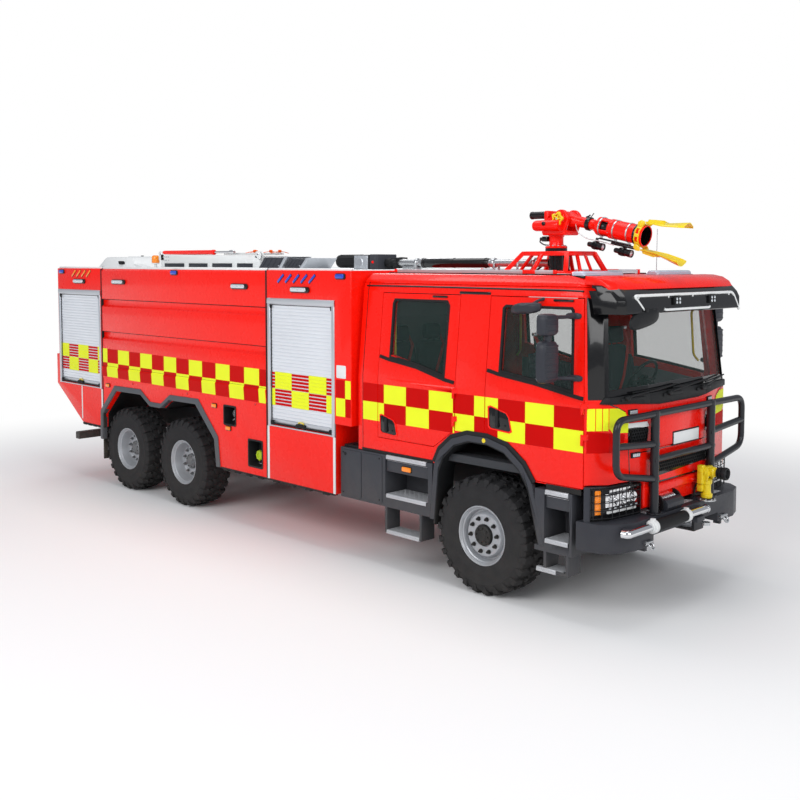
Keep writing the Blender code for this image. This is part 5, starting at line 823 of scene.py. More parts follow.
# yellow bars round the cab's front corners
CORNER_BARS = ((1.203, 1.148), (1.140, 1.100), (1.092, 1.055))
for side in SIDES:
    bars = Piece(f"corner_bars_{HANDS[side]}", "chassis", "yellow_film", "yellow_paint")
    rounds = Piece(f"corner_field_{HANDS[side]}", "chassis", "dark_red", "red_paint")
    for y0, y1 in CORNER_BARS:
        on_front(bars, rectangle(side * y0, side * y1, BAND_MIDDLE, BAND_TOP), out=0.0024, depth=0.004)
    on_front(bars, handed(side, (1.046, 1.79), (1.00, 1.745), (0.80, 1.73), (0.79, 1.84), (0.84, 1.92),
                          (0.93, 1.962), (1.046, BAND_TOP)),
             out=0.0024, depth=0.004)
    on_front(
        rounds,
        handed(side, (1.205, BAND_FOOT), (0.86, BAND_FOOT), (0.84, 1.72), (1.00, 1.742), (1.205, 1.766)),
        out=0.0022, depth=0.004
    )
    bars.done()
    rounds.done()

REAR_GLASS = (
    (-1.30, 2.26), (-0.90, 2.205), (-0.49, 2.11), (-0.48, 2.84), (-0.515, 2.892), (-1.275, 2.892),
    (-1.30, 2.84)
)
FRONT_GLASS = (
    (0.20, 2.22), (0.62, 2.165), (1.08, 2.09), (1.03, 2.84), (1.01, 2.87), (0.235, 2.87), (0.20, 2.84)
)


def lean_out(z, out):
    """Half width of the cab's side at a height."""
    return cab_plan(z, out)[0][1]


def on_lean(piece, points, side, out, depth, bevel=0.0):
    """Panel on the leaning side of the cab from its outline in (x, z)."""
    rings = [[(x, side * lean_out(z, o), z) for x, z in points] for o in (out, out - depth)]
    piece.skin(rings, bevel=bevel)


def frame_round(piece, points, side, width, out, depth):
    """Closed strip of even width inside an outline on the leaning side."""
    count = len(points)
    middle = Vector((sum(p[0] for p in points) / count, sum(p[1] for p in points) / count))
    inner = []
    for i, p in enumerate(points):
        before, here, after = Vector(points[i - 1]), Vector(p), Vector(points[(i + 1) % count])
        n1, n2 = (here - before).normalized(), (after - here).normalized()
        n1, n2 = Vector((-n1.y, n1.x)), Vector((-n2.y, n2.x))
        if n1.dot(middle - here) < 0:
            n1 = -n1
        if n2.dot(middle - here) < 0:
            n2 = -n2
        way = (n1 + n2).normalized()
        inner.append(tuple(here + way * (width / max(0.4, way.dot(n1)))))
    for i in range(count):
        j = (i + 1) % count
        quad = [points[i], points[j], inner[j], inner[i]]
        on_lean(piece, quad, side, out, depth)


for side in SIDES:
    hand = HANDS[side]
    for row, glass in (("rear", REAR_GLASS), ("front", FRONT_GLASS)):
        body = f"{row}_door_{hand}"
        seal = Piece(f"window_seal_{row}_{hand}", body, "rubber", "cab_plastic")
        frame_round(seal, list(glass), side, 0.026, 0.003, 0.024)
        # black moulding under the window
        start, end = (glass[0], glass[2])
        x0 = -1.44 if row == "rear" else 0.06
        x1 = -0.36 if row == "rear" else 1.19
        z0 = glass[0][1] + (start[0] - x0) * 0.17
        z1 = glass[2][1] - (x1 - end[0]) * 0.18
        on_lean(seal, band((x0, z0 - 0.012), (start[0], start[1] - 0.016),
                           ((start[0] + end[0]) / 2, (glass[1][1]) - 0.014), (end[0], end[1] - 0.016),
                           (x1, z1 - 0.012), width=0.034),
                side, 0.010, 0.020, bevel=0.003)
        seal.done()
    # handles
    for row, x, z, wide, rise in (("rear", -1.29, 1.545, 0.27, 0.20), ("front", 0.235, 1.775, 0.30, 0.22)):
        body = f"{row}_door_{hand}"
        rim = Piece(f"handle_rim_{row}_{hand}", body, "red", "red_paint")
        bowl = Piece(f"handle_bowl_{row}_{hand}", body, "gloss_black", "cab_plastic")
        pull = Piece(f"handle_pull_{row}_{hand}", body, "plastic", "cab_plastic")
        half, tall = wide / 2, rise / 2
        form = [(x - half, z + tall), (x - half + 0.005, z - tall * 0.80), (x - half + 0.03, z - tall),
                (x + half - 0.03, z - tall * 1.15),
                (x + half, z - tall * 1.0), (
                    x + half * 0.78, z + tall * 0.25
                ), (x + half * 0.55, z + tall * 0.62), (x - half + 0.03, z + tall + 0.01)]
        inner = [(x + (a - x) * 0.90, z + (b - z) * 0.88) for a, b in form]
        for i in range(len(form)):
            j = (i + 1) % len(form)
            on_side(rim, [form[i], form[j], inner[j], inner[i]], side, CAB_HALF, out=0.006, depth=0.010)
        on_side(bowl, inner, side, CAB_HALF, out=0.003, depth=0.006, bevel=0.001)
        deep = [(x + (a - x) * 0.72, z + (b - z) * 0.66) for a, b in form]
        on_side(bowl, deep, side, CAB_HALF, out=0.004, depth=0.003, bevel=0.0008)
        pull.skin([[(x - 0.030 + dx * w, side * (CAB_HALF + out), zz) for dx,
                    out in ((-1, 0.003), (-0.8, 0.020), (0.8, 0.020), (1, 0.003))]
                   for zz, w in (
                       (z - tall * 0.80, 0.016), (z - tall * 0.66, 0.020), (z + tall * 0.62, 0.020),
                       (z + tall * 0.78, 0.016)
                   )], bevel=0.002)
        pull.rod(
            (x + half * 0.45, side * CAB_HALF, z - tall * 0.55),
            (x + half * 0.45, side * (CAB_HALF + 0.009), z - tall * 0.55), 0.011, 20, bevel=0.001
        )
        rim.done()
        bowl.done()
        pull.done()


# Cab: roof, visor and front

def cab_ring(z, out=0.0, back=-1.76):
    """Outline of the cab in plan at a height, from its rear right corner round to its rear left one."""
    corner, shoulder, nose = cab_plan(z, out)
    right = [(back - out, corner[1]), corner, shoulder, nose]
    return [(x, -y, z) for x, y in right] + [(x, y, z) for x, y in reversed(right)]


roof = Piece("cab_roof_panel", "chassis", "red", "red_paint", sharp=50)
roof.skin([cab_ring(3.047), cab_ring(3.085), cab_ring(3.13), cab_ring(3.15)], bevel=0.016, segments=3)
for y in (-0.78, -0.39, 0.0, 0.39, 0.78):
    roof.box((-1.62, y - 0.10, 3.146), (-0.62, y + 0.10, 3.153), bevel=0.003)
roof.done("cab_roof")

drip = Piece("roof_drip_line", "chassis", "gloss_black", "cab_plastic")
for side in SIDES:
    path = [
        (-1.72, side * lean_out(3.02, 0.003), 3.02), (-0.9, side * lean_out(3.02, 0.003), 3.022),
        (0.9, side * lean_out(3.02, 0.003), 3.018), (1.11, side * lean_out(3.02, 0.0), 3.012)
    ]
    drip.tube(path, 0.009, 10)
    drip.box(
        (-0.36, side * lean_out(2.99, 0.006) - 0.006, 2.958),
        (0.04, side * lean_out(2.99, 0.006) + 0.006, 2.985), bevel=0.003
    )
    for x0, x1 in ((-0.72, -0.52), (0.80, 1.02)):
        y = side * lean_out(2.93, 0.004)
        y0, y1 = sorted((y, y + side * 0.012))
        drip.box((x0, y0, 2.915), (x1, y1, 2.937), bevel=0.004)
drip.done()

seams_and_shadow_lines = Piece("cab_seams", "chassis", "gloss_black", "cab_plastic")
for side in SIDES:
    rings = []
    for z in (1.25, 2.045, 2.975, 3.06):
        face, back = side * lean_out(z, 0.0022), side * lean_out(z, -0.004)
        rings.append([(-1.692, face, z), (-1.686, face, z), (-1.686, back, z), (-1.692, back, z)])
    seams_and_shadow_lines.skin(rings)
seams_and_shadow_lines.done()

# dark screen surround: pillars, border of the glass, cowl
surround = Piece("screen_surround", "chassis", "gloss_black", "cab_plastic")
for side in SIDES:
    on_front(
        surround, handed(side, (1.199, 2.048), (1.086, 2.048), (0.998, 2.935), (1.108, 2.955)), out=0.004,
        depth=0.012, bevel=0.0015
    )
    on_front(
        surround, handed(side, (1.086, 2.075), (1.030, 2.09), (0.950, 2.90), (0.998, 2.928)), out=-0.012,
        depth=0.008
    )
on_front(
    surround,
    [
        (-1.086, 2.062), (1.086, 2.062), (1.060, 2.115), (0.85, 2.135), (0.0, 2.150), (-0.85, 2.135),
        (-1.060, 2.115)
    ],
    out=-0.011, depth=0.009
)
on_front(
    surround, [(-0.99, 2.925), (0.99, 2.925), (0.95, 2.86), (0.0, 2.85), (-0.95, 2.86)], out=-0.011,
    depth=0.009
)
surround.done()

cowl = Piece("screen_cowl", "chassis", "plastic", "cab_plastic")
on_front(
    cowl,
    [
        (-1.12, 2.010), (-0.75, 1.990), (-0.35, 1.955), (0.35, 1.955), (0.75, 1.990), (1.12, 2.010),
        (1.09, 2.066), (0.0, 2.078), (-1.09, 2.066)
    ],
    out=0.016, depth=0.024, bevel=0.005
)
for y0, y1 in ((-0.92, -0.60), (-0.30, 0.05), (0.32, 0.62)):
    on_front(cowl, rectangle(y0, y1, 2.02, 2.05), out=0.028, depth=0.016, bevel=0.005)
cowl.done()

wipers = Piece("wipers", "chassis", "plastic", "cab_plastic")
for pivot_y, tip_y in ((-0.86, -0.08), (-0.22, 0.52), (0.40, 0.98)):
    foot = Vector(cab_front(pivot_y, 2.05, 0.022))
    knee = Vector(cab_front(pivot_y * 0.4 + tip_y * 0.6, 2.098, 0.030))
    tip = Vector(cab_front(tip_y, 2.118, 0.020))
    wipers.rod(foot, foot + Vector((0.035, 0, 0)), 0.024, 20, bevel=0.004)
    wipers.tube(
        [foot + Vector((0.028, 0, 0)), foot + Vector((0.034, 0.05, 0.02)), knee, tip], 0.009, 10, bend=0.04
    )
    blade = (cab_front(pivot_y + 0.10, 2.092, 0.016),
             cab_front((pivot_y + 0.10 + tip_y + 0.05) / 2, 2.106, 0.016),
             cab_front(tip_y + 0.05, 2.118, 0.014))
    wipers.tube([Vector(point) for point in blade], 0.007, 8)
wipers.done()

# sun visor of dark plastic with its lamps and rail
visor = Piece("sun_visor", "chassis", "gloss_black", "cab_plastic", sharp=28)
section = ((1.20, 3.070), (1.33, 3.068), (1.42, 3.045), (1.480, 2.985), (1.509, 2.930), (1.510, 2.818),
           (1.500, 2.812), (1.494, 2.822),
           (1.492, 2.918), (1.462, 2.966), (1.405, 3.022), (1.32, 3.040), (1.20, 3.044))
# Stations across the truck: y, sweep of the lip, set-back of the whole section.
VISOR_STATIONS = ((-1.115, 0.235, 0.004), (-1.095, 0.150, 0.004), (-1.04, 0.0, 0.0), (-0.55, 0.0, 0.0),
                  (0.55, 0.0, 0.0),
                  (1.04, 0.0, 0.0), (1.095, 0.150, 0.004), (1.115, 0.235, 0.004))
VISOR_ROOT, VISOR_REACH = 1.20, 0.31
rings = []
for y, swept, inset in VISOR_STATIONS:
    rings.append([(x - swept * ((x - VISOR_ROOT) / VISOR_REACH) - inset, y, z) for x, z in section])
visor.skin(rings)
for side in SIDES:
    rings = []
    for z, x0, x1, y0 in (
        (2.815, 1.235, 1.500, 1.135), (2.93, 1.205, 1.500, 1.130), (3.02, 1.160, 1.420, 1.118)
    ):
        rings.append(
            [
                (x1, side * 1.040, z), (x1 - 0.055, side * (y0 - 0.030), z), (x0, side * y0, z),
                (x0, side * (y0 - 0.014), z), (x1 - 0.065, side * (y0 - 0.046), z),
                (x1 - 0.014, side * 1.026, z)
            ]
        )
    visor.skin(rings, bevel=0.003)
visor.done()

brow = Piece("roof_brow", "chassis", "red", "red_paint", sharp=50)
rings = []
BROW_NOSE = ((1.24, 3.148), (1.345, 3.128), (1.418, 3.085), (1.452, 3.030), (1.440, 3.030), (1.30, 3.066))
BROW_STATIONS = (
    (-1.085, 0.10), (-1.04, 0.02), (-0.55, 0.0), (0.0, 0.0), (0.55, 0.0), (1.04, 0.02), (1.085, 0.10)
)
for y, set_back in BROW_STATIONS:
    rings.append([(1.10, y, 3.150)] + [(x - set_back, y, z) for x, z in BROW_NOSE] + [(1.10, y, 3.075)])
brow.skin(rings, bevel=0.006)
brow.done()

rail = Piece("front_rail", "chassis", "white", "white_paint")
rail.tube(
    [(1.50, -0.74, 2.84), (1.50, -0.91, 2.975), (1.50, 0.91, 2.975), (1.50, 1.05, 2.80)], 0.0138, 16,
    bend=0.05, steps=6
)
for y in (-0.835, -0.32, 0.12, 0.835):
    rail.rod((1.474, y, 2.904), (1.50, y, 2.975), 0.0115, 12)
    rail.rod((1.468, y, 2.902), (1.480, y, 2.902), 0.020, 16, bevel=0.002)
rail.tube(
    [(1.513, -0.42, 2.845), (1.520, -0.40, 2.838), (1.520, 0.40, 2.838), (1.513, 0.42, 2.845)], 0.012, 12,
    bend=0.02
)
rail.done()

front_glass_mirror = Piece("front_mirror_housing", "chassis", "plastic", "cab_plastic", sharp=40)
rings = []
for x, share in ((1.462, 0.55), (1.474, 0.86), (1.492, 1.0), (1.515, 0.95), (1.530, 0.78), (1.537, 0.45)):
    ring = []
    for i in range(28):
        a = math.tau * i / 28
        w = 0.235 * share * squared(math.cos, a, 0.62)
        h = 0.078 * share * squared(math.sin, a, 0.75)
        ring.append((x, -0.735 + w, 2.765 + h + w * 0.16))
    rings.append(ring)
front_glass_mirror.skin(rings)
front_glass_mirror.box((1.505, -0.755, 2.825), (1.532, -0.715, 2.862), bevel=0.005)
front_glass_mirror.done()

lamps = Piece("visor_lamp_bodies", "chassis", "plastic", "cab_plastic")
glow = Piece("visor_lamp_lenses", "chassis", "clear_lens", "glass")
for y in (-0.20, 0.46):
    lamps.box((1.505, y - 0.060, 2.880), (1.532, y + 0.060, 2.955), bevel=0.006)
    for dy in (-0.027, 0.027):
        for dz in (-0.016, 0.016):
            glow.rod((1.530, y + dy, 2.918 + dz), (1.5345, y + dy, 2.918 + dz), 0.0135, 18, bevel=0.001)
lamps.done()
glow.done()

# lamp bars on the roof
for side in SIDES:
    base = Piece(f"lamp_bar_{HANDS[side]}", "chassis", "gloss_black", "cab_plastic")
    y0, y1 = across(side, 0.30, 0.98)
    base.box((0.850, y0, 3.125), (1.020, y1, 3.152), bevel=0.006)
    base.done()
    dome = Piece(f"lamp_bar_lens_{HANDS[side]}", "chassis", "bar_lens", "glass", sharp=40)
    rings = []
    for y, share in (
        (y0 + 0.006, 0.70), (y0 + 0.022, 0.94), (y0 + 0.05, 1.0), (y1 - 0.05, 1.0), (y1 - 0.022, 0.94),
        (y1 - 0.006, 0.70)
    ):
        rings.append(
            [
                (0.935 + dx * share, y, 3.150 + dz * share) for dx,
                dz in (
                    (-0.078, 0.0), (-0.074, 0.026), (-0.055, 0.041), (0.055, 0.041), (0.074, 0.026),
                    (0.078, 0.0)
                )
            ]
        )
    dome.skin(rings)
    dome.done()

# Cab: front panel

trim = Piece("front_gap_lines", "chassis", "gloss_black", "cab_plastic")
for side in SIDES:
    on_front(
        trim,
        band(
            (side * 1.045, 2.005), (side * 0.955, 1.975), (side * 0.845, 1.925), (side * 0.800, 1.840),
            (side * 0.790, 1.600), (side * 0.770, 1.330), (side * 0.74, 1.10), width=0.010
        ),
        out=0.0016, depth=0.006
    )
on_front(trim, band((-0.76, 1.530), (0.76, 1.530), width=0.008), out=0.0016, depth=0.006)
on_front(
    trim, band((-0.74, 1.235), (-0.45, 1.215), (0.45, 1.215), (0.74, 1.235), width=0.016), out=0.0018,
    depth=0.006
)
trim.done()

fold = Piece("front_panel_forms", "chassis", "red", "red_paint", sharp=45)
on_front(
    fold, [(-0.40, 1.90), (0.40, 1.90), (0.34, 1.545), (-0.34, 1.545)], out=0.020, depth=0.03, bevel=0.014
)
on_front(
    fold, [(-0.60, 1.205), (0.60, 1.205), (0.52, 1.12), (-0.52, 1.12)], out=0.030, depth=0.035, bevel=0.012
)
for side in SIDES:
    on_front(
        fold, handed(side, (0.605, 1.30), (0.505, 1.30), (0.520, 1.01), (0.605, 1.01)), out=0.022, depth=0.03,
        bevel=0.010
    )
fold.done()


ROW_SHARE = 0.866


def honeycomb(piece, points, out, pitch=0.034):
    """Hexagon mesh over an outline in (y, z) on the cab's front."""
    ys, zs = [p[0] for p in points], [p[1] for p in points]
    rows = int((max(zs) - min(zs)) / (pitch * ROW_SHARE)) + 1
    columns = int((max(ys) - min(ys)) / pitch) + 2

    def within(y, z):
        """Whether a point lies inside the outline."""
        inside = False
        for (y0, z0), (y1, z1) in zip(points, points[1:] + points[:1]):
            if (z0 > z) != (z1 > z) and y < (y1 - y0) * (z - z0) / (z1 - z0) + y0:
                inside = not inside
        return inside

    for r in range(rows):
        for c in range(columns):
            y = min(ys) + (c + 0.5 * (r % 2)) * pitch
            z = min(zs) + r * pitch * ROW_SHARE
            if not within(y, z):
                continue
            rings = []
            for radius, o in ((0.56, out - 0.012), (0.56, out), (0.42, out), (0.36, out - 0.012)):
                corners = [on_circle(radius * pitch, i + 0.5, 6) for i in range(6)]
                rings.append([cab_front(y + over, z + up, o) for over, up in corners])
            piece.skin(rings, wrap=True)


mesh = Piece("grille_mesh", "chassis", "plastic", "cab_plastic")
back = Piece("grille_backs", "chassis", "gloss_black", "cab_plastic")
frames = Piece("grille_trims", "chassis", "white", "white_paint")
for side in SIDES:
    wedge = handed(
        side, (0.790, 1.805), (0.560, 1.800), (0.520, 1.735), (0.545, 1.600), (0.600, 1.585), (0.785, 1.625)
    )
    on_front(back, wedge, out=0.0035, depth=0.008)
    honeycomb(mesh, handed(side, (0.765, 1.745), (0.560, 1.740), (0.570, 1.620), (0.765, 1.645)), 0.016)
    on_front(
        frames,
        handed(
            side, (0.800, 1.815), (0.555, 1.812), (0.525, 1.765), (0.60, 1.762), (0.72, 1.772), (0.80, 1.770)
        ),
        out=0.014, depth=0.014, bevel=0.003
    )
lower = [(-0.47, 1.440), (0.66, 1.440), (0.63, 1.315), (-0.44, 1.270)]
on_front(back, lower, out=0.0035, depth=0.008)
honeycomb(mesh, [(-0.46, 1.415), (0.64, 1.415), (0.61, 1.325), (-0.43, 1.300)], 0.014, pitch=0.036)
on_front(back, rectangle(-0.47, 0.66, 1.452, 1.425), out=0.022, depth=0.02, bevel=0.004)
on_front(frames, rectangle(-0.11, 0.36, 1.655, 1.545), out=0.028, depth=0.006, bevel=0.0025)
mesh.done()
back.done()
frames.done()

plate_frame = Piece("plate_frame", "chassis", "plastic", "cab_plastic")
on_front(plate_frame, rectangle(-0.125, 0.375, 1.668, 1.532), out=0.023, depth=0.020, bevel=0.003)
plate_frame.done()

flashers = Piece("front_flashers", "chassis", "clear_lens", "glass")
holders = Piece("flasher_frames", "chassis", "plastic", "cab_plastic")
for y, z in ((-0.745, 1.915), (0.62, 1.915), (-0.70, 1.515)):
    on_front(
        holders, rectangle(y - 0.060, y + 0.060, z - 0.024, z + 0.024), out=0.014, depth=0.014, bevel=0.004
    )
    for k in range(4):
        c = y - 0.036 + 0.024 * k
        on_front(
            flashers, rectangle(c - 0.010, c + 0.010, z - 0.015, z + 0.015), out=0.020, depth=0.008,
            bevel=0.002
        )
flashers.done()
holders.done()


# Bumper, headlamps and bull bar

softened(
    "bumper_skin", "chassis", "anthracite", "anthracite_paint", "front_bumper", bevel=0.007
).done("front_bumper")

LAMP_PLAN = ((1.256, 1.2014), (1.349, 1.0464), (1.405, 0.600))


def lamp_face(s, z, out, side):
    """Place on the headlamp housing, s running from 0 at its outer end to 1 at its inner end."""
    lengths = [(Vector(q) - Vector(p)).length for p, q in zip(LAMP_PLAN, LAMP_PLAN[1:])]
    along = s * sum(lengths)
    k = 0 if along <= lengths[0] else 1
    p, q = Vector(LAMP_PLAN[k]), Vector(LAMP_PLAN[k + 1])
    way = (q - p).normalized()
    spot = p + way * (along - (lengths[0] if k else 0)) + Vector((-way.y, way.x)).normalized() * out
    return (spot.x, side * spot.y, z)


LAMP_FOLD = 0.2876


def lamp_patch(piece, side, s0, s1, z0, z1, out, depth, bevel=0.003):
    """Panel on the lamp housing, folded where the housing turns the corner."""
    stops = [s0] + ([LAMP_FOLD] if s0 < LAMP_FOLD < s1 else []) + [s1]
    for a, b in zip(stops, stops[1:]):
        piece.skin(
            [
                [lamp_face(s, z, o, side) for s, z in ((a, z0), (b, z0), (b, z1), (a, z1))]
                for o in (out, out - depth)
            ],
            bevel=bevel
        )


for side in SIDES:
    hand = HANDS[side]
    black = Piece(f"headlamp_frame_{hand}", "chassis", "gloss_black", "anthracite_paint")
    lamp_patch(black, side, 0.01, 0.985, 0.955, 1.262, 0.006, 0.02, bevel=0.004)
    black.done()
    bowl = Piece(f"headlamp_bowls_{hand}", "chassis", "chrome", "glass", sharp=50)
    for s, z, r in ((0.44, 1.135, 0.050), (0.63, 1.140, 0.052), (0.82, 1.135, 0.044), (0.33, 1.150, 0.030)):
        centre, front = Vector(lamp_face(s, z, 0.006, side)), Vector(lamp_face(s, z, 0.014, side))
        way = (front - centre).normalized()
        turn = way.to_track_quat("Z", "Y")
        rings = []
        for along, radius in (
            (0.0, r), (0.010, r), (0.010, r * 0.90), (0.006, r * 0.62), (0.004, r * 0.34), (0.014, r * 0.30),
            (0.018, r * 0.16)
        ):
            rings.append(
                [tuple(centre + turn @ Vector((*on_circle(radius, i, 28), along))) for i in range(28)]
            )
        bowl.skin(rings)
    lamp_patch(bowl, side, 0.24, 0.90, 1.075, 1.200, 0.009, 0.006)
    lamp_patch(bowl, side, 0.30, 0.80, 1.205, 1.235, 0.010, 0.006, bevel=0.002)
    bowl.done()
    strip = Piece(f"headlamp_strip_{hand}", "chassis", "white", "glass", sharp=50)
    lamp_patch(strip, side, 0.26, 0.88, 1.020, 1.045, 0.014, 0.010, bevel=0.003)
    strip.done()
    cover = Piece(f"headlamp_cover_{hand}", "chassis", "clear_lens", "glass")
    for k in range(6):
        s = 0.29 + 0.115 * k
        lamp_patch(cover, side, s, s + 0.045, 1.055, 1.068, 0.013, 0.006, bevel=0.0015)
    cover.done()
    amber = Piece(f"headlamp_marker_{hand}", "chassis", "amber", "glass")
    lamp_patch(amber, side, 0.075, 0.165, 1.015, 1.235, 0.014, 0.010)
    for k in range(7):
        lamp_patch(amber, side, 0.080, 0.160, 1.030 + 0.028 * k, 1.046 + 0.028 * k, 0.017, 0.006, bevel=0.002)
    amber.done()
    guard = Piece(f"headlamp_guard_{hand}", "chassis", "plastic", "anthracite_paint")
    for z in (0.985, 1.055, 1.125, 1.195, 1.248):
        guard.tube(
            [
                lamp_face(s, z, 0.034 if 0.02 < s < 0.95 else 0.008, side)
                for s in (0.015, 0.035, 0.2876, 0.93, 0.975)
            ],
            0.0042, 8
        )
    for s in (0.035, 0.17, 0.32, 0.47, 0.62, 0.77, 0.93):
        guard.tube([lamp_face(s, z, 0.034, side) for z in (0.975, 1.252)], 0.0042, 8)
    guard.done()
    shackle = Piece(f"shackle_{hand}", "chassis", "steel", "chassis_paint")
    y = side * 0.70
    shackle.tube([(1.555, y - 0.030, 0.735), (1.585, y - 0.034, 0.715), (1.600, y - 0.026, 0.685),
                  (1.605, y, 0.670), (1.600, y + 0.026, 0.685), (1.585, y + 0.034, 0.715),
                  (1.555, y + 0.030, 0.735)],
                 0.011, 12, bend=0.02)
    shackle.rod((1.565, y - 0.055, 0.735), (1.565, y + 0.058, 0.735), 0.014, 18, bevel=0.002)
    shackle.rod((1.565, y - 0.066, 0.735), (1.565, y - 0.050, 0.735), 0.022, 8, bevel=0.003)
    shackle.done()

# Foam pipe along the bumper's front, from its elbow at the right to its stub at the left.
PIPE_X, PIPE_Z, PIPE_RADIUS = 1.600, 0.885, 0.0365
PIPE_ENTRY, PIPE_ELBOW, PIPE_END = 1.545, -1.105, 0.272
COLLARS, COLLAR_HALF, LIP_PLACE, LIP_HALF = (-0.70, -0.11), 0.028, 0.036, 0.006
SLEEVE_START, SLEEVE_END, SLEEVE_RADIUS, SLEEVE_GROOVE = -0.67, -0.125, 0.0545, 0.0530
SLEEVE_PITCH, SLEEVE_WINDINGS = 0.0225, 23


def around_pipe(piece, middle, half, radius, sides, bevel):
    """Ring on the foam pipe."""
    piece.rod((PIPE_X, middle - half, PIPE_Z), (PIPE_X, middle + half, PIPE_Z), radius, sides, bevel=bevel)


pipe = Piece("foam_pipe", "chassis", "chrome", "chassis_paint")
pipe.tube([(PIPE_ENTRY, -1.12, PIPE_Z), (PIPE_X, PIPE_ELBOW, PIPE_Z), (PIPE_X, -1.00, PIPE_Z),
           (PIPE_X, PIPE_END, PIPE_Z)],
          PIPE_RADIUS, 28, bend=0.05, steps=6)
around_pipe(pipe, PIPE_END, 0.010, 0.043, 28, 0.004)
pipe.done()
collars = Piece("foam_pipe_collars", "chassis", "white", "chassis_paint")
for y in COLLARS:
    around_pipe(collars, y, COLLAR_HALF, 0.063, 30, 0.006)
    for dy in (-LIP_PLACE, LIP_PLACE):
        around_pipe(collars, y + dy, LIP_HALF, 0.050, 30, 0.003)
    collars.box((1.580, y - 0.018, 0.935), (1.622, y + 0.018, 0.960), bevel=0.005)
collars.done()
sleeve = Piece("foam_pipe_sleeve", "chassis", "hose", "tyre")
windings = [(-0.65 + SLEEVE_PITCH * k + d, r) for k in range(SLEEVE_WINDINGS)
            for d, r in ((0.004, SLEEVE_RADIUS), (0.018, SLEEVE_GROOVE))]
sleeve.turned([(SLEEVE_START, 0.0), (SLEEVE_START, 0.046), (-0.655, SLEEVE_RADIUS)] + windings
              + [
                  (-0.135, SLEEVE_RADIUS), (SLEEVE_END, 0.046), (SLEEVE_END, 0.0)
              ], (PIPE_X, 0, PIPE_Z), "Y", 28)
sleeve.done()


def chequer(piece, x0, x1, y0, y1, z, thick=0.004, pitch=0.034, rib=0.020):
    """Tread plate with raised bars laid crosswise in turn."""
    piece.box((x0, y0, z), (x1, y1, z + thick), bevel=0.001)
    for i in range(int((x1 - x0) / pitch)):
        for j in range(int((y1 - y0) / pitch)):
            cx, cy = x0 + pitch * (i + 0.5), y0 + pitch * (j + 0.5)
            way = Vector((1, 1 if (i + j) % 2 else -1, 0)).normalized()
            across = Vector((-way.y, way.x, 0))
            base = Vector((cx, cy, 0))
            piece.skin([[tuple(base + way * a * rib / 2 * s + across * b * 0.0032 * s + Vector((0, 0, h)))
                         for a, b in ((-1, 0), (-0.6, 1), (0.6, 1), (1, 0), (0.6, -1), (-0.6, -1))]
                        for h, s in ((z + thick - 0.0005, 1.0), (z + thick + 0.0016, 0.72))])


deck = Piece("bumper_deck", "chassis", "tread", "anthracite_paint")
chequer(deck, 1.235, 1.475, -0.56, 0.24, 0.9505)
chequer(deck, 1.235, 1.475, 0.46, 0.80, 0.9505)
deck.done()

WINCH_X, WINCH_Z = 1.430, 1.018
WINCH_CHEEKS = (-0.385, -0.065)
SPOKES, SPOKE_ROOT, SPOKE_END = 6, 0.026, 0.056
CABLE_TURNS, CABLE_PITCH, CABLE_GROOVE, CABLE_CREST = 25, 0.0115, 0.055, 0.061
winch_axis = (WINCH_X, 0, WINCH_Z)
winch = Piece("winch_drum", "chassis", "plastic", "anthracite_paint", sharp=30)
for y in WINCH_CHEEKS:
    winch.turned(
        [(y - 0.010, 0.052), (y - 0.010, 0.092), (y + 0.010, 0.092), (y + 0.010, 0.052)], winch_axis, "Y", 36
    )
    winch.turned(
        [(y - 0.014, 0.0), (y - 0.014, 0.030), (y + 0.014, 0.030), (y + 0.014, 0.0)], winch_axis, "Y", 24
    )
    for k in range(SPOKES):
        (x0, z0), (x1, z1) = on_circle(SPOKE_ROOT, k, SPOKES), on_circle(SPOKE_END, k, SPOKES)
        winch.rod((WINCH_X + x0, y, WINCH_Z + z0), (WINCH_X + x1, y, WINCH_Z + z1), 0.007, 8)
winch.box((1.37, -0.42, 0.952), (1.49, -0.03, 0.966), bevel=0.003)
winch.done()
cable = Piece("winch_cable", "chassis", "steel", "chassis_paint", sharp=60)
turns = [(-0.370 + CABLE_PITCH * k + d, r) for k in range(CABLE_TURNS)
         for d, r in ((0.002, CABLE_GROOVE), (0.0058, CABLE_CREST), (0.0096, CABLE_GROOVE))]
cable.turned([(-0.374, 0.0), (-0.374, 0.050)] + turns + [(-0.076, 0.050), (-0.076, 0.0)], winch_axis, "Y", 30)
cable.done()

# Bull bar: its plane, half width, and the heights of its tubes at the middle, at the corners and at the posts
BAR_X, BAR_HALF, BAR_TOP, BAR_LOW, BAR_CORNER, POST_Y = 1.50, 1.16, 1.885, 1.28, 1.395, 0.52
BAR_RADIUS, POST_RADIUS, BAR_MIDDLE, WING_ROOT, WING_END = 0.0325, 0.041, 1.4615, 1.605, 1.655
POST_FOOT, POST_TOP, BOLT_PLACE = 0.965, 1.91, 0.045
guard = Piece("bull_bar_tubes", "chassis", "bar_black", "anthracite_paint", sharp=60)
for side in SIDES[::-1]:
    guard.tube([(BAR_X, 0.0, BAR_TOP), (BAR_X, side * BAR_HALF, BAR_TOP),
                (BAR_X, side * BAR_HALF, BAR_CORNER),
                (BAR_X, side * POST_Y, BAR_LOW)], BAR_RADIUS, 24, bend=0.12, steps=8)
guard.tube([(BAR_X, -POST_Y, BAR_MIDDLE), (BAR_X, POST_Y, BAR_MIDDLE)], BAR_RADIUS, 24)
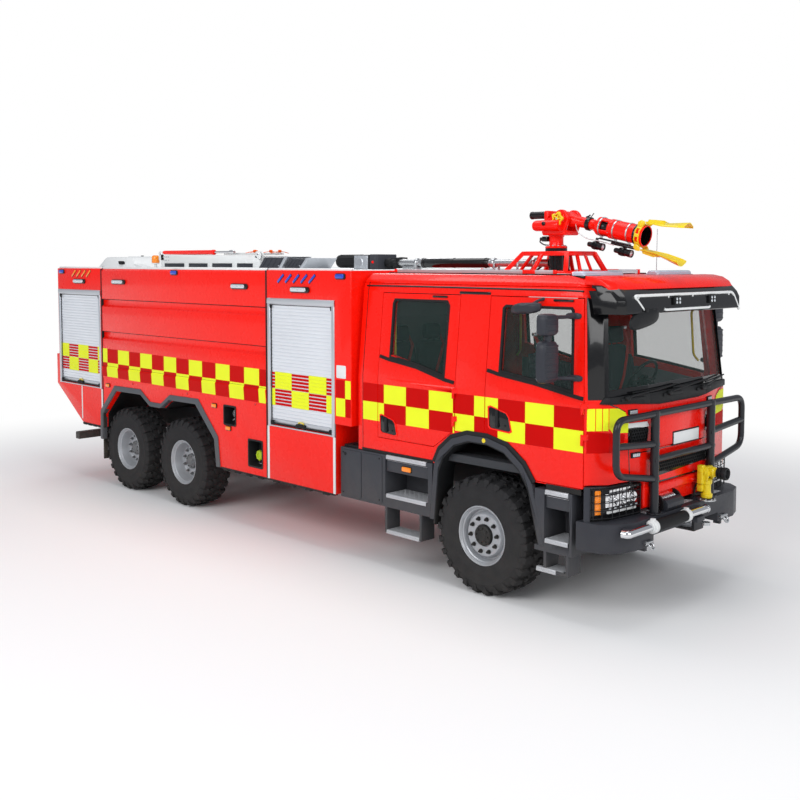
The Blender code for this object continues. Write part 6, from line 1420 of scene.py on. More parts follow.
for side in SIDES:
    y = side * POST_Y
    guard.tube([(BAR_X, y, POST_FOOT), (BAR_X, y, POST_TOP)], POST_RADIUS, 24)
    guard.tube([(BAR_X, y, WING_ROOT), (BAR_X, side * BAR_HALF, WING_END)], BAR_RADIUS, 24)
    guard.rod((BAR_X, y, 0.951), (BAR_X, y, POST_FOOT), 0.066, 28, bevel=0.003)
    for dx, dy in ((1, 1), (-1, 1), (1, -1), (-1, -1)):
        bolt_x, bolt_y = BAR_X + dx * BOLT_PLACE, y + dy * BOLT_PLACE
        guard.rod((bolt_x, bolt_y, 0.960), (bolt_x, bolt_y, 0.974), 0.009, 6)
    for z in (BAR_TOP, WING_ROOT, BAR_LOW, BAR_MIDDLE):
        guard.rod((BAR_X, y - 0.034, z), (BAR_X, y + 0.034, z), 0.036, 24, bevel=0.002)
    guard.box((1.405, y - 0.012, 1.18), (1.49, y + 0.012, 1.24), bevel=0.003)
guard.done("bull_bar")

# Bumper monitor

SPRAY_X, SPRAY_Y, SPRAY_Z = 1.56, 0.35, 1.235
SPRAY_FLANGE, SPRAY_BOLT_CIRCLE, SPRAY_BOLTS = 0.090, 0.074, 8
base = Piece("spray_base", "chassis", "steel", "chassis_paint", sharp=30)
base.rod((SPRAY_X, SPRAY_Y, 0.949), (SPRAY_X, SPRAY_Y, 0.962), SPRAY_FLANGE, 40, bevel=0.003)
for k in range(SPRAY_BOLTS):
    dx, dy = on_circle(SPRAY_BOLT_CIRCLE, k + 0.5, SPRAY_BOLTS)
    base.rod((SPRAY_X + dx, SPRAY_Y + dy, 0.960), (SPRAY_X + dx, SPRAY_Y + dy, 0.974), 0.009, 6, bevel=0.001)
base.rod((SPRAY_X, SPRAY_Y, 0.700), (SPRAY_X, SPRAY_Y, 0.730), 0.040, 24)
base.done()

# Outline of a cheek in (x, z), and (height, radius) of the column that turns under it.
SPRAY_CHEEK = [(1.525, 1.150), (1.595, 1.150), (1.612, 1.205), (1.606, 1.258), (1.585, 1.284), (1.545, 1.284),
               (1.518, 1.262), (1.508, 1.205)]
SPRAY_COLUMN = [(0.975, 0.0), (0.975, 0.052), (0.990, 0.056), (1.012, 0.056), (1.020, 0.044), (1.040, 0.040),
                (1.105, 0.040), (1.115, 0.050), (1.150, 0.052), (1.162, 0.040), (1.162, 0.0)]
stem = Piece("spray_stem", "bumper_turret", "yellow", "yellow_paint", sharp=40)
stem.turned(SPRAY_COLUMN, (SPRAY_X, SPRAY_Y, 0), "Z", 36)
stem.box((1.485, 0.285, 1.035), (1.545, 0.415, 1.110), bevel=0.010)
for side in SIDES:
    y = SPRAY_Y + side * 0.0545
    stem.prism(SPRAY_CHEEK, "Y", y - 0.010, y + 0.010, bevel=0.005)
    stem.rod(
        (SPRAY_X, y - 0.016 * side, SPRAY_Z), (SPRAY_X, y + side * 0.026, SPRAY_Z), 0.030, 24, bevel=0.004
    )
# drive box, gearbox and the box's plug
stem.box((1.497, 0.262, 1.112), (1.560, 0.328, 1.300), bevel=0.012, segments=3)
stem.box((1.472, 0.330, 1.145), (1.520, 0.385, 1.225), bevel=0.010)
stem.rod((1.530, 0.265, 1.250), (1.530, 0.252, 1.250), 0.020, 20, bevel=0.003)
stem.done("spray_turret")

# (x, radius) of the nozzle's body and of its grooved tip with the hollow mouth
SPRAY_BODY = [(1.505, 0.0), (1.505, 0.034), (1.520, 0.041), (1.600, 0.041), (1.608, 0.050), (1.640, 0.052),
              (1.650, 0.044), (1.676, 0.046), (1.676, 0.0)]
SPRAY_TIP = [(1.672, 0.0), (1.672, 0.046), (1.680, 0.056), (1.692, 0.056), (1.696, 0.048), (1.704, 0.048),
             (1.708, 0.060),
             (1.722, 0.060), (1.726, 0.050), (1.734, 0.050), (1.738, 0.062), (1.758, 0.063), (1.7745, 0.058),
             (1.7745, 0.046), (1.750, 0.036), (1.745, 0.014), (1.756, 0.012), (1.758, 0.0)]
nozzle = Piece("spray_body", "bumper_nozzle", "yellow", "yellow_paint", sharp=40)
nozzle.turned(SPRAY_BODY, (0, SPRAY_Y, SPRAY_Z), "X", 36)
nozzle.box((1.535, 0.318, 1.262), (1.590, 0.382, 1.285), bevel=0.006)
nozzle.done("spray_nozzle")
tip = Piece("spray_tip", "bumper_nozzle", "plastic", "anthracite_paint", sharp=30)
tip.turned(SPRAY_TIP, (0, SPRAY_Y, SPRAY_Z), "X", 40)
tip.done()

# Short leads that are clipped down at both ends: points, radius and how far their corners are rounded.
SPRAY_LEADS = (
    ([(1.456, 0.30, 0.955), (1.452, 0.300, 1.02), (1.466, 0.298, 1.09), (1.505, 0.295, 1.130)], 0.010, 0.05),
    ([(1.40, 0.22, 0.962), (1.47, 0.205, 0.975), (1.505, 0.215, 1.03), (1.498, 0.228, 1.06)], 0.008, 0.05),
    ([(1.36, -0.02, 0.964), (1.38, 0.10, 0.990), (1.40, 0.20, 0.966)], 0.011, 0.06),
)
leads = Piece("spray_leads", "chassis", "hose", "tyre", sharp=60)
for points, radius, bend in SPRAY_LEADS:
    leads.tube(points, radius, 12, bend=bend)
leads.done()

# Door mirrors

for side in SIDES:
    hand = HANDS[side]
    body = f"front_door_{hand}"
    shell = Piece(f"mirror_shells_{hand}", body, "anthracite", "cab_plastic", sharp=38)
    glass = Piece(f"mirror_glasses_{hand}", body, "mirror", "glass")
    y = side * 1.50
    for z0, z1, half in ((2.205, 2.585, 0.115), (2.625, 2.822, 0.108)):
        rings = []
        for x, share in (
            (1.052, 0.62), (1.046, 0.84), (1.030, 0.96), (0.985, 1.0), (0.958, 0.98), (0.954, 0.90)
        ):
            mid, tall = (z0 + z1) / 2, (z1 - z0) / 2
            ring = []
            for i in range(28):
                a = math.tau * i / 28
                w = half * (0.25 + 0.75 * share) * squared(math.cos, a, 0.42)
                h = tall * (0.12 + 0.88 * share) * squared(math.sin, a, 0.42)
                ring.append((x, y + w, mid + h))
            rings.append(ring)
        shell.skin(rings)
        # ribs on the back of the housing
        count = 6 if z1 - z0 > 0.3 else 3
        for k in range(count):
            z = z0 + (z1 - z0) * (k + 0.85) / (count + 0.7)
            shell.box((1.030, y - half * 0.80, z - 0.011), (1.0555, y + half * 0.80, z + 0.011), bevel=0.006)
        mid, tall = (z0 + z1) / 2, (z1 - z0) / 2
        glass.prism(
            [
                (y + half * 0.86 * a, mid + tall * 0.90 * b) for a,
                b in (
                    (-1, -0.86), (-0.86, -1), (0.86, -1), (1, -0.86), (1, 0.86), (0.86, 1), (-0.86, 1),
                    (-1, 0.86)
                )
            ],
            "X", 0.9505, 0.9555, bevel=0.002
        )
    shell.rod((1.00, y, 2.560), (1.00, y, 2.650), 0.034, 20, bevel=0.006)
    # arms and their feet on the door
    for z, root_z in ((2.245, 2.235), (2.790, 2.790)):
        skin = lean_out(root_z, 0.0)
        shell.tube(
            [
                (1.00, y - side * 0.06, z), (1.02, side * (skin + 0.12), z - 0.005),
                (1.100 - (0.05 if z > 2.5 else 0.0), side * (skin + 0.01), root_z)
            ],
            0.0168, 16, bend=0.05
        )
        rings = []
        for o, share in ((-0.004, 1.0), (0.014, 0.96), (0.028, 0.66)):
            rings.append([(1.085 - (0.055 if z > 2.5 else 0.0) + 0.085 * share * squared(math.cos,
                    math.tau * i / 20, 0.7), side * (skin + o),
                           root_z + 0.030 * share * squared(
                               math.sin, math.tau * i / 20, 0.7
                           )) for i in range(20)])
        shell.skin(rings)
    # wide angle mirror above the door window
    rings = []
    for dy, share in ((0.0, 0.72), (0.010, 0.95), (0.045, 1.0), (0.075, 0.84), (0.090, 0.5)):
        ring = []
        for i in range(26):
            a = math.tau * i / 26
            ring.append((0.58 + 0.170 * share * squared(math.cos, a, 0.6), side * (1.235 + dy),
                         2.850 + 0.052 * share * squared(math.sin, a, 0.7) + 0.020 * math.cos(a) * share))
        rings.append(ring)
    shell.skin(rings)
    shell.tube(
        [(0.62, side * 1.25, 2.880), (0.66, side * 1.18, 2.925), (0.68, side * 1.13, 2.935)], 0.014, 14,
        bend=0.03
    )
    shell.done()
    glass.done()
# Body: tank, lockers and their skin

BODY_HALF, BODY_BOTTOM = 1.275, 0.67
TANK_REAR, TANK_FRONT, JOINT = -7.235, -3.325, 0.010
REAR_BOTTOM = 0.84
REAR_ARCH = ((-7.320, 0.61), (-7.308, 1.091), (-6.896, 1.491), (-6.199, 1.50), (-5.941, 1.349),
             (-5.669, 1.349),
             (-5.441, 1.491), (-4.775, 1.50), (-4.335, 1.055), (-4.290, 0.61))
REAR_ARCH_INNER = ((-7.245, 0.61), (-7.2335, 1.050), (-6.842, 1.417), (-6.179, 1.425), (-5.936, 1.286),
                   (-5.675, 1.286),
                   (-5.459, 1.417), (-4.826, 1.425), (-4.408, 1.018), (-4.365, 0.61))
FOLD_TOP, FOLD_EDGE, FOLD_FOOT, FOLD_OUT = 1.762, 1.738, 1.520, 0.014

tank = softened("tank_shell", "chassis", "red", "red_paint", "tank_body", bevel=0.008)
for side in SIDES:
    tank.prism([(side * (BODY_HALF - 0.004), FOLD_TOP), (side * (BODY_HALF + FOLD_OUT), FOLD_EDGE),
                (side * (BODY_HALF - 0.004), FOLD_FOOT)],
               "X", TANK_REAR + 0.002, TANK_FRONT - 0.002)
tank.done("tank_body")
softened(
    "front_locker_shell", "chassis", "red", "red_paint", "front_locker", bevel=0.008
).done("front_locker")
softened("rear_locker_shell", "chassis", "red", "red_paint", "rear_locker", bevel=0.008).done("rear_locker")

# dark joints between the three bodies, the roof deck and its gutter
joints = Piece("body_joint_seals", "chassis", "rubber", "cab_plastic")
for x, foot in ((TANK_REAR - JOINT / 2, REAR_BOTTOM), (TANK_FRONT + JOINT / 2, BODY_BOTTOM)):
    for side in SIDES:
        y0, y1 = across(side, 1.24, 1.2775)
        joints.box((x - 0.015, y0, foot), (x + 0.015, y1, 3.176), bevel=0.002)
    joints.box((x - 0.015, -1.25, 3.15), (x + 0.015, 1.25, 3.184), bevel=0.002)
joints.done()
deck = Piece("body_roof_deck", "chassis", "white", "white_paint")
for x0, x1 in (
    (-8.565, TANK_REAR - JOINT - 0.012), (TANK_REAR + 0.012, TANK_FRONT - 0.012),
    (TANK_FRONT + JOINT + 0.012, -1.835)
):
    deck.box((x0, -1.245, 3.176), (x1, 1.245, 3.186), bevel=0.003)
    for side in SIDES:
        deck.prism(handed(side, (1.252, 3.176), (1.252, 3.198), (1.240, 3.206), (1.226, 3.198),
                          (1.226, 3.176)),
                   "X", x0, x1, bevel=0.002)
deck.done()

# wheel arch trims with their inner lip, and the liner over the rear wheels
for side in SIDES:
    hand = HANDS[side]
    trim = Piece(f"rear_arch_trim_{hand}", "chassis", "arch_grey", "anthracite_paint", sharp=40)
    outer = [(x, max(z, BODY_BOTTOM)) for x, z in REAR_ARCH]
    inner = [(x, max(z, BODY_BOTTOM)) for x, z in REAR_ARCH_INNER]
    middle = [((a[0] * 0.3 + b[0] * 0.7), (a[1] * 0.3 + b[1] * 0.7)) for a, b in zip(outer, inner)]
    surface = side * BODY_HALF
    rings = []
    for k in range(len(outer)):
        o, m, i = outer[k], middle[k], inner[k]
        rings.append([(o[0], surface - side * 0.004, o[1]), (o[0], surface + side * 0.012, o[1]),
                      (m[0], surface + side * 0.024, m[1]),
                      (i[0], surface + side * 0.018, i[1]), (i[0], surface - side * 0.060, i[1])])
    trim.skin(rings, bevel=0.004)
    trim.done()
    liner = Piece(f"rear_arch_liner_{hand}", "chassis", "plastic", "cab_plastic")
    rings = []
    for x, z in REAR_ARCH_INNER:
        grown = (x, max(z, BODY_BOTTOM) - 0.006)
        rings.append([(grown[0], side * 0.60, grown[1]), (grown[0], side * 1.20, grown[1]),
                      (grown[0], side * 1.20, grown[1] - 0.010),
                      (grown[0], side * 0.60, grown[1] - 0.010)])
    liner.skin(rings)
    for k in range(1, len(REAR_ARCH_INNER) - 1):
        x, z = REAR_ARCH_INNER[k]
        liner.rod((x, side * 0.66, z - 0.02), (x, side * 1.17, z - 0.02), 0.010, 10)
    liner.done()
    flap = Piece(f"mud_flap_{hand}", "chassis", "rubber", "cab_plastic")
    y0, y1 = across(side, 0.836, 1.224)
    flap.box((-7.355, y0, 0.357), (-7.325, y1, 0.83), bevel=0.006)
    for k in range(7):
        y = y0 + 0.05 + k * 0.048
        flap.box((-7.360, y - 0.006, 0.40), (-7.320, y + 0.006, 0.70), bevel=0.002)
    flap.box((-7.364, y0 - 0.004, 0.765), (-7.316, y1 + 0.004, 0.80), bevel=0.004)
    flap.done()
    bolts = Piece(f"mud_flap_bolts_{hand}", "chassis", "steel", "chassis_paint")
    for k in range(5):
        y = y0 + 0.04 + k * 0.077
        bolts.turned(
            [(-7.372, 0.0), (-7.372, 0.008), (-7.364, 0.011), (-7.310, 0.011), (-7.310, 0.0)], (0, y, 0.782),
            "X", 6
        )
    bolts.done()

# Body: check band

CELL_PITCH, BAND_RISE, BAND_ROW = 0.302, 0.0085, 0.203
BAND_START = -1.7
TANK_FILM_OUT, TANK_FILM_DEPTH = 0.0018, 0.002
SLAT_PITCH, SHUTTER_FACE = 0.040, 1.260


def band_top(x):
    """Height of the band's upper edge, which rises a little towards the back."""
    return BAND_TOP + BAND_RISE * (BAND_START - x)


def cells(edges, first_yellow, level=None):
    """Cells of the band between edges: x0, x1, row foot, row top and whether it is yellow.

    level is the upper edge's height where the band doesn't rise.
    """
    made = []
    for k, (x0, x1) in enumerate(zip(edges, edges[1:])):
        top = band_top((x0 + x1) / 2) if level is None else level
        for row in (0, 1):
            yellow = (k + row) % 2 == (0 if first_yellow else 1)
            made.append((x0, x1, top - BAND_ROW * (row + 1), top - BAND_ROW * row, yellow))
    return made


def fold_out(z):
    """How far the tank's fold stands out at a height."""
    if FOLD_EDGE < z < FOLD_TOP:
        return FOLD_OUT * (FOLD_TOP - z) / (FOLD_TOP - FOLD_EDGE)
    if FOLD_FOOT < z <= FOLD_EDGE:
        return FOLD_OUT * (z - FOLD_FOOT) / (FOLD_EDGE - FOLD_FOOT)
    return 0.0


TANK_EDGES = [TANK_REAR + 0.014] + [-3.47 - CELL_PITCH * k for k in range(12, -1, -1)] + [TANK_FRONT - 0.014]
for side in SIDES:
    hand = HANDS[side]
    for yellow in (True, False):
        finish = "yellow_film" if yellow else "dark_red"
        piece = Piece(
            f"tank_band_{finish}_{hand}", "chassis", finish, "yellow_paint" if yellow else "red_paint",
            sharp=25
        )
        for x0, x1, z0, z1, is_yellow in cells(TANK_EDGES, True):
            if is_yellow != yellow:
                continue
            levels = [z1] + [z for z in (FOLD_TOP, FOLD_EDGE) if z0 < z < z1] + [z0]
            rings = []
            for x in (x0, x1):
                face = [(x, side * (BODY_HALF + fold_out(z) + TANK_FILM_OUT), z) for z in levels]
                back = [(x, side * (BODY_HALF + fold_out(z) - TANK_FILM_DEPTH), z) for z in reversed(levels)]
                rings.append(face + back)
            piece.skin(rings)
        for x0, x1, z0, z1, is_yellow in cells([-2.070, -1.917, -1.828], False):
            if is_yellow == yellow:
                band_cell(piece, side, BODY_HALF, x0, x1, z0, z1)
        piece.done()

# Body: roller shutters

# Opening of each shutter: back, front, foot, top, and its check cells' edges with the first one's colour.
SHUTTERS = {
    "front": (-3.27, -2.11, 1.34, 2.82, (-3.240, -3.178, -2.869, -2.557, -2.250, -2.140), False),
    "rear": (-8.53, -7.29, 1.43, 2.83, (-8.500, -8.284, -7.992, -7.684, -7.404, -7.320), True),
}
SLAT_GROOVE = 0.005


def slat_section(foot, top, depth):
    """Outline of a curtain of slats as (height, out) points, its face at 0 and its back at -depth."""
    count = round((top - foot) / SLAT_PITCH)
    pitch = (top - foot) / count
    points = [(foot, -depth)]
    for k in range(count):
        low = foot + pitch * k
        points += [
            (low, -SLAT_GROOVE), (low + 0.004, -0.001), (low + 0.012, 0.0), (low + pitch - 0.012, 0.0),
            (low + pitch - 0.004, -0.001)
        ]
    points += [(top, -SLAT_GROOVE), (top, -depth)]
    return points, pitch


def film_strips(piece, at, x0, x1, z0, z1, foot, top, share):
    """Film on the slats: a strip on each slat that lies in the cell."""
    count = round((top - foot) / SLAT_PITCH)
    pitch = (top - foot) / count
    for k in range(count):
        middle = foot + pitch * (k + 0.5)
        if z0 <= middle <= z1:
            low, high = middle - pitch * share / 2, middle + pitch * share / 2
            corners = [
                [at(x, z, out) for x in (x0, x1)] for z,
                out in ((low, 0.0008), (high, 0.0008), (high, -0.002), (low, -0.002))
            ]
            piece.skin([[c[0] for c in corners], [c[1] for c in corners]])


def shutter(label, node, at, span, foot, top, edges, first_yellow, level=None):
    """Slatted curtain with its film, rails, cover strip, lift bar and latches.

    at() gives a place from a distance along the side, a height and how far out it lies. level is
    the band's height where it doesn't rise.
    """
    back, front = span
    curtain = Piece(f"curtain_{label}", "chassis", "shutter", "shutter_aluminium", sharp=20)
    points, _ = slat_section(foot + 0.075, top, 0.012)
    curtain.skin([[at(x, z, out) for z, out in points] for x in (back + 0.012, front - 0.012)])
    curtain.done(node)
    film = {True: Piece(f"curtain_yellow_{label}", "chassis", "yellow_film", "yellow_paint"),
            False: Piece(f"curtain_red_{label}", "chassis", "dark_red", "red_paint")}
    for x0, x1, z0, z1, yellow in cells(list(edges), first_yellow, level):
        film_strips(film[yellow], at, x0, x1, z0, z1, foot + 0.075, top, 0.97 if yellow else 0.70)
    for piece in film.values():
        piece.done()
    frame_piece = Piece(f"shutter_frame_{label}", "chassis", "frame_silver", "shutter_aluminium", sharp=30)
    for x0, x1 in ((back - 0.022, back + 0.026), (front - 0.026, front + 0.022)):
        rings = []
        for z in (foot - 0.02, top + 0.03):
            rings.append(
                [
                    at(x, z, out) for x,
                    out in (
                        (x0, 0.012), (x0, 0.023), (x0 + 0.006, 0.027), (x1 - 0.006, 0.027), (x1, 0.023),
                        (x1, 0.002)
                    )
                ]
            )
        frame_piece.skin(rings, bevel=0.0015)
    rings = [[at(x, z, out) for z, out in ((top - 0.045, 0.002), (top - 0.045, 0.020), (top - 0.030, 0.030),
                                           (top + 0.022, 0.030), (top + 0.032, 0.020), (top + 0.032, 0.010))]
             for x in (back - 0.022, front + 0.022)]
    frame_piece.skin(rings, bevel=0.0015)
    # bottom slat with its lift bar
    rings = [[at(x, z, out) for z, out in ((foot + 0.012, -0.010), (foot + 0.012, 0.002),
                                           (foot + 0.070, 0.002), (foot + 0.076, -0.010))]
             for x in (back + 0.012, front - 0.012)]
    frame_piece.skin(rings, bevel=0.001)
    frame_piece.skin([[at(x, foot - 0.016 + h, out) for h,
                       out in ((0, 0.010), (0, 0.026), (0.014, 0.026), (0.014, 0.010))]
                      for x in (back - 0.022, front + 0.022)], bevel=0.0015)
    frame_piece.done()
    seal = Piece(f"shutter_seal_{label}", "chassis", "rubber", "cab_plastic")
    for x0, x1 in ((back + 0.026, back + 0.036), (front - 0.036, front - 0.026)):
        seal.skin(
            [
                [at(x, z, out) for x, out in ((x0, -0.004), (x0, 0.006), (x1, 0.003), (x1, -0.004))]
                for z in (foot, top - 0.045)
            ]
        )
    seal.skin(
        [
            [at(x, z, out) for z, out in ((top - 0.058, -0.004), (top - 0.045, 0.008), (top - 0.045, -0.004))]
            for x in (back + 0.03, front - 0.03)
        ]
    )
    seal.done()
    bar = Piece(f"lift_bar_{label}", "chassis", "plastic", "cab_plastic")
    bar.tube([at(back + 0.05, foot + 0.022, 0.018), at(front - 0.05, foot + 0.022, 0.018)], 0.009, 12)
    middle = (back + front) / 2
    for x in (back + 0.055, middle - 0.06, middle + 0.06, front - 0.055):
        half = 0.024
        bar.skin([[at(x - half, foot + h, out) for h,
                   out in ((0.004, -0.002), (0.004, 0.022), (0.030, 0.032), (0.052, 0.016), (0.056, -0.002))],
                  [
                      at(x + half, foot + h, out) for h,
                      out in (
                          (0.004, -0.002), (0.004, 0.022), (0.030, 0.032), (0.052, 0.016), (0.056, -0.002)
                      )
                  ]], bevel=0.003)
    bar.skin(
        [
            [at(x, foot + h, out) for h, out in ((0.030, 0.0), (0.030, 0.026), (0.054, 0.026), (0.058, 0.0))]
            for x in (middle - 0.07, middle + 0.07)
        ],
        bevel=0.004
    )
    for x in (back + 0.034, front - 0.034):
        bar.skin(
            [
                [
                    at(x + w, top - 0.09 + h, out) for h,
                    out in ((0, 0.0), (0, 0.022), (0.045, 0.030), (0.06, 0.0))
                ]
                for w in (-0.010, 0.010)
            ],
            bevel=0.003
        )
    bar.done()
    strap = Piece(f"lift_strap_{label}", "chassis", "yellow", "yellow_paint")
    strap.tube([at(middle - 0.05, foot + 0.060, 0.006), at(middle - 0.03, foot + 0.078, 0.020),
                at(middle + 0.03, foot + 0.078, 0.020),
                at(middle + 0.05, foot + 0.060, 0.006)], 0.007, 10, bend=0.02)
    strap.done()


for side in SIDES:
    for row, (back, front, foot, top, edges, first_yellow) in SHUTTERS.items():
        shutter(f"{row}_{HANDS[side]}", f"shutter_{row}_{HANDS[side]}", lambda x, z, out,
                s=side: (x, s * (SHUTTER_FACE + out), z),
                (back, front), foot, top, edges, first_yellow)
REAR_FACE, TAIL_SPAN = -8.565, (-0.62, 0.62)
TAIL_CELL = 0.295
TAIL_EDGES = [TAIL_CELL * k for k in range(-2, 3)]
TAIL_BAND_TOP = band_top(-8.5)


def on_tail(y, z, out):
    """Place on the tail shutter from a place across, a height and how far out it lies."""
    return (REAR_FACE - out, y, z)


shutter("tail", "shutter_tail", on_tail, TAIL_SPAN, 1.45, 2.80, TAIL_EDGES, True, TAIL_BAND_TOP)

# Body: trims, lamps, pockets

# Lamps on the upper body, as places in the side view.
# Work lamps: start, end and height.
WORK_LAMPS = (
    (-8.044, -7.734, 2.988), (-6.902, -6.582, 2.992), (-4.002, -3.705, 2.977), (-2.840, -2.543, 2.958)
)
# Blue lamps, side markers and red studs: middle and height.
BLUE_LAMPS = ((-8.436, 3.130), (-5.295, 3.135), (-1.986, 3.118))
SIDE_MARKERS = ((-7.086, 1.481), (-4.407, 1.449), (-4.106, 1.192))
RED_STUDS = ((-5.027, 1.548), (-6.40, 1.560), (-3.55, 1.548))
# Slanted flashers: finish, first foot and top, height of feet and tops, count and pitch.
FLASHERS = (
    ("amber", -8.114, -7.995, 3.060, 3.149, 4, 0.150), ("blue_lens", -3.090, -2.984, 3.040, 3.128, 5, 0.142)
)
LAMP_LENSES = 7
TANK_GROOVES, GROOVE_DEEP = (2.27, 2.74), 0.028
# Upright white trims: middle, foot, top and half width.
WHITE_TRIMS = (
    (-3.290, BODY_BOTTOM + 0.01, 1.32, 0.018), (-2.098, BODY_BOTTOM + 0.01, 1.32, 0.018),
    (-7.262, REAR_BOTTOM + 0.02, 1.41, 0.018), (-7.867, REAR_BOTTOM + 0.07, 1.41, 0.012),
)
# Rubber feet under the body: start, end and height of the edge.
BODY_FEET = (
    (-4.28, TANK_FRONT - 0.01, BODY_BOTTOM), (TANK_FRONT + 0.02, -2.095, BODY_BOTTOM),
    (-7.86, -7.26, REAR_BOTTOM + 0.01),
)
# Pockets in the tank's side: x0, x1, z0, z1; then the middle of the filler and of the upper coupling.
POCKETS = ((-4.20, -3.96, 1.24, 1.47), (-3.69, -3.42, 0.78, 1.10))
POCKET_DEPTH, POCKET_CORNER = 0.150, 0.022
FILLER, COUPLING = (-3.545, 0.915), (-4.09, 1.37)
CAP_GRIPS, CAP_GRIP_CIRCLE = 8, 0.058


def oblong(x0, x1, z0, z1, corner, steps=4):
    """Outline of an oblong with round corners."""
    corners = ((x1 - corner, z1 - corner, 0), (x0 + corner, z1 - corner, 90),
               (x0 + corner, z0 + corner, 180), (x1 - corner, z0 + corner, 270))
    points = []
    for cx, cz, start in corners:
        for k in range(steps + 1):
            angle = math.radians(start + 90 * k / steps)
            points.append((cx + corner * math.cos(angle), cz + corner * math.sin(angle)))
    return points


def oblong_on(piece, side, x0, x1, z0, z1, corner, out, depth, bevel, surface=BODY_HALF):
    """Oblong panel on a flat side."""
    on_side(piece, oblong(x0, x1, z0, z1, corner), side, surface, out=out, depth=depth, bevel=bevel)


def stud_on(piece, side, surface, x, z, profile, steps):
    """Round form on a flat side from its (out, radius) points."""
    piece.turned([(side * (surface + out), radius) for out, radius in profile], (x, 0, z), "Y", steps)


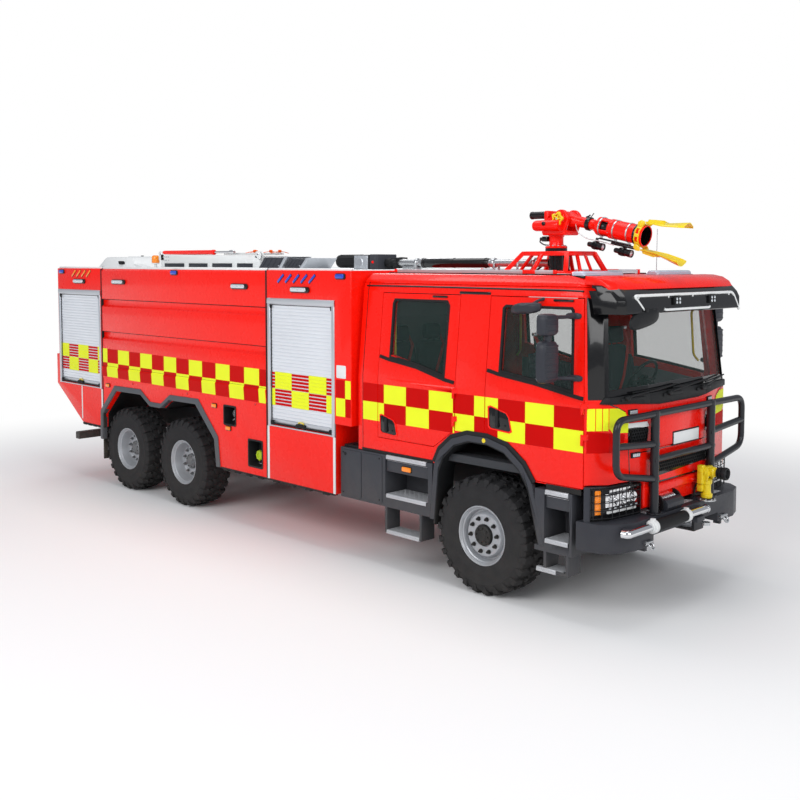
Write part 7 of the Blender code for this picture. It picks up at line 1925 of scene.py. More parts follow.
for side in SIDES:
    hand = HANDS[side]
    # Painted shadow: the dark lines just inside the tank's grooves stand for the shade under each groove's
    # upper ledge; a thin dark line also runs along the top of the fold.
    seams_and_shadow_lines = Piece(f"body_shadow_and_fold_lines_{hand}", "chassis", "rubber", "cab_plastic")
    x0, x1 = TANK_REAR + 0.01, TANK_FRONT - 0.01
    for z in TANK_GROOVES:
        on_side(
            seams_and_shadow_lines, rectangle(x0, x1, z - 0.010, z - 0.001), side, BODY_HALF - GROOVE_DEEP, out=0.004,
            depth=0.006
        )
    on_side(seams_and_shadow_lines, rectangle(x0, x1, FOLD_TOP, FOLD_TOP + 0.003), side, BODY_HALF, out=0.0022, depth=0.004)
    seams_and_shadow_lines.done()
    trims = Piece(f"body_trims_{hand}", "chassis", "white", "white_paint", sharp=30)
    for x, z0, z1, width in WHITE_TRIMS:
        on_side(
            trims, rectangle(x - width, x + width, z0, z1), side, BODY_HALF, out=0.008, depth=0.012,
            bevel=0.003
        )
    oblong_on(trims, side, -2.058, -1.903, 1.992, 2.135, 0.012, out=0.004, depth=0.006, bevel=0.001)
    trims.done()
    feet = Piece(f"body_feet_{hand}", "chassis", "plastic", "cab_plastic")
    y0, y1 = across(side, BODY_HALF - 0.05, BODY_HALF + 0.004)
    for x0, x1, z in BODY_FEET:
        feet.box((x0, y0, z - 0.012), (x1, y1, z + 0.010), bevel=0.004)
        for k in range(4):
            x = x0 + (x1 - x0) * (k + 0.5) / 4
            feet.box((x - 0.05, y0 - 0.01, z - 0.024), (x + 0.05, y1, z - 0.006), bevel=0.004)
    feet.done()
    housings = Piece(f"body_lamp_housings_{hand}", "chassis", "gloss_black", "cab_plastic")
    lenses = Piece(f"work_lenses_{hand}", "chassis", "clear_lens", "glass")
    blues = Piece(f"body_blue_lamps_{hand}", "chassis", "blue_lens", "glass")
    for x0, x1, z in WORK_LAMPS:
        oblong_on(
            housings, side, x0 - 0.010, x1 + 0.030, z - 0.034, z + 0.034, 0.030, out=0.022, depth=0.026,
            bevel=0.006
        )
        oblong_on(
            lenses, side, x0 + 0.004, x1 - 0.020, z - 0.022, z + 0.024, 0.020, out=0.030, depth=0.012,
            bevel=0.004
        )
        for k in range(LAMP_LENSES):
            x = x0 + 0.022 + (x1 - x0 - 0.05) * k / (LAMP_LENSES - 1)
            stud_on(
                lenses, side, BODY_HALF, x, z, ((0.028, 0.0), (0.034, 0.004), (0.034, 0.012), (0.028, 0.016)),
                12
            )
    for x, z in BLUE_LAMPS:
        oblong_on(
            housings, side, x - 0.085, x + 0.085, z - 0.034, z + 0.034, 0.028, out=0.014, depth=0.018,
            bevel=0.005
        )
        oblong_on(
            blues, side, x - 0.070, x + 0.070, z - 0.023, z + 0.025, 0.020, out=0.026, depth=0.014,
            bevel=0.006
        )
    ambers = Piece(f"side_markers_{hand}", "chassis", "amber", "glass")
    for x, z in SIDE_MARKERS:
        oblong_on(
            housings, side, x - 0.055, x + 0.055, z - 0.030, z + 0.030, 0.012, out=0.010, depth=0.014,
            bevel=0.003
        )
        oblong_on(
            ambers, side, x - 0.047, x + 0.047, z - 0.023, z + 0.023, 0.010, out=0.022, depth=0.014,
            bevel=0.005
        )
    for finish, foot_x, top_x, foot_z, top_z, count, pitch in FLASHERS:
        target = ambers if finish == "amber" else blues
        for k in range(count):
            x0, x1 = foot_x + pitch * k, top_x + pitch * k
            lens = band((x0, foot_z), (x1, top_z), width=0.026)
            on_side(target, lens, side, BODY_HALF, out=0.012, depth=0.016, bevel=0.004)
            holder = band((x0 - 0.004, foot_z - 0.003), (x1 + 0.004, top_z + 0.003), width=0.036)
            on_side(housings, holder, side, BODY_HALF, out=0.005, depth=0.008, bevel=0.002)
    studs = Piece(f"red_studs_{hand}", "chassis", "red_lens", "glass")
    profile = ((-0.002, 0.0), (-0.002, 0.014), (0.006, 0.014), (0.011, 0.008), (0.012, 0.0))
    for x, z in RED_STUDS:
        stud_on(studs, side, BODY_HALF, x, z, profile, 16)
    for piece in (housings, lenses, blues, ambers, studs):
        piece.done()
    # pocket liners: a lining with a lip, then what sits in each
    liners = Piece(f"pocket_liners_{hand}", "chassis", "plastic", "cab_plastic", sharp=30)
    for x0, x1, z0, z1 in POCKETS:

        def ring(out, grow, corner=POCKET_CORNER):
            """Outline of this pocket at a depth, larger by grow all round."""
            plan = oblong(x0 - grow, x1 + grow, z0 - grow, z1 + grow, corner)
            return [(x, side * (BODY_HALF + out), z) for x, z in plan]

        lip = ring(0.006, 0.014)
        liners.skin([lip, ring(0.006, -0.006), ring(-POCKET_DEPTH, -0.010)], wrap=False, closed=False)
        liners.skin([ring(-0.148, -0.012, 0.012), ring(-0.156, -0.002)])
        liners.skin([lip, ring(-0.002, 0.014)], closed=False)
    liners.done()
    cap = Piece(f"filler_cap_{hand}", "chassis", "cap", "yellow_paint")
    surface = BODY_HALF - 0.060
    profile = ((-0.03, 0.0), (-0.03, 0.050), (-0.010, 0.058), (0.014, 0.058), (0.022, 0.050), (0.022, 0.030),
               (0.012, 0.026), (0.012, 0.0))
    stud_on(cap, side, surface, *FILLER, profile, 32)
    for k in range(CAP_GRIPS):
        dx, dz = on_circle(CAP_GRIP_CIRCLE, k, CAP_GRIPS)
        x, z = FILLER[0] + dx, FILLER[1] + dz
        cap.rod((x, side * (surface - 0.008), z), (x, side * (surface + 0.016), z), 0.008, 8, bevel=0.002)
    cap.done()
    couplings = Piece(f"pocket_couplings_{hand}", "chassis", "steel", "chassis_paint")
    surface = BODY_HALF - 0.10
    y = side * surface
    stud_on(
        couplings, side, surface, *FILLER,
        ((-0.045, 0.0), (-0.045, 0.064), (0, 0.064), (0.010, 0.050), (0.010, 0.0)), 32
    )
    profile = (
        (-0.045, 0.0), (-0.045, 0.050), (0, 0.050), (0.020, 0.042), (0.020, 0.030), (0, 0.026), (0, 0.0)
    )
    stud_on(couplings, side, surface, *COUPLING, profile, 32)
    for handle in (
        [
            (-4.13, y, 1.30), (-4.09, y + side * 0.05, 1.285), (-4.05, y + side * 0.06, 1.30),
            (-4.02, y + side * 0.03, 1.34)
        ],
        [(-3.60, y, 0.84), (-3.55, y + side * 0.05, 0.815), (-3.49, y + side * 0.05, 0.82), (-3.47, y, 0.86)],
    ):
        couplings.tube(handle, 0.007, 10, bend=0.03)
    couplings.done()

# Cab steps and side boxes

STEP_OUTER, TREAD_DEPTH, LOW_TREAD_DEPTH = 1.235, 0.30, 0.19
# Treads in the housing and hung below it: start, end and height.
STEP_TREADS = ((-1.31, -0.72, 1.165), (-1.31, -0.72, 0.802), (0.80, 1.045, 1.120), (0.80, 1.045, 0.722))
LOW_TREADS = ((-1.30, -0.82, 0.412), (0.805, 0.995, 0.442))
# Toothed nosings along the treads' edges: start, end, top and how far out.
NOSINGS = ((-1.305, -0.725, 1.222, 0.012), (-1.305, -0.725, 0.806, 0.010), (0.795, 1.05, 1.180, 0.012),
           (0.795, 1.05, 0.726, 0.010), (-1.30, -0.82, 0.416, 0.010), (0.70, 0.92, 0.446, 0.010))
TOOTH_PITCH, TOOTH_ROWS, TOOTH_SHIFT = 0.026, (0.028, 0.014), 0.006
RISERS = ((-1.32, -0.71, 1.045, 1.168), (0.79, 1.055, 1.010, 1.126))
SIDE_BOX_PANELS, PANEL_FOOT, PANEL_TOP = ((-2.025, -1.700), (-1.690, -1.372)), 0.685, 1.200
# Side surface on which the painted shadow strips under the cab and the painted shade band by the flare lie.
SHADOW_STRIP_SURFACE = 1.220
# Edge of the flare that follows the arch, in the side view.
FLARE_EDGE = [(-0.655, 0.655), (-0.598, 1.215), (-0.528, 1.362), (-0.372, 1.500), (-0.172, 1.564),
              (0.080, 1.564),
              (0.311, 1.511), (0.511, 1.362), (0.624, 1.195), (0.768, 0.655)]
LID_SLATS, LID_SLAT_PITCH = 5, 0.125

for side in SIDES:
    hand = HANDS[side]
    node = f"cab_steps_{hand}"
    housing = softened(
        f"step_housing_{hand}", "chassis", "step_grey", "anthracite_paint", node, bevel=0.010, segments=3
    )
    housing.done(node)
    treads = Piece(f"step_treads_{hand}", "chassis", "tread", "anthracite_paint")
    for x0, x1, z in STEP_TREADS:
        chequer(treads, x0, x1, *across(side, STEP_OUTER - 0.014, STEP_OUTER - TREAD_DEPTH), z)
    for x0, x1, z in LOW_TREADS:
        chequer(treads, x0, x1, *across(side, STEP_OUTER - 0.012, STEP_OUTER - LOW_TREAD_DEPTH), z)
    for x0, x1, top, out in NOSINGS:
        face = STEP_OUTER + out
        section = ((STEP_OUTER - 0.004, top - 0.042), (face - 0.004, top - 0.040), (face, top - 0.034),
                   (face - 0.006, top + 0.002), (STEP_OUTER - 0.03, top + 0.004))
        treads.skin([[(x, side * y, z) for y, z in section] for x in (x0, x1)], bevel=0.002)
        count = int((x1 - x0) / TOOTH_PITCH)
        for k in range(count):
            middle = x0 + (x1 - x0) * (k + 0.5) / count
            for down, shift in zip(TOOTH_ROWS, (TOOTH_SHIFT, -TOOTH_SHIFT)):
                x, z = middle + shift, top - down
                treads.rod((x, side * (face - 0.006), z), (x, side * (face + 0.003), z), 0.0052, 8, r2=0.0034)
    treads.done()
    risers = Piece(f"step_risers_{hand}", "chassis", "step_grey", "anthracite_paint", sharp=30)
    y0, y1 = across(side, STEP_OUTER - 0.018, STEP_OUTER - 0.040)
    for x0, x1, z0, z1 in RISERS:
        risers.box((x0, y0, z0), (x1, y1, z1), bevel=0.006)
    risers.done()
    # Painted shadow: dark strips along the cab's lower edge, where shade falls under it.
    shadow_strips = Piece(f"cab_foot_shadow_strips_{hand}", "chassis", "rubber", "cab_plastic", sharp=30)
    for strip in (
        rectangle(-1.70, -0.64, 1.226, 1.256), [(0.80, 1.186), (1.18, 1.186), (1.18, 1.236), (0.79, 1.236)]
    ):
        on_side(shadow_strips, strip, side, SHADOW_STRIP_SURFACE, out=0.006, depth=0.010, bevel=0.002)
    shadow_strips.done()
    guards = Piece(f"step_guards_{hand}", "chassis", "plastic", "cab_plastic", sharp=30)
    # the flare's inner lip, a band of painted shade just outside the flare where the gap to the red paint
    # lies, then the side box's lid with its slats
    y_face, y_back = side * 1.230, side * 0.99
    guards.skin([[(x * 0.955 + 0.002, y_face, z - 0.045), (x * 0.93 + 0.003, y_face, z - 0.062),
                  (x * 0.93 + 0.003, y_back, z - 0.062), (x * 0.955 + 0.002, y_back, z - 0.045)]
                 for x, z in FLARE_EDGE], bevel=0.002)
    # Painted shade: this dark band stands for the shadowed gap between the flare and the red paint.
    flare_gap_shade = band(*[(x * 1.045, z + 0.028) for x, z in FLARE_EDGE[1:-1]], width=0.050)
    on_side(guards, flare_gap_shade, side, SHADOW_STRIP_SURFACE, out=0.010, depth=0.014, bevel=0.003)
    y0, y1 = across(side, 0.90, 1.20)
    guards.box((-2.02, y0, 1.222), (-1.36, y1, 1.250), bevel=0.010)
    y0, y1 = across(side, 0.92, 1.18)
    for k in range(LID_SLATS):
        start = -1.96 + k * LID_SLAT_PITCH
        guards.box((start, y0, 1.248), (start + 0.06, y1, 1.256), bevel=0.003)
    guards.done()
    box_skin = Piece(f"side_box_panel_{hand}", "chassis", "step_grey", "anthracite_paint", sharp=30)
    for x0, x1 in SIDE_BOX_PANELS:
        oblong_on(box_skin, side, x0, x1, PANEL_FOOT, PANEL_TOP, 0.025, out=0.008, depth=0.012, bevel=0.004,
                  surface=STEP_OUTER)
    box_skin.done()
    small = Piece(f"side_box_fittings_{hand}", "chassis", "plastic", "cab_plastic")
    profile = ((0.004, 0.0), (0.004, 0.020), (0.014, 0.016), (0.014, 0.0))
    stud_on(small, side, STEP_OUTER, -1.955, 1.155, profile, 24)
    for x in (-1.99, -1.41):
        for z in (0.72, 1.17):
            stud_on(
                small, side, STEP_OUTER, x, z, ((0.005, 0.0), (0.005, 0.010), (0.014, 0.008), (0.014, 0.0)), 6
            )
    small.done()
    recess = STEP_OUTER - 0.018
    lamps = Piece(f"step_lamps_{hand}", "chassis", "amber", "glass")
    oblong_on(
        lamps, side, -1.085, -0.955, 1.078, 1.128, 0.012, out=0.014, depth=0.020, bevel=0.004, surface=recess
    )
    lamps.done()
    backs = Piece(f"step_lamp_backs_{hand}", "chassis", "plastic", "cab_plastic")
    oblong_on(
        backs, side, -1.095, -0.945, 1.070, 1.136, 0.014, out=0.005, depth=0.010, bevel=0.003, surface=recess
    )
    backs.done()
    reflector = Piece(f"arch_reflector_{hand}", "chassis", "yellow", "yellow_paint")
    profile = handed(side, (1.236, 0.0), (1.236, 0.022), (1.243, 0.022), (1.246, 0.016), (1.246, 0.0))
    reflector.turned(profile, (0.05, 0, 1.545), "Y", 24)
    reflector.done()

# Tail

REAR_FACE_X = -8.580
LAMP_STACK_Y, LAMP_RADIUS, LAMP_OUT = 1.17, 0.052, 0.020
TAIL_BLUE_Y, TAIL_WORK_Y = 1.05, 0.40
LADDER_X, LADDER_WALL, LADDER_SIDES, LADDER_STAYS = -8.640, -8.575, (0.70, 0.99), (2.20, 2.75)
RUNGS, FIRST_RUNG, RUNG_PITCH = 5, 1.96, 0.26
# Cells of the tail's band beside the shutter: inner edge, outer edge and whether it is yellow.
TAIL_CELLS, TAIL_BAND = ((0.65, 0.93, True), (0.93, 1.265, False)), (1.856, 2.03)
UNDERRUN_HALF = 1.106

tail_trim = Piece("tail_lamp_housings", "chassis", "plastic", "cab_plastic", sharp=30)
tail_red = Piece("tail_red_lamps", "chassis", "red_lens", "glass")
tail_amber = Piece("tail_amber_lamps", "chassis", "amber", "glass")
tail_clear = Piece("tail_clear_lamps", "chassis", "clear_lens", "glass")
tail_blue = Piece("tail_blue_lamps", "chassis", "blue_lens", "glass")


def tail_lamp(piece, y, z, radius, out, face):
    """Round lamp that stands out backwards from a face."""
    profile = [
        (face, 0.0), (face, radius), (face - out * 0.7, radius), (face - out, radius * 0.8), (face - out, 0.0)
    ]
    piece.turned(profile, (0, y, z), "X", 28)


def on_back(piece, y, half, z0, z1, corner, root, out, bevel):
    """Oblong form on the tail, from root to out behind its face."""
    piece.prism(
        oblong(y - half, y + half, z0, z1, corner), "X", REAR_FACE_X - root, REAR_FACE_X - out, bevel=bevel
    )


for side in SIDES:
    y = side * LAMP_STACK_Y
    on_back(tail_trim, y, 0.072, 2.080, 2.500, 0.03, -0.004, 0.016, 0.006)
    for piece, z in ((tail_red, 2.155), (tail_amber, 2.290), (tail_clear, 2.425)):
        tail_lamp(piece, y, z, LAMP_RADIUS, LAMP_OUT, REAR_FACE_X - 0.014)
    y = side * TAIL_BLUE_Y
    on_back(tail_trim, y, 0.10, 3.055, 3.125, 0.02, -0.004, 0.014, 0.004)
    on_back(tail_blue, y, 0.085, 3.068, 3.112, 0.018, 0.010, 0.024, 0.005)
    y = side * TAIL_WORK_Y
    on_back(tail_trim, y, 0.13, 2.945, 3.010, 0.02, -0.004, 0.020, 0.004)
    on_back(tail_clear, y, 0.115, 2.957, 2.998, 0.016, 0.016, 0.026, 0.004)
for piece in (tail_trim, tail_red, tail_amber, tail_clear, tail_blue):
    piece.done()

ladder = Piece("tail_ladder", "chassis", "steel", "white_paint")
for y in LADDER_SIDES:
    ladder.tube(
        [(LADDER_WALL, y, 3.12), (LADDER_X, y, 3.10), (LADDER_X, y, 1.89), (LADDER_WALL, y, 1.87)], 0.016, 14,
        bend=0.05
    )
    for z in LADDER_STAYS:
        ladder.rod((REAR_FACE_X, y, z), (LADDER_X, y, z), 0.011, 12)
        ladder.turned([(-8.596, 0.0), (-8.596, 0.026), (-8.582, 0.028), (-8.578, 0.0)], (0, y, z), "X", 20)
near, far = LADDER_SIDES
for k in range(RUNGS):
    z = FIRST_RUNG + k * RUNG_PITCH
    ladder.tube([(LADDER_X, near, z), (LADDER_X, far, z)], 0.014, 12)
    ladder.box(
        (LADDER_X - 0.012, near + 0.02, z + 0.010), (LADDER_X + 0.012, far - 0.02, z + 0.018), bevel=0.003
    )
ladder.done()
for name, finish, yellow in (("yellow", "yellow_film", True), ("red", "dark_red", False)):
    piece = Piece(f"tail_band_{name}", "chassis", finish, "yellow_paint" if yellow else "red_paint")
    for side in SIDES:
        for inner, outer, is_yellow in TAIL_CELLS:
            if is_yellow == yellow:
                y0, y1 = across(side, inner, outer)
                piece.box((REAR_FACE_X - 0.003, y0, TAIL_BAND[0]), (REAR_FACE_X + 0.002, y1, TAIL_BAND[1]))
    piece.done()
under = Piece("underrun_bar_skin", "chassis", "chassis", "chassis_paint", sharp=30)
section = [(-8.426, 0.514), (-8.432, 0.530), (-8.432, 0.612), (-8.420, 0.626), (-8.322, 0.626),
           (-8.314, 0.612),
           (-8.314, 0.524), (-8.322, 0.514)]
under.prism(section, "Y", -UNDERRUN_HALF, UNDERRUN_HALF, bevel=0.004)
for side in SIDES:
    y0, y1 = across(side, 0.584, 0.656)
    under.box((-8.425, y0, 0.60), (-8.315, y1, 1.08), bevel=0.006)
    for z in (0.72, 0.90):
        under.rod((-8.37, y0 - 0.012, z), (-8.37, y1 + 0.012, z), 0.014, 6)
under.done()

# Roof: box, gantry, pump gear, feed

# Levels of the roof box's shell, and how far each stands in from the box's foot.
BOX_REAR, BOX_FRONT, BOX_HALF, BOX_FRONT_SLOPE = -7.90, -6.84, 0.95, 2.4
BOX_LEVELS = ((3.182, 0.0), (3.205, 0.004), (3.325, 0.072), (3.343, 0.090), (3.350, 0.115))
# Middle of a handle on the box's right or left side, and how far it leans.
GRIP_X, GRIP_Y, GRIP_Z, GRIP_LEAN = -7.25, 0.925, 3.265, 30

box_skin = Piece("roof_box_skin", "chassis", "white", "white_paint", sharp=30)
rings = []
for z, slope in BOX_LEVELS:
    x0, x1, half = BOX_REAR + slope, BOX_FRONT - slope * BOX_FRONT_SLOPE, BOX_HALF - slope
    rings.append([(x0, -half, z), (x1, -half, z), (x1, half, z), (x0, half, z)])
box_skin.skin(rings, bevel=0.008)
for side in SIDES:
    box_skin.prism(
        [(-6.95, 3.182), (-6.62, 3.182), (-6.68, 3.215), (-6.90, 3.250)], "Y", *across(side, 0.80, 0.93),
        bevel=0.006
    )
    y0, y1 = across(side, 0.30, 0.62)
    box_skin.box((-7.60, y0, 3.348), (-7.30, y1, 3.360), bevel=0.005)
box_skin.done("roof_box")
handles = Piece("roof_box_handles", "chassis", "plastic", "cab_plastic", sharp=30)
for side in SIDES:
    place = Matrix.Translation((GRIP_X, side * GRIP_Y, GRIP_Z))
    lean = place @ Matrix.Rotation(math.radians(-GRIP_LEAN * side), 4, "X")
    handles.box((-0.075, -0.014, -0.028), (0.075, 0.008, 0.028), bevel=0.008, turn=lean)
    loop = [
        lean @ Vector((x, side * y, 0.0)) for x,
        y in ((-0.05, 0.008), (-0.05, 0.026), (0.05, 0.026), (0.05, 0.008))
    ]
    handles.tube(loop, 0.006, 10, bend=0.012)
    handles.box(
        (-7.80, min(side * 0.70, side * 0.78), 3.182), (-7.76, max(side * 0.955, side * 0.99), 3.204),
        bevel=0.004
    )
    for x in (-7.55, -7.00):
        handles.rod((x - 0.03, side * 0.40, 3.366), (x + 0.03, side * 0.40, 3.366), 0.010, 12, bevel=0.002)
handles.done()

# Gantry: middle and gauge of its beams, their ends, the slots in their webs, and the rungs between them
RACK_Y, RACK_GAUGE, RACK_REAR, RACK_FRONT = -0.72, 0.48, -6.10, -3.82
RACK_RIGHT = RACK_Y - RACK_GAUGE / 2
RACK_SLOTS = ((-6.02, -5.52), (-5.42, -4.97), (-4.87, -4.42), (-4.32, -3.98))
RUNGS, FIRST_RUNG, RUNG_PITCH, RUNG_Z = 9, -6.02, 0.265, 3.325
LADDER_HALF, LADDER_RUNGS, FIRST_LADDER_RUNG, LADDER_PITCH = 0.14, 4, -4.62, 0.23
BEAM_TOP = [(-6.10, 3.268), (-6.10, 3.372), (-6.07, 3.384), (-3.90, 3.352), (-3.82, 3.262)]
LADDER_RAIL = [(-4.74, 3.372), (-4.74, 3.398), (-3.86, 3.392), (-3.86, 3.366)]
REAR_BRACKET = [
    (-6.155, 3.30), (-6.155, 3.410), (-6.125, 3.428), (-6.060, 3.424), (-6.030, 3.390), (-6.020, 3.30)
]
FRONT_BRACKET = [(-3.93, 3.33), (-3.92, 3.400), (-3.89, 3.412), (-3.85, 3.410), (-3.81, 3.37), (-3.82, 3.31)]
rack = Piece("gantry_beams", "chassis", "white", "white_paint", sharp=30)
for side in SIDES:
    y = RACK_Y + side * RACK_GAUGE / 2
    # top and foot flanges with webs between the slots
    rack.prism(BEAM_TOP, "Y", y - 0.016, y + 0.016, bevel=0.004)
    rack.box((RACK_REAR, y - 0.020, 3.182), (RACK_FRONT, y + 0.020, 3.208), bevel=0.004)
    edges = [RACK_REAR] + [x for slot in RACK_SLOTS for x in slot] + [RACK_FRONT]
    for x0, x1 in zip(edges[0::2], edges[1::2]):
        rack.box((x0, y - 0.013, 3.20), (x1, y + 0.013, 3.275), bevel=0.003)
    for x0, x1 in RACK_SLOTS:
        rack.box((x0, y - 0.008, 3.258), (x1, y + 0.008, 3.272), bevel=0.002)
for k in range(RUNGS):
    x = FIRST_RUNG + k * RUNG_PITCH
    rack.rod((x, RACK_RIGHT, RUNG_Z), (x, RACK_Y + RACK_GAUGE / 2, RUNG_Z), 0.016, 14)
# slim ladder stowed on top, and the end brackets of the lift cylinder
for y in (RACK_Y - LADDER_HALF, RACK_Y + LADDER_HALF):
    rack.prism(LADDER_RAIL, "Y", y - 0.011, y + 0.011, bevel=0.003)
for k in range(LADDER_RUNGS):
    x = FIRST_LADDER_RUNG + k * LADDER_PITCH
    rack.rod((x, RACK_Y - LADDER_HALF, 3.383), (x, RACK_Y + LADDER_HALF, 3.383), 0.010, 12)
for y in (RACK_RIGHT - 0.010, RACK_RIGHT + 0.032):
    rack.prism(REAR_BRACKET, "Y", y - 0.006, y + 0.006, bevel=0.003)
    rack.prism(FRONT_BRACKET, "Y", y - 0.006, y + 0.006, bevel=0.003)
rack.done("roof_rack")
# Painted shade: dark plates inside the beams' slots stand for the shade behind them.
shade = Piece("gantry_slot_painted_shade", "chassis", "anthracite", "anthracite_paint", sharp=30)
for side in SIDES:
    y = RACK_Y + side * RACK_GAUGE / 2
    for x0, x1 in RACK_SLOTS:
        shade.box((x0 - 0.01, y - 0.005, 3.206), (x1 + 0.01, y + 0.005, 3.262), bevel=0.0015)
shade.done()
# Lift cylinder on the right beam: its axis, and (x, radius) of its body and its rod's end
CYLINDER_Y, CYLINDER_Z = RACK_RIGHT + 0.011, 3.404
CYLINDER_BODY = [(-6.06, 0.0), (-6.06, 0.027), (-6.03, 0.030), (-4.90, 0.030), (-4.875, 0.034),
                 (-4.84, 0.034),
                 (-4.83, 0.024), (-4.83, 0.0)]
ROD_END = [(-4.50, 0.0), (-4.50, 0.022), (-4.47, 0.026), (-4.42, 0.026), (-4.40, 0.018), (-4.40, 0.0)]
PIN_PROFILE = ((-0.036, 0.0), (-0.036, 0.014), (-0.028, 0.018), (0.030, 0.018), (0.038, 0.014), (0.038, 0.0))
RACK_STUD = ((-0.024, 0.0), (-0.024, 0.008), (-0.014, 0.010), (-0.014, 0.0))
STUD_ROWS, FIRST_STUD, STUD_PITCH, STUD_LEVELS = 4, -6.03, 0.045, (3.30, 3.345)
cylinder = Piece("gantry_cylinder", "chassis", "red", "red_paint", sharp=30)
cylinder.turned(CYLINDER_BODY, (0, CYLINDER_Y, CYLINDER_Z), "X", 32)
cylinder.done()
rods = Piece("gantry_rod", "chassis", "chrome", "white_paint")
rods.rod((-4.84, CYLINDER_Y, CYLINDER_Z), (-4.46, CYLINDER_Y, CYLINDER_Z), 0.015, 20)
rods.turned(ROD_END, (0, CYLINDER_Y, CYLINDER_Z), "X", 20)
for x, z in ((-6.09, 3.385), (-3.87, 3.375)):
    rods.turned([(CYLINDER_Y + y, radius) for y, radius in PIN_PROFILE], (x, 0, z), "Y", 6)
for k in range(STUD_ROWS):
    for z in STUD_LEVELS:
        stud = [(RACK_RIGHT + y, radius) for y, radius in RACK_STUD]
        rods.turned(stud, (FIRST_STUD + STUD_PITCH * k, 0, z), "Y", 8)
rods.done()
straps = Piece("gantry_straps", "chassis", "orange", "yellow_paint", sharp=30)
STRAP_FLAT, STRAP_STATIONS = (
    (-0.014, 0), (0.014, 0), (0.014, 0.004), (-0.014, 0.004)
), (-1, -0.6, -0.2, 0.2, 0.6, 1)
for x, y in ((-4.03, RACK_Y - 0.18), (-3.96, RACK_Y + 0.02), (-3.88, RACK_Y + 0.10), (-4.45, RACK_Y + 0.16)):
    rings = []
    for v in STRAP_STATIONS:
        z = 3.386 + 0.022 * math.sin(math.pi * (v + 1) / 2)
        rings.append([(x + u, y + v * 0.14, z + w) for u, w in STRAP_FLAT])
    straps.skin(rings, bevel=0.001)
    straps.turned(
        [(y - 0.016, 0.0), (y - 0.016, 0.018), (y + 0.016, 0.018), (y + 0.016, 0.0)], (x, 0, 3.412), "Y", 16
    )
straps.done()
# slanted boxes ahead of the gantry
boxes = Piece("roof_slant_boxes", "chassis", "step_grey", "anthracite_paint", sharp=30)
for x0, x1, y0, y1, top in ((-3.86, -3.46, -0.985, -0.62, 3.335), (-3.36, -3.06, -0.985, -0.55, 3.318)):
    boxes.prism(
        [(x0, 3.190), (x0 + 0.13, top), (x1 + 0.13, top - 0.008), (x1, 3.190)], "Y", y0, y1, bevel=0.012
    )
    for k in range(4):
        x = x0 + 0.06 + (x1 - x0 - 0.10) * k / 3
        boxes.prism(
            [(x, 3.20), (x + 0.115, top - 0.015), (x + 0.135, top - 0.015), (x + 0.020, 3.20)], "Y",
            y0 - 0.006, y0 + 0.004, bevel=0.002
        )
boxes.done()
lids = Piece("roof_slant_lids", "chassis", "frame_silver", "white_paint", sharp=30)
for x0, x1, y0, y1, top in ((-3.46, -3.40, -0.99, -0.61, 3.335), (-3.06, -3.00, -0.99, -0.54, 3.318)):
    lids.prism(
        [(x0, 3.186), (x0 + 0.135, top + 0.006), (x1 + 0.135, top + 0.006), (x1, 3.186)], "Y", y0, y1,
        bevel=0.006
    )
    lids.rod((x0 + 0.03, y0 - 0.010, 3.23), (x0 + 0.03, y1 + 0.010, 3.23), 0.008, 12)
lids.done()

BEACON = (-6.31, -0.93, 0)
beacon = Piece("body_beacon", "chassis", "amber", "glass", sharp=40)
beacon.turned(
    [
        (3.262, 0.0), (3.262, 0.050), (3.270, 0.056), (3.345, 0.054), (3.362, 0.046), (3.370, 0.030),
        (3.372, 0.0)
    ],
    BEACON, "Z", 32
)
beacon.done()
stem = Piece("body_beacon_stem", "chassis", "white", "white_paint")
stem.turned(
    [
        (3.184, 0.0), (3.184, 0.060), (3.192, 0.060), (3.194, 0.022), (3.245, 0.020), (3.248, 0.050),
        (3.262, 0.052), (3.262, 0.0)
    ],
    BEACON, "Z", 32
)
stem.done()

# pump gear: motor, valve box with its cooling ribs, coupling and hand lever
MOTOR_AXIS_Z, FIN_RADIUS, FINS, FEED_Z, COUPLING_BOLTS = 3.285, 0.080, 12, 3.265, 6
gear = Piece("pump_gear", "chassis", "plastic", "cab_plastic", sharp=30)
gear.turned(
    [
        (-3.430, 0.0), (-3.430, 0.066), (-3.420, 0.080), (-3.395, 0.085), (-3.385, 0.079), (-3.05, 0.079),
        (-3.045, 0.085), (-3.00, 0.085), (-2.985, 0.070), (-2.985, 0.0)
    ],
    (0, 0, MOTOR_AXIS_Z), "X", 40
)
for k in range(FINS):
    y, up = on_circle(FIN_RADIUS, k, FINS)
    gear.rod((-3.37, y, MOTOR_AXIS_Z + up), (-3.06, y, MOTOR_AXIS_Z + up), 0.0045, 8)
gear.box((-2.99, -0.165, 3.184), (-2.70, 0.165, 3.365), bevel=0.012)
for k in range(7):
    gear.box((-2.985 + k * 0.040, -0.172, 3.20), (-2.973 + k * 0.040, 0.172, 3.355), bevel=0.003)
gear.turned([(-2.560, 0.0), (-2.560, 0.052), (-2.530, 0.052), (-2.520, 0.060), (-2.470, 0.060),
             (-2.460, 0.048), (-2.400, 0.048), (-2.390, 0.066), (-2.340, 0.066), (-2.330, 0.050),
             (-2.320, 0.0)],
            (0, 0, FEED_Z), "X", 32)
for k in range(COUPLING_BOLTS):
    y, up = on_circle(0.062, k, COUPLING_BOLTS)
    gear.rod((-2.395, y, FEED_Z + up), (-2.335, y, FEED_Z + up), 0.012, 10)
gear.tube(
    [(-2.36, -0.04, 3.29), (-2.30, -0.09, 3.315), (-2.20, -0.13, 3.325), (-2.08, -0.14, 3.32)], 0.010, 12,
    bend=0.04
)
gear.done("monitor_feed")
faces = Piece("pump_box_plates", "chassis", "frame_silver", "white_paint", sharp=30)
faces.box((-2.965, -0.180, 3.19), (-2.72, -0.166, 3.355), bevel=0.005)
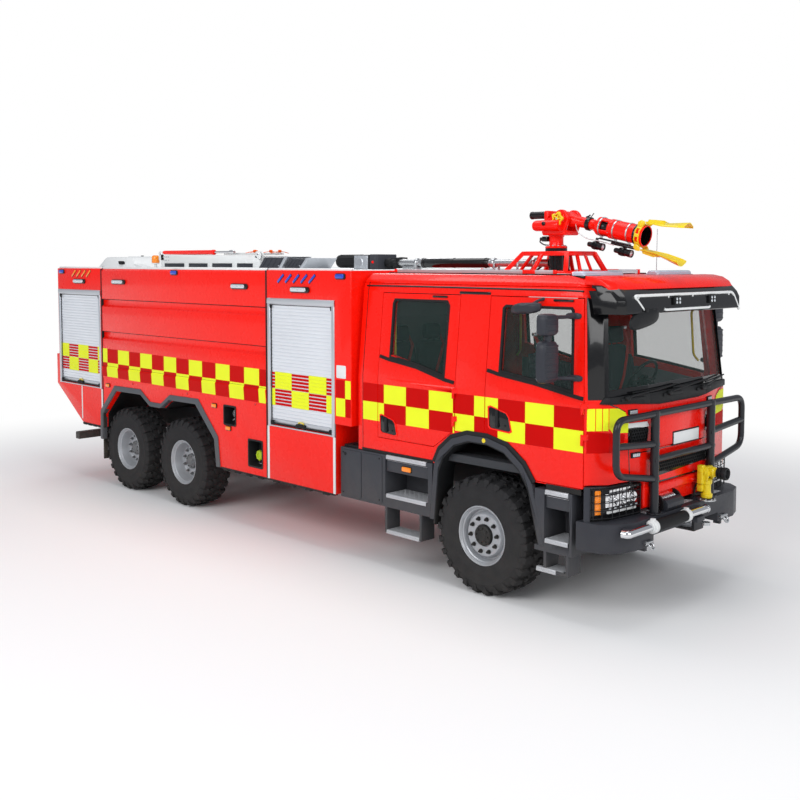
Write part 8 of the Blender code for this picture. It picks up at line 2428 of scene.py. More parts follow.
faces.turned(
    [(-0.186, 0.0), (-0.186, 0.050), (-0.180, 0.060), (-0.168, 0.062), (-0.168, 0.0)], (-2.86, 0, 3.27), "Y",
    32
)
for x in (-2.94, -2.745):
    for z in (3.21, 3.335):
        faces.turned([(-0.188, 0.0), (-0.188, 0.008), (-0.178, 0.010), (-0.178, 0.0)], (x, 0, z), "Y", 8)
faces.done()
panel = Piece("pump_box_cover", "chassis", "step_grey", "anthracite_paint", sharp=30)
panel.box((-2.70, -0.168, 3.184), (-2.562, 0.168, 3.370), bevel=0.010)
panel.box((-2.690, -0.176, 3.196), (-2.575, -0.160, 3.358), bevel=0.006)
panel.done()
mark = Piece("pump_box_knob", "chassis", "red", "red_paint")
mark.turned([(-0.186, 0.0), (-0.186, 0.014), (-0.176, 0.018), (-0.172, 0.0)], (-2.632, 0, 3.275), "Y", 20)
mark.done()

pipe = Piece("feed_pipe", "chassis", "steel", "white_paint")
pipe.rod((-2.33, 0, FEED_Z), (-0.10, 0, FEED_Z), 0.042, 32)
for x in (-2.04, -0.86, -0.30):
    pipe.turned(
        [
            (x - 0.020, 0.044), (x - 0.020, 0.054), (x - 0.012, 0.058), (x + 0.012, 0.058),
            (x + 0.020, 0.054), (x + 0.020, 0.044)
        ],
        (0, 0, FEED_Z), "X", 32
    )
pipe.turned(
    [(-2.03, 0.042), (-1.99, 0.046), (-1.945, 0.060), (-1.935, 0.060), (-1.935, 0.042)], (0, 0, FEED_Z), "X",
    32
)
# The first stand is on the body's roof, the others on the cab's.
for x, foot in ((-2.05, 3.20), (-0.83, 3.152), (-0.50, 3.152)):
    for y in (-0.045, 0.045):
        pipe.box((x - 0.012, y - 0.006, foot), (x + 0.012, y + 0.006, FEED_Z), bevel=0.002)
    pipe.box((x - 0.020, -0.075, foot), (x + 0.020, 0.075, foot + 0.008), bevel=0.002)
pipe.box((-2.25, -0.05, 3.19), (-2.02, 0.05, 3.225), bevel=0.004)
pipe.done()
sleeve = Piece("feed_sleeve", "chassis", "gloss_black", "cab_plastic")
sleeve.turned(
    [(-1.955, 0.0425), (-1.955, 0.052), (-1.945, 0.057), (-0.935, 0.054), (-0.925, 0.050), (-0.925, 0.0425)],
    (0, 0, FEED_Z), "X", 36
)
for x in (-1.90, -1.45, -0.98):
    sleeve.turned(
        [(x - 0.006, 0.052), (x - 0.006, 0.0585), (x + 0.006, 0.0585), (x + 0.006, 0.052)], (0, 0, FEED_Z),
        "X", 36
    )
sleeve.done()
walk = Piece("walkway", "chassis", "tread", "white_paint")
for side in SIDES:
    y0, y1 = across(side, 0.72, 0.46)
    chequer(walk, -1.66, 0.50, y0, y1, 3.158)
    walk.prism(
        handed(
            side, (0.735, 3.150), (0.742, 3.196), (0.732, 3.198), (0.720, 3.164), (0.70, 3.160), (0.70, 3.150)
        ),
        "X", -1.67, 0.51, bevel=0.0015
    )
walk.done()
edge = Piece("walkway_strip", "chassis", "red", "red_paint")
for side in SIDES:
    for x0, x1 in ((-1.68, -1.64), (0.12, 0.27), (0.49, 0.53)):
        y0, y1 = across(side, 0.730, 0.7455)
        edge.box((x0, y0, 3.152), (x1, y1, 3.199), bevel=0.002)
edge.done()
seal = Piece("roof_edge_seal", "chassis", "rubber", "cab_plastic")
for side in SIDES:
    seal.tube(
        [(-1.70, side * 0.80, 3.154), (0.62, side * 0.80, 3.154), (0.92, side * 0.76, 3.148)], 0.009, 10,
        bend=0.05
    )
    for x in (-1.5, -0.9, -0.3, 0.3):
        seal.box((x - 0.02, side * 0.80 - 0.016, 3.148), (x + 0.02, side * 0.80 + 0.016, 3.160), bevel=0.003)
seal.done()
AERIAL_X, AERIAL_Y = 0.591, 0.97
aerial = Piece("whip_aerial", "chassis", "steel", "cab_plastic")
aerial.tube([(AERIAL_X, AERIAL_Y, 3.160), (0.592, AERIAL_Y, 3.40), (0.594, 0.972, 3.63)], 0.004, 10)
aerial.turned(
    [(3.148, 0.0), (3.148, 0.024), (3.158, 0.022), (3.166, 0.012), (3.190, 0.008), (3.196, 0.0)],
    (AERIAL_X, AERIAL_Y, 0), "Z", 24
)
aerial.done()

# Roof monitor

# Its pitch axis, how far it is turned down at rest, and the column it turns on.
AIM_X, AIM_Z, REST_PITCH, COLUMN_X = 0.12, 3.72, 11.7, -0.02
REST_TURN = Matrix.Translation((AIM_X, 0, AIM_Z)) @ Matrix.Rotation(math.radians(REST_PITCH), 4, "Y")
# Stand: plan and heights of its foot and head, and where its side stays meet them.
FOOT, FOOT_Z = rectangle(-0.43, 0.36, -0.36, 0.36), 3.166
HEAD, HEAD_Z = rectangle(-0.27, 0.29, -0.24, 0.24), 3.364
STAYS = (
    ((-0.06, 0.36), (-0.02, 0.24), 0.040), ((-0.43, 0.10), (-0.27, 0.07), 0.030),
    ((0.36, 0.10), (0.29, 0.07), 0.030)
)


def aimed(piece, *nodes):
    """Finishes a piece built along X from the monitor's pitch axis, turned down to where it rests."""
    bmesh.ops.transform(piece.bm, matrix=REST_TURN, verts=piece.bm.verts)
    return piece.done(*nodes)


def bar(piece, a, b, width, thick, bevel=0.004):
    """Flat-sided bar from a to b."""
    a, b = Vector(a), Vector(b)
    turn = Matrix.Translation(a) @ (b - a).to_track_quat("Z", "Y").to_matrix().to_4x4()
    piece.box(
        (-width / 2, -thick / 2, -0.004), (width / 2, thick / 2, (b - a).length + 0.004), bevel=bevel,
        turn=turn
    )


def around(piece, profile, steps):
    """Form turned about the barrel's axis from its (along, radius) points."""
    piece.turned(profile, (0, 0, 0), "X", steps)


stand = Piece("stand_frame", "chassis", "red", "red_paint", sharp=30)
for low, high in zip(FOOT, HEAD):
    bar(stand, (*low, 3.160), (*high, 3.366), 0.046, 0.046)
for plan, z in ((FOOT, FOOT_Z), (HEAD, HEAD_Z)):
    for p, q in zip(plan, plan[1:] + plan[:1]):
        bar(stand, (*p, z), (*q, z), 0.030, 0.046)
for side in SIDES:
    for (x0, y0), (x1, y1), width in STAYS:
        bar(stand, (x0, side * y0, FOOT_Z), (x1, side * y1, 3.360), width, 0.030)
stand.box((-0.275, -0.245, 3.362), (0.295, 0.245, 3.380), bevel=0.005)
for x, y in FOOT:
    stand.box((x - 0.05, y - 0.05, 3.152), (x + 0.05, y + 0.05, FOOT_Z), bevel=0.003)
stand.done("monitor_stand")

# (height, radius) of the fixed column and of the turret's base that turns on it
COLUMN = [(3.156, 0.0), (3.156, 0.110), (3.172, 0.110), (3.176, 0.076), (3.376, 0.076), (3.380, 0.108),
          (3.386, 0.1145),
          (3.4175, 0.1145), (3.4199, 0.110), (3.4199, 0.0)]
TURRET_BASE = [(3.4203, 0.0), (3.4203, 0.112), (3.424, 0.115), (3.438, 0.115), (3.442, 0.110), (3.446, 0.080),
               (3.470, 0.074), (3.530, 0.074), (3.548, 0.084), (3.560, 0.084), (3.56, 0.0)]
TURRET_BOLTS, TURRET_BOLT_CIRCLE = 12, 0.098
column = Piece("stand_column", "chassis", "gloss_black", "cab_plastic")
column.turned(COLUMN, (COLUMN_X, 0, 0), "Z", 40)
column.box((-0.10, 0.10, 3.17), (0.05, 0.15, 3.36), bevel=0.006)
column.tube(
    [(-0.30, 0.02, 3.18), (-0.22, 0.05, 3.25), (-0.12, 0.05, 3.22), (-0.08, 0.02, 3.28)], 0.012, 12, bend=0.04
)
column.done()
bolts = Piece("monitor_bolts", "roof_turret", "steel", "chassis_paint")
bolt = [(3.440, 0.0), (3.440, 0.009), (3.450, 0.009), (3.453, 0.006), (3.453, 0.0)]
for k in range(TURRET_BOLTS):
    x, y = on_circle(TURRET_BOLT_CIRCLE, k + 0.5, TURRET_BOLTS)
    bolts.turned(bolt, (COLUMN_X + x, y, 0), "Z", 6)
bolts.done()

# Turret: bridge, cheeks round the pitch axis, drive housing across its right side, and back plate
CHEEK_RADIUS = 0.096
CHEEK = [(AIM_X + CHEEK_RADIUS * math.cos(math.radians(a)), AIM_Z + CHEEK_RADIUS * math.sin(math.radians(a)))
         for a in range(-20, 161, 12)] + [(-0.10, 3.700), (-0.118, 3.66), (-0.118, 3.57), (0.165, 3.57)]
CHEEK_CAP = ((0.118, 0.0), (0.118, 0.062), (0.134, 0.058), (0.140, 0.046), (0.140, 0.0))
HOUSING_Z = 3.652
DRIVE_HOUSING = [(-0.190, 0.0), (-0.190, 0.030), (-0.178, 0.048), (-0.155, 0.056), (0.130, 0.060),
                 (0.150, 0.054),
                 (0.150, 0.0)]
turret = Piece("turret_casting", "roof_turret", "red", "red_paint", sharp=32)
turret.turned(TURRET_BASE, (COLUMN_X, 0, 0), "Z", 48)
turret.box((-0.115, -0.124, 3.553), (0.178, 0.124, 3.602), bevel=0.016, segments=4)
for side in SIDES:
    turret.prism(CHEEK, "Y", *across(side, 0.087, 0.126), bevel=0.010, segments=3)
    turret.turned(handed(side, *CHEEK_CAP), (AIM_X, 0, AIM_Z), "Y", 36)
turret.turned(DRIVE_HOUSING, (0, -0.165, HOUSING_Z), "X", 36)
turret.turned([(-0.110, 0.0), (-0.110, 0.046), (-0.16, 0.050), (-0.16, 0.0)], (0.02, 0, HOUSING_Z), "Y", 32)
turret.box((-0.122, -0.086, 3.60), (-0.070, 0.086, 3.812), bevel=0.014, segments=3)
turret.done("monitor_turret")

# Motor behind the back plate, with its ribs, plugs and leads
MOTOR_Z, MOTOR_RADIUS, MOTOR_RIBS = 3.770, 0.037, 10
MOTOR = [(-0.350, 0.0), (-0.350, 0.036), (-0.344, 0.042), (-0.328, 0.042), (-0.322, 0.037), (-0.20, 0.037),
         (
             -0.196, 0.0405
         ), (-0.180, 0.0405), (-0.176, 0.037), (-0.145, 0.037), (-0.140, 0.041), (-0.110, 0.041),
         (-0.110, 0.0)]
drive = Piece("turret_drive", "roof_turret", "gloss_black", "cab_plastic")
drive.turned(MOTOR, (0, 0, MOTOR_Z), "X", 36)
for k in range(MOTOR_RIBS):
    y, up = on_circle(MOTOR_RADIUS, k, MOTOR_RIBS)
    drive.rod((-0.318, y, MOTOR_Z + up), (-0.205, y, MOTOR_Z + up), 0.003, 8)
drive.turned(
    [(-0.240, 0.0), (-0.240, 0.014), (-0.230, 0.022), (-0.212, 0.020), (-0.208, 0.0)], (-0.02, 0, 3.672), "Y",
    20
)
drive.turned(
    [(0.136, 0.0), (0.136, 0.040), (0.165, 0.040), (0.172, 0.030), (0.172, 0.0)], (AIM_X, 0, AIM_Z), "Y", 28
)
drive.tube(
    [(-0.02, 0.10, 3.585), (-0.10, 0.16, 3.56), (-0.12, 0.13, 3.49), (-0.095, 0.075, 3.47)], 0.009, 12,
    bend=0.04
)
drive.box((-0.155, -0.075, 3.49), (-0.085, -0.012, 3.545), bevel=0.006)
drive.rod((-0.155, -0.045, 3.518), (-0.190, -0.045, 3.518), 0.020, 20, bevel=0.003)
drive.tube([(-0.185, -0.045, 3.518), (-0.205, -0.045, 3.49), (-0.150, -0.040, 3.455), (-0.09, -0.035, 3.452)],
           0.007, 12, bend=0.03)
drive.done()

# Handwheel with lobes round its rim
HUB_Y, GRIP_RADIUS, LOBE_RISE, SPOKE_REACH = -0.174, 0.064, 0.010, 0.052
LOBES, GRIP_STEPS, RIM_SHARE = 5, 60, 0.70
WHEEL_FRONT, WHEEL_BACK = HUB_Y - 0.016, HUB_Y + 0.010


def grip_point(k):
    """Point on the handwheel's lobed rim."""
    angle = math.tau * k / GRIP_STEPS
    radius = GRIP_RADIUS + LOBE_RISE * math.cos(LOBES * angle)
    return (AIM_X + radius * math.cos(angle), AIM_Z + radius * math.sin(angle))


lobes = [grip_point(k) for k in range(GRIP_STEPS)]
inner = [(AIM_X + (x - AIM_X) * RIM_SHARE, AIM_Z + (z - AIM_Z) * RIM_SHARE) for x, z in lobes]
wheel = Piece("monitor_handwheel", "roof_turret", "yellow", "yellow_paint", sharp=40)
shapes = ((WHEEL_BACK, inner), (WHEEL_BACK, lobes), (WHEEL_FRONT, lobes), (WHEEL_FRONT, inner))
wheel.skin([[(x, y, z) for x, z in shape] for y, shape in shapes], wrap=True, bevel=0.004)
for k in range(LOBES):
    x, z = on_circle(SPOKE_REACH, k, LOBES)
    wheel.rod((AIM_X, HUB_Y, AIM_Z), (AIM_X + x, HUB_Y - 0.003, AIM_Z + z), 0.0095, 12)
hub = [
    (HUB_Y + 0.014, 0.0), (HUB_Y + 0.014, 0.020), (HUB_Y - 0.014, 0.020), (HUB_Y - 0.020, 0.014),
    (HUB_Y - 0.020, 0.0)
]
wheel.turned(hub, (AIM_X, 0, AIM_Z), "Y", 24)
wheel.done()
shaft = Piece("handwheel_shaft", "roof_turret", "steel", "chassis_paint")
shaft.turned(
    [(-0.132, 0.0), (-0.132, 0.014), (-0.160, 0.014), (-0.196, 0.009), (-0.198, 0.0)], (AIM_X, 0, AIM_Z), "Y",
    20
)
shaft.done()

# Barrel, built along X from the pitch axis and then turned down: (along, radius) of its castings
BARREL_HUB = [
    (-0.0845, 0.0), (-0.0845, 0.074), (-0.078, 0.080), (0.078, 0.080), (0.0845, 0.074), (0.0845, 0.0)
]
BARREL_NECK = [(0.040, 0.0), (0.040, 0.072), (0.090, 0.066), (0.110, 0.056), (0.300, 0.054), (0.350, 0.060),
               (0.392, 0.084), (0.404, 0.094), (0.446, 0.0965), (0.452, 0.090), (0.452, 0.0)]
BARREL_MUZZLE = [(0.545, 0.0), (0.545, 0.092), (0.552, 0.0985), (0.588, 0.0985), (0.594, 0.094),
                 (0.845, 0.0955),
                 (0.862, 0.101), (0.950, 0.106), (0.955, 0.103), (0.955, 0.096), (0.840, 0.086), (0.835, 0.0)]
BARREL_STRUTS, FIRST_STRUT = 4, 30
# Black bands, and the cone inside the mouth: steps round, then (along, radius).
BARREL_BANDS = (
    (40, [(0.255, 0.050), (0.255, 0.064), (0.262, 0.070), (0.296, 0.070), (0.303, 0.064), (0.303, 0.050)]),
    (36, [(0.448, 0.0), (0.448, 0.070), (0.50, 0.060), (0.548, 0.070), (0.548, 0.0)]),
    (48, [(0.852, 0.093), (0.852, 0.104), (0.874, 0.106), (0.880, 0.104), (0.880, 0.093)]),
    (40, [(0.842, 0.0), (0.842, 0.0855), (0.946, 0.0945), (0.948, 0.0915), (0.852, 0.080), (0.850, 0.030),
          (0.880, 0.022), (0.886, 0.0)]),
)
# Lamp and camera under the barrel: middle and length. Both hang on the same line.
BARREL_LAMPS, LAMP_Y, LAMP_Z, HOOD_RADIUS = ((0.415, 0.185), (0.745, 0.200)), -0.02, -0.198, 0.036
HOOD_RIBS, HOOD_PITCH = 6, 0.011
BARREL_RINGS, RING_BOLTS = (0.45, 0.62, 0.78), 8

barrel = Piece("barrel_casting", "roof_barrel", "red", "red_paint", sharp=34)
barrel.turned(BARREL_HUB, (0, 0, 0), "Y", 44)
around(barrel, BARREL_NECK, 48)
around(barrel, BARREL_MUZZLE, 48)
for k in range(BARREL_STRUTS):
    turn = Matrix.Rotation(math.radians(FIRST_STRUT + 360 / BARREL_STRUTS * k), 4, "X")
    barrel.box((0.440, -0.022, 0.078), (0.556, 0.022, 0.096), bevel=0.005, turn=turn)
aimed(barrel, "monitor_barrel")

dark = Piece("barrel_bands", "roof_barrel", "gloss_black", "cab_plastic")
for steps, profile in BARREL_BANDS:
    around(dark, profile, steps)
dark.rod((0.285, -0.01, 0.066), (0.322, -0.02, 0.116), 0.0045, 10)
dark.tube([(0.18, 0.06, 0.052), (0.20, 0.085, 0.070), (0.205, 0.094, 0.082)], 0.008, 12, bend=0.01)
# rail under the barrel, then each lamp with its ribs and clamp
dark.box((0.430, -0.018, -0.128), (0.800, 0.018, -0.112), bevel=0.003)
dark.rod((0.60, -0.03, -0.135), (0.88, -0.03, -0.135), 0.016, 20, bevel=0.003)
for along, length in BARREL_LAMPS:
    r, x0, x1 = HOOD_RADIUS, along - length / 2, along + length / 2
    hood = [(x0, 0.0), (x0, r * 0.62), (x0 + 0.012, r * 0.72), (x0 + 0.050, r * 0.74), (x0 + 0.056, r),
            (x1 - 0.040, r),
            (x1 - 0.036, r * 1.08), (x1, r * 1.08), (x1, r * 0.92), (x1 - 0.012, r * 0.88), (x1 - 0.014, 0.0)]
    dark.turned(hood, (0, LAMP_Y, LAMP_Z), "X", 32)
    for k in range(HOOD_RIBS):
        x = x0 + 0.064 + HOOD_PITCH * k
        rib = [(x, r * 0.9), (x, r * 1.12), (x + 0.005, r * 1.12), (x + 0.005, r * 0.9)]
        dark.turned(rib, (0, LAMP_Y, LAMP_Z), "X", 32)
    dark.box((along - 0.012, -0.052, LAMP_Z - 0.040), (along + 0.016, 0.012, LAMP_Z + 0.044), bevel=0.005)
    dark.box((along - 0.010, -0.032, LAMP_Z + 0.030), (along + 0.014, -0.008, -0.118), bevel=0.003)
aimed(dark)

glasses = Piece("barrel_lamp_lenses", "roof_barrel", "clear_lens", "glass")
for along, length in BARREL_LAMPS:
    x1 = along + length / 2
    lens = [
        (x1 - 0.016, 0.0), (x1 - 0.016, 0.031), (x1 - 0.010, 0.031), (x1 - 0.004, 0.020), (x1 - 0.002, 0.0)
    ]
    glasses.turned(lens, (0, LAMP_Y, LAMP_Z), "X", 32)
aimed(glasses)

clips = Piece("barrel_fittings", "roof_barrel", "steel", "chassis_paint")
clips.tube([(0.16, -0.068, -0.03), (0.22, -0.10, -0.10), (0.34, -0.085, -0.145), (0.46, -0.06, -0.140),
            (0.64, -0.045, -0.150)], 0.005, 12, bend=0.05)
for x in BARREL_RINGS:
    around(clips, [(x - 0.007, 0.094), (x - 0.007, 0.1005), (x + 0.007, 0.1005), (x + 0.007, 0.094)], 44)
    clips.box((x - 0.010, -0.012, -0.116), (x + 0.010, 0.012, -0.096), bevel=0.002)
for k in range(RING_BOLTS):
    root, end = on_circle(0.0975, k + 0.5, RING_BOLTS), on_circle(0.1035, k + 0.5, RING_BOLTS)
    clips.rod((0.569, *root), (0.569, *end), 0.005, 6)
aimed(clips)

# Eight-sided yellow bracket round the muzzle, with lugs that hold the jaws
BRACKET_RADIUS, BRACKET_BORE, BRACKET_SIDES, LUG_HALF_GAUGE = 0.124, 0.1055, 8, 0.078
LUG_OUTLINE = ((0.884, 0.085), (0.884, 0.128), (0.915, 0.150), (0.958, 0.147), (0.960, 0.122), (0.935, 0.095))
ring_piece = Piece("nozzle_bracket", "roof_barrel", "yellow", "yellow_paint", sharp=30)
rim = [on_circle(BRACKET_RADIUS, k + 0.5, BRACKET_SIDES) for k in range(BRACKET_SIDES)]
hole = [on_circle(BRACKET_BORE, k + 0.5, BRACKET_SIDES) for k in range(BRACKET_SIDES)]
for x0, x1 in ((0.884, 0.892), (0.928, 0.936)):
    shapes = ((x0, hole), (x0, rim), (x1, rim), (x1, hole))
    ring_piece.skin([[(x, y, z) for y, z in shape] for x, shape in shapes], wrap=True, bevel=0.0015)
for k in range(BRACKET_SIDES):
    turn = Matrix.Rotation(math.tau * k / BRACKET_SIDES, 4, "X")
    ring_piece.box((0.886, -0.016, 0.104), (0.934, 0.016, 0.117), bevel=0.003, turn=turn)
for side in SIDES:
    for y in (-LUG_HALF_GAUGE, LUG_HALF_GAUGE):
        ring_piece.prism([(x, side * z) for x, z in LUG_OUTLINE], "Y", y - 0.004, y + 0.004, bevel=0.0015)
aimed(ring_piece)

# Jaws: a blade that widens and lifts away from the axis along its length
JAW_STEPS, JAW_LENGTH, JAW_RISE, JAW_DROOP, JAW_THICK = 9, 0.42, 0.075, 0.035, 0.009
JAW_ROOT_WIDTH, JAW_TIP_GAIN, JAW_KNEE, JAW_TAPER_START = 0.13, 0.12, 0.45, 0.86
PIN_X, PIN_Z = 0.965, 0.128
RIB_OUTLINE = ((-0.008, 0.004), (0.010, 0.040), (0.13, 0.052), (0.20, 0.030), (0.10, 0.014))


def eased(t, knee_value):
    """Share of the full value at t, which reaches knee_value at the jaw's knee."""
    if t < JAW_KNEE:
        return knee_value * t / JAW_KNEE
    return knee_value + (1 - knee_value) * (t - JAW_KNEE) / (1 - JAW_KNEE)


for side, body, node in ((1, "jaw_upper", "monitor_jaw_upper"), (-1, "jaw_lower", "monitor_jaw_lower")):
    jaw = Piece(f"{body}_blade", body, "yellow", "yellow_paint", sharp=22)
    pin_z = side * PIN_Z
    rings = []
    for k in range(JAW_STEPS + 1):
        t = k / JAW_STEPS
        wide = eased(t, 0.55)
        taper = 1.0 if t < JAW_TAPER_START else 1.0 - 0.30 * (t - JAW_TAPER_START) / (1 - JAW_TAPER_START)
        half = (JAW_ROOT_WIDTH + JAW_TIP_GAIN * wide) / 2 * taper
        rise = pin_z + side * JAW_RISE * eased(t, 0.35)
        rim = rise - side * JAW_DROOP * wide
        lip = rim - side * 0.012 * wide
        crown = rise - side * 0.003
        across_blade = [(-half, lip), (-half * 0.92, rim), (-half * 0.30, crown), (0, rise),
                        (half * 0.30, crown),
                        (half * 0.92, rim), (half, lip)]
        x, thick = PIN_X + JAW_LENGTH * t, side * JAW_THICK
        rings.append(
            [(x, y, z) for y, z in across_blade] + [(x, y, z + thick) for y, z in reversed(across_blade)]
        )
    jaw.skin(rings)
    axis_z = pin_z + side * 0.007
    jaw.rod((PIN_X, -0.066, axis_z), (PIN_X, 0.066, axis_z), 0.0098, 20)
    for y in (-0.040, 0.040):
        jaw.prism(
            [(PIN_X + x, pin_z + side * z) for x, z in RIB_OUTLINE], "Y", y - 0.003, y + 0.003, bevel=0.001
        )
    knob = [
        (pin_z + side * up, radius) for up,
        radius in ((0.020, 0.0), (0.020, 0.008), (0.034, 0.008), (0.034, 0.0))
    ]
    jaw.turned(knob, (PIN_X + 0.10, 0, 0), "Z", 8)
    aimed(jaw, node)
    bolts = Piece(f"{body}_bolts", body, "steel", "chassis_paint")
    for y in (-0.0505, 0.0505):
        head = [(y - 0.005, 0.0), (y - 0.005, 0.0115), (y + 0.005, 0.0115), (y + 0.005, 0.0)]
        bolts.turned(head, (PIN_X, 0, axis_z), "Y", 6)
    for t in (0.30, 0.45):
        z = pin_z + side * (JAW_RISE * 0.78 * t + 0.006)
        head = [(z, 0.0), (z, 0.006), (z + side * 0.008, 0.006), (z + side * 0.010, 0.0)]
        for y in (-0.022, 0.022):
            bolts.turned(head, (PIN_X + JAW_LENGTH * t, y, 0), "Z", 8)
    aimed(bolts)

# Cab: inside

GRID = 20
SEAM_DEPTH, SEAM_WIDTH, CREASE = 0.16, 0.045, 0.012


def cushion(
    name, body, centre, size, lean=0.0, channels=(), crown=0.10, power=5.0, finish="cloth", nodes=()
):
    """Padded piece: a full, round-edged form with sewn channels. size holds its half lengths."""
    bm = bmesh.new()
    bmesh.ops.create_cube(bm, size=2.0)
    bmesh.ops.subdivide_edges(bm, edges=bm.edges, cuts=GRID - 1, use_grid_fill=True)
    thin = min(range(3), key=lambda i: size[i])
    for v in bm.verts:
        u = list(v.co)
        norm = sum(abs(c) ** power for c in u) ** (1 / power)
        scale = max(abs(c) for c in u) / norm
        p = [c * scale for c in u]
        others = [i for i in range(3) if i != thin]
        swell = (1 - p[others[0]] ** 2) * (1 - p[others[1]] ** 2)
        p[thin] *= 1 + crown * swell
        for axis, at in channels:
            p[thin] *= 1 - SEAM_DEPTH * math.exp(-((p[axis] - at) / SEAM_WIDTH) ** 2)
        crease = CREASE * math.sin(
            9 * p[others[0]] + 5 * p[others[1]]
        ) * math.sin(7 * p[others[1]] - 3 * p[others[0]])
        p[thin] *= 1 + crease * (1 - swell)
        v.co = Vector([c * s for c, s in zip(p, size)])
    turn = Matrix.Translation(
        Vector(centre) + Vector((FRONT_AXLE, 0, 0))
    ) @ Matrix.Rotation(math.radians(lean), 4, "Y")
    bmesh.ops.transform(bm, matrix=turn, verts=bm.verts)
    mesh = bpy.data.meshes.new(name)
    bm.to_mesh(mesh)
    bm.free()
    obj = bpy.data.objects.new(name, mesh)
    bpy.context.scene.collection.objects.link(obj)
    mesh.materials.append(M[finish])
    mesh.shade_smooth()
    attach(obj, body)
    if nodes:
        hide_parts(*nodes)
    return obj


def strap(piece, points, width, thick=0.004):
    """Woven strap that follows points, its width across the truck."""
    flat = ((0, -width / 2), (0, width / 2), (thick, width / 2), (thick, -width / 2))
    rings = [[(x + dx, y + dy, z) for dx, dy in flat] for x, y, z in points]
    piece.skin(rings, bevel=0.0008)


DRIVER_Y = 0.62
frames = Piece("seat_frames", "chassis", "trim", "cab_plastic", sharp=30)
belts = Piece("seat_belts", "chassis", "belt_red", "red_paint", sharp=30)
buckles = Piece("seat_belt_buckles", "chassis", "steel", "chassis_paint")
for side in SIDES:
    y, hand = side * DRIVER_Y, HANDS[side]
    cushion(
        f"seat_pad_{hand}", "chassis", (0.505, y, 1.700), (0.230, 0.225, 0.062), -3,
        ((1, -0.55), (1, 0.55), (0, 0.1)), nodes=("front_seats",) if side > 0 else ()
    )
    cushion(
        f"seat_back_{hand}", "chassis", (0.335, y, 2.075), (0.060, 0.215, 0.320), -7,
        ((1, -0.55), (1, 0.55), (2, -0.3), (2, 0.15), (2, 0.55))
    )
    cushion(f"seat_headrest_{hand}", "chassis", (0.300, y, 2.500), (0.045, 0.130, 0.090), -7, crown=0.16)
    for way in SIDES:
        cushion(
            f"seat_bolster_{hand}_{'ab'[way > 0]}", "chassis", (0.365, y + way * 0.205, 2.03),
            (0.062, 0.032, 0.250), -7, crown=0.12
        )
    frames.box((0.33, y - 0.155, 1.345), (0.67, y + 0.155, 1.42), bevel=0.012)
    for k in range(5):
        grow = 0.012 if k % 2 else 0.0
        frames.box(
            (0.345 - grow, y - 0.135 - grow, 1.42 + k * 0.042),
            (0.655 + grow, y + 0.135 + grow, 1.462 + k * 0.042), bevel=0.008
        )
    frames.box((0.27, y - 0.235, 1.625), (0.73, y + 0.235, 1.652), bevel=0.010)
    frames.box((0.258, y - 0.205, 1.70), (0.285, y + 0.205, 2.38), bevel=0.012)
    for way in SIDES:
        frames.rod((0.305, y + way * 0.05, 2.37), (0.300, y + way * 0.05, 2.45), 0.007, 12)
    frames.box((0.38, y - side * 0.245 - 0.022, 1.905), (0.66, y - side * 0.245 + 0.022, 1.945), bevel=0.012)
    frames.rod((0.39, y - side * 0.222, 1.925), (0.30, y - side * 0.205, 1.925), 0.014, 14)
    strap(
        belts,
        [
            (0.310, y + side * 0.165, 2.56), (0.372, y + side * 0.150, 2.44), (0.404, y + side * 0.085, 2.26),
            (0.420, y + side * 0.01, 2.06), (0.432, y - side * 0.10, 1.89), (0.442, y - side * 0.19, 1.775)
        ],
        0.048
    )
    strap(
        belts,
        [
            (0.34, y + side * 0.235, 1.76), (0.45, y + side * 0.215, 1.80), (0.50, y + side * 0.10, 1.802),
            (0.50, y - side * 0.10, 1.802), (0.455, y - side * 0.20, 1.79)
        ],
        0.046, 0.004
    )
    buckles.box(
        (0.425, y - side * 0.215 - 0.018, 1.745), (0.470, y - side * 0.215 + 0.018, 1.815), bevel=0.005
    )
    buckles.box(
        (0.295, y + side * 0.165 - 0.030, 2.555), (0.330, y + side * 0.165 + 0.030, 2.585), bevel=0.005
    )
for k, y in enumerate((-0.765, -0.255, 0.255, 0.765)):
    cushion(
        f"bench_pad_{k + 1}", "chassis", (-1.385, y, 1.715), (0.240, 0.240, 0.062), -2,
        ((1, -0.55), (1, 0.55), (0, 0.0)), nodes=("rear_bench",) if k == 0 else ()
    )
    cushion(
        f"bench_back_{k + 1}", "chassis", (-1.565, y, 2.075), (0.055, 0.228, 0.310), -4,
        ((1, -0.55), (1, 0.55), (2, -0.3), (2, 0.15), (2, 0.55))
    )
    cushion(f"bench_headrest_{k + 1}", "chassis", (-1.575, y, 2.490), (0.042, 0.125, 0.085), -4, crown=0.16)
    frames.box((-1.60, y - 0.215, 1.345), (-1.20, y + 0.215, 1.655), bevel=0.012)
    frames.box((-1.192, y - 0.19, 1.38), (-1.200 + 0.012, y + 0.19, 1.62), bevel=0.003)
    frames.turned(
        [(-1.190, 0.0), (-1.190, 0.018), (-1.178, 0.018), (-1.175, 0.012), (-1.175, 0.0)], (0, y, 1.58), "X",
        20
    )
    for way in SIDES:
        frames.rod((-1.585, y + way * 0.05, 2.36), (-1.580, y + way * 0.05, 2.44), 0.007, 12)
    strap(
        belts,
        [
            (-1.605, y + 0.16, 2.46), (-1.520, y + 0.145, 2.35), (-1.498, y + 0.07, 2.20),
            (-1.485, y - 0.02, 2.02), (-1.475, y - 0.13, 1.85), (-1.465, y - 0.20, 1.775)
        ],
        0.046
    )
    buckles.box((-1.480, y - 0.232, 1.745), (-1.440, y - 0.200, 1.810), bevel=0.005)
frames.done()
belts.done()
buckles.done()

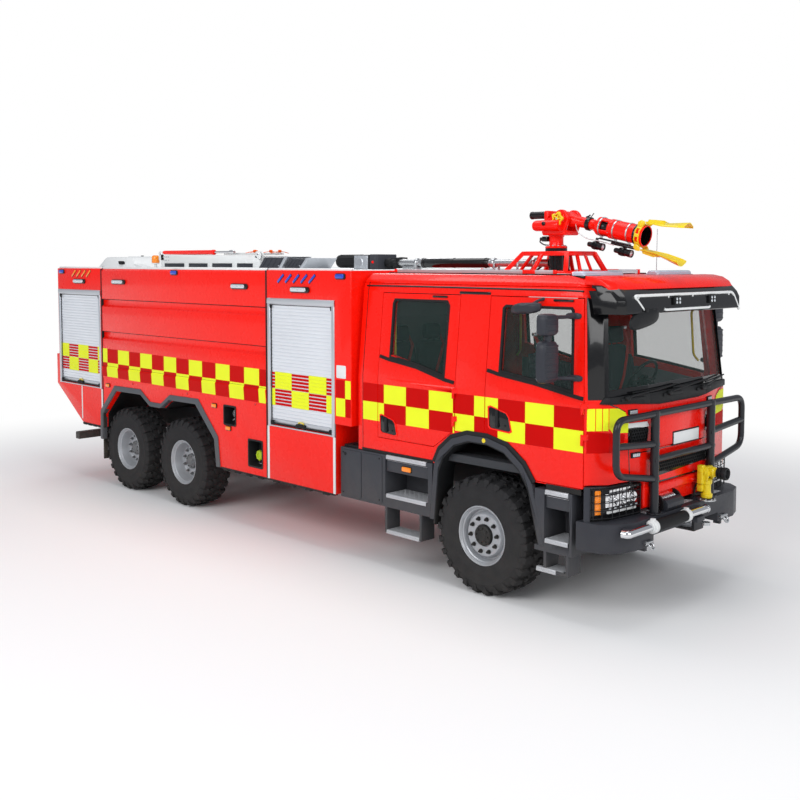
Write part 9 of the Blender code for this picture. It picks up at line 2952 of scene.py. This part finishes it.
# dashboard, its binnacle, screens, vents and switches
dash = Piece("dash_skin", "chassis", "trim", "cab_plastic", sharp=30)
dash.prism(
    [
        (0.770, 1.710), (0.768, 1.735), (0.872, 1.905), (0.985, 1.994), (1.115, 1.998), (1.115, 1.625),
        (0.872, 1.625)
    ],
    "Y", -1.04, 1.04, bevel=0.014
)
dash.box((0.95, -0.455, 1.345), (1.112, 0.455, 1.64), bevel=0.012)
dash.prism(
    [(0.765, 1.80), (0.775, 1.88), (0.90, 2.03), (1.04, 2.055), (1.10, 2.01), (1.06, 1.97), (0.86, 1.86)],
    "Y", 0.36, 0.88, bevel=0.014
)
dash.prism(
    [(0.745, 1.60), (0.760, 1.82), (0.860, 1.93), (0.98, 1.98), (0.98, 1.62)], "Y", -0.30, 0.26, bevel=0.014
)
for y0, y1 in ((-1.0, -0.86), (-0.50, -0.36), (0.29, 0.35), (0.90, 1.0)):
    dash.prism([(0.800, 1.80), (0.868, 1.905), (0.880, 1.897), (0.812, 1.792)], "Y", y0, y1, bevel=0.004)
dash.box((0.52, -0.055, 1.565), (0.76, 0.055, 1.66), bevel=0.014)
dash.done("dashboard")
panels = Piece("dash_panels", "chassis", "gloss_black", "cab_plastic", sharp=30)
panels.prism([(0.792, 1.89), (0.890, 2.010), (0.905, 2.000), (0.807, 1.880)], "Y", 0.44, 0.80, bevel=0.003)
panels.prism([(0.757, 1.735), (0.757, 1.815), (0.772, 1.832), (0.776, 1.72)], "Y", -0.25, -0.02, bevel=0.003)
for y0, y1 in ((-0.98, -0.88), (-0.48, -0.38), (0.91, 0.99)):
    for k in range(4):
        t = 0.2 + 0.2 * k
        x, z = 0.800 + 0.068 * t, 1.80 + 0.105 * t
        panels.box((x - 0.008, y0, z), (x + 0.006, y1, z + 0.008), bevel=0.002)
panels.box((0.60, -0.13, 1.562), (0.78, 0.0, 1.572), bevel=0.004)
for k in range(8):
    panels.box((0.748, -0.24 + k * 0.056, 1.672), (0.762, -0.205 + k * 0.056, 1.700), bevel=0.003)
panels.tube([(0.66, 0.02, 1.60), (0.655, 0.02, 1.70), (0.64, 0.02, 1.735)], 0.010, 12, bend=0.02)
panels.turned(
    [(1.730, 0.0), (1.734, 0.018), (1.752, 0.026), (1.772, 0.022), (1.780, 0.0)], (0.638, 0.02, 0), "Z", 24
)
panels.done()
lights = Piece("dash_displays", "chassis", "clear_lens", "glass")
lights.prism(
    [(0.753, 1.745), (0.753, 1.805), (0.758, 1.808), (0.758, 1.742)], "Y", -0.235, -0.035, bevel=0.001
)
for y in (0.52, 0.62, 0.72):
    lights.rod((0.838, y, 1.952), (0.829, y, 1.960), 0.036, 28, bevel=0.001)
lights.done()

# steering wheel with its boss, spokes, column shroud and stalks
WHEEL_TILT, STEER_AT, STEER_RADIUS = math.radians(28), (0.6505, DRIVER_Y, 2.0405), 0.225
STEER = Matrix.Translation(STEER_AT) @ Matrix.Rotation(-(math.pi / 2 - WHEEL_TILT) + math.pi / 2, 4, "Y")
RIM_STEPS, SECTION_STEPS, GRIP_THICK = 56, 14, 0.0165
wheel = Piece("steering_wheel", "chassis", "gloss_black", "cab_plastic", sharp=40)
rings = []
for k in range(SECTION_STEPS):
    along, out = on_circle(GRIP_THICK, k, SECTION_STEPS)
    rings.append(
        [
            tuple(STEER @ Vector((along, *on_circle(STEER_RADIUS + out, i, RIM_STEPS))))
            for i in range(RIM_STEPS)
        ]
    )
wheel.skin(rings, wrap=True)
for angle in (0, 180, 235, 305):
    a = math.radians(angle)
    start = STEER @ Vector((0.008, 0.05 * math.cos(a), 0.05 * math.sin(a)))
    end = STEER @ Vector((0.0, 0.218 * math.cos(a), 0.218 * math.sin(a)))
    wheel.rod(start, end, 0.013, 12, r2=0.010)
wheel.rod(STEER @ Vector((-0.018, 0, 0)), STEER @ Vector((0.024, 0, 0)), 0.066, 32, r2=0.074, bevel=0.006)
wheel.rod(STEER @ Vector((0.020, 0, 0)), STEER @ Vector((0.130, 0, 0)), 0.038, 24, r2=0.052, bevel=0.006)
wheel.rod(STEER @ Vector((0.12, 0, 0)), STEER @ Vector((0.26, 0, 0)), 0.052, 24, r2=0.058, bevel=0.004)
for way in SIDES:
    stalk = ((0.055, 0.03, 0), (0.050, 0.12, 0.01), (0.040, 0.19, 0.02))
    wheel.tube([STEER @ Vector((x, way * y, z)) for x, y, z in stalk], 0.007, 10, bend=0.02)
wheel.done()
floor = softened("cab_floor_skin", "chassis", "trim", "cab_plastic", "cab_floor", bevel=0.006)
floor.done("cab_floor")
mats = Piece("floor_mats", "chassis", "rubber", "cab_plastic", sharp=30)
for x0, x1, y0, y1 in (
    (-1.14, 0.20, 0.52, 1.02), (-1.14, 0.20, -1.02, -0.52), (0.72, 0.90, 0.52, 0.98),
    (0.72, 0.90, -0.98, -0.52)
):
    mats.box((x0, y0, 1.342), (x1, y1, 1.349), bevel=0.002)
    count = int((y1 - y0 - 0.06) / 0.030)
    for k in range(count):
        y = y0 + 0.03 + (y1 - y0 - 0.06) * (k + 0.5) / count
        mats.box((x0 + 0.03, y - 0.006, 1.348), (x1 - 0.03, y + 0.006, 1.353), bevel=0.0015)
mats.done()
pedals = Piece("pedals", "chassis", "plastic", "cab_plastic", sharp=30)
for y, width in ((0.52, 0.030), (0.66, 0.040)):
    pedals.skin(
        [
            [(x, y + w, z) for x, z in ((0.905, 1.40), (0.960, 1.50), (0.968, 1.495), (0.913, 1.395))]
            for w in (-width, width)
        ],
        bevel=0.003
    )
    for k in range(4):
        pedals.rod(
            (0.911 + k * 0.014, y - width + 0.004, 1.412 + k * 0.0255),
            (0.911 + k * 0.014, y + width - 0.004, 1.412 + k * 0.0255), 0.003, 8
        )
    pedals.tube([(0.958, y, 1.49), (1.00, y, 1.54), (1.03, y, 1.62)], 0.008, 10, bend=0.02)
pedals.done()

# linings of roof, rear wall and doors, grab rails
lining = Piece("cab_lining", "chassis", "lining", "cab_plastic", sharp=30)
for x0, x1 in ((-1.62, -0.36), (-0.34, 0.98)):
    lining.box((x0, -0.99, 2.995), (x1, 0.99, 3.020), bevel=0.008)
    for y in (-0.55, 0.0, 0.55):
        lining.box((x0 + 0.10, y - 0.13, 2.985), (x1 - 0.10, y + 0.13, 3.000), bevel=0.006)
lining.box((-1.685, -1.00, 1.40), (-1.660, 1.00, 2.96), bevel=0.008)
lining.box((-1.664, -0.80, 2.66), (-1.648, 0.80, 2.92), bevel=0.006)
lining.done()
for side in SIDES:
    hand = HANDS[side]
    for row, panel in (
        ("rear", [(-1.36, 1.47), (-0.62, 1.47), (-0.43, 1.63), (-0.43, 2.06), (-1.36, 2.20)]),
        (
            "front",
            [(0.14, 1.66), (0.40, 1.70), (0.70, 1.62), (1.00, 1.40), (1.06, 1.60), (1.06, 2.03), (0.14, 2.16)]
        )
    ):
        door = Piece(f"door_lining_{row}_{hand}", f"{row}_door_{hand}", "lining", "cab_plastic", sharp=30)
        y0, y1 = across(side, 1.152, 1.143)
        door.prism(panel, "Y", y0, y1, bevel=0.002)
        middle = sum(point[0] for point in panel) / len(panel)
        door.prism(
            [(middle - 0.16, 1.86), (middle + 0.16, 1.86), (middle + 0.14, 1.89), (middle - 0.14, 1.89)], "Y",
            *across(side, 1.146, 1.139), bevel=0.002
        )
        door.done()
rails = Piece("grab_rails", "chassis", "yellow", "yellow_paint")
for side in SIDES:
    rails.tube(
        [
            (-1.40, side * 1.125, 2.84), (-1.355, side * 1.085, 2.82), (-1.335, side * 1.075, 2.76),
            (-1.335, side * 1.075, 2.20), (-1.40, side * 1.10, 2.14)
        ],
        0.014, 14, bend=0.05
    )
    rails.tube(
        [
            (1.045, side * 1.02, 2.80), (1.005, side * 0.985, 2.76), (1.03, side * 1.00, 2.30),
            (1.075, side * 1.03, 2.24)
        ],
        0.012, 14, bend=0.04
    )
    rails.tube(
        [
            (-0.20, side * 1.13, 2.62), (-0.20, side * 1.08, 2.58), (-0.20, side * 1.08, 2.10),
            (-0.20, side * 1.13, 2.06)
        ],
        0.013, 14, bend=0.04
    )
rails.done()


# Stage, light and camera

def stage_piece(name, points, faces, colour):
    """Plain matt piece that belongs to the stage."""
    mesh = bpy.data.meshes.new(name)
    mesh.from_pydata(points, [], faces)
    obj = bpy.data.objects.new(name, mesh)
    bpy.context.scene.collection.objects.link(obj)
    made = bpy.data.materials.new(name)
    made.use_nodes = True
    tree = made.node_tree
    shader = tree.nodes["Principled BSDF"]
    shader.inputs["Base Color"].default_value = (*colour, 1)
    shader.inputs["Roughness"].default_value = 0.9
    shader.inputs["Specular IOR Level"].default_value = 0.1
    mesh.materials.append(made)
    return obj


floor = stage_piece(
    "floor", [(-60, -60, 0), (60, -60, 0), (60, 60, 0), (-60, 60, 0)], [(0, 1, 2, 3)], (0.86, 0.86, 0.86)
)
tree = floor.data.materials[0].node_tree
place = tree.nodes.new("ShaderNodeTexCoord")
reach = tree.nodes.new("ShaderNodeVectorMath")
reach.operation = "LENGTH"
fade = tree.nodes.new("ShaderNodeMapRange")
fade.interpolation_type = "SMOOTHSTEP"
fade.inputs["From Min"].default_value = 5.5
fade.inputs["From Max"].default_value = 11.0
white_glow = tree.nodes.new("ShaderNodeEmission")
both = tree.nodes.new("ShaderNodeMixShader")
tree.links.new(place.outputs["Object"], reach.inputs[0])
tree.links.new(reach.outputs["Value"], fade.inputs["Value"])
tree.links.new(fade.outputs[0], both.inputs[0])
tree.links.new(tree.nodes["Principled BSDF"].outputs[0], both.inputs[1])
tree.links.new(white_glow.outputs[0], both.inputs[2])
tree.links.new(both.outputs[0], tree.nodes["Material Output"].inputs[0])

world = bpy.data.worlds.new("studio") if not bpy.context.scene.world else bpy.context.scene.world
bpy.context.scene.world = world
world.use_nodes = True
tree = world.node_tree
tree.nodes.clear()
out = tree.nodes.new("ShaderNodeOutputWorld")
mix = tree.nodes.new("ShaderNodeMixShader")
soft = tree.nodes.new("ShaderNodeBackground")
soft.inputs["Color"].default_value = (0.90, 0.93, 1.0, 1)
soft.inputs["Strength"].default_value = 0.42
seen = tree.nodes.new("ShaderNodeBackground")
seen.inputs["Color"].default_value = (1, 1, 1, 1)
seen.inputs["Strength"].default_value = 1.0
rays = tree.nodes.new("ShaderNodeLightPath")
tree.links.new(rays.outputs["Is Camera Ray"], mix.inputs[0])
tree.links.new(soft.outputs[0], mix.inputs[1])
tree.links.new(seen.outputs[0], mix.inputs[2])
tree.links.new(mix.outputs[0], out.inputs[0])


def area_light(name, place, target, size, power):
    """White rectangular lamp that looks at target."""
    data = bpy.data.lights.new(name, "AREA")
    data.shape = "RECTANGLE"
    data.size, data.size_y = size
    data.energy = power
    lamp = bpy.data.objects.new(name, data)
    bpy.context.scene.collection.objects.link(lamp)
    lamp.location = place
    lamp.rotation_euler = (Vector(target) - Vector(place)).to_track_quat("-Z", "Y").to_euler()


area_light("key", (3.0, -13.0, 9.0), (0, -1, 1.6), (12, 6), 1050)
area_light("front", (14.0, -3.0, 7.0), (2, 0, 1.6), (7, 5), 480)
area_light("top", (0, 0, 12.0), (0, 0, 0), (14, 6), 560)
area_light("rim", (-8.0, 10.0, 7.0), (-1, 0, 2.0), (8, 5), 380)

# The camera as solved from the photo: focal length and picture width in pixels, place and turn.
FOCAL_PIXELS, PICTURE_PIXELS, SENSOR = 1024.55, 800, 36.0
LOOK_DOWN, LOOK_TURN = 3.8, 45.0
camera_data = bpy.data.cameras.new("camera")
camera_data.sensor_width = SENSOR
camera_data.lens = FOCAL_PIXELS / PICTURE_PIXELS * SENSOR
camera_data.shift_y = -0.0875
camera_data.clip_end = 200
camera = bpy.data.objects.new("camera", camera_data)
bpy.context.scene.collection.objects.link(camera)
camera.location = (6.4431 + FRONT_AXLE, -8.7811, 3.2765)
camera.rotation_euler = (math.radians(90 - LOOK_DOWN), 0, math.radians(LOOK_TURN))
bpy.context.scene.camera = camera
bpy.context.scene.view_settings.view_transform = "Standard"
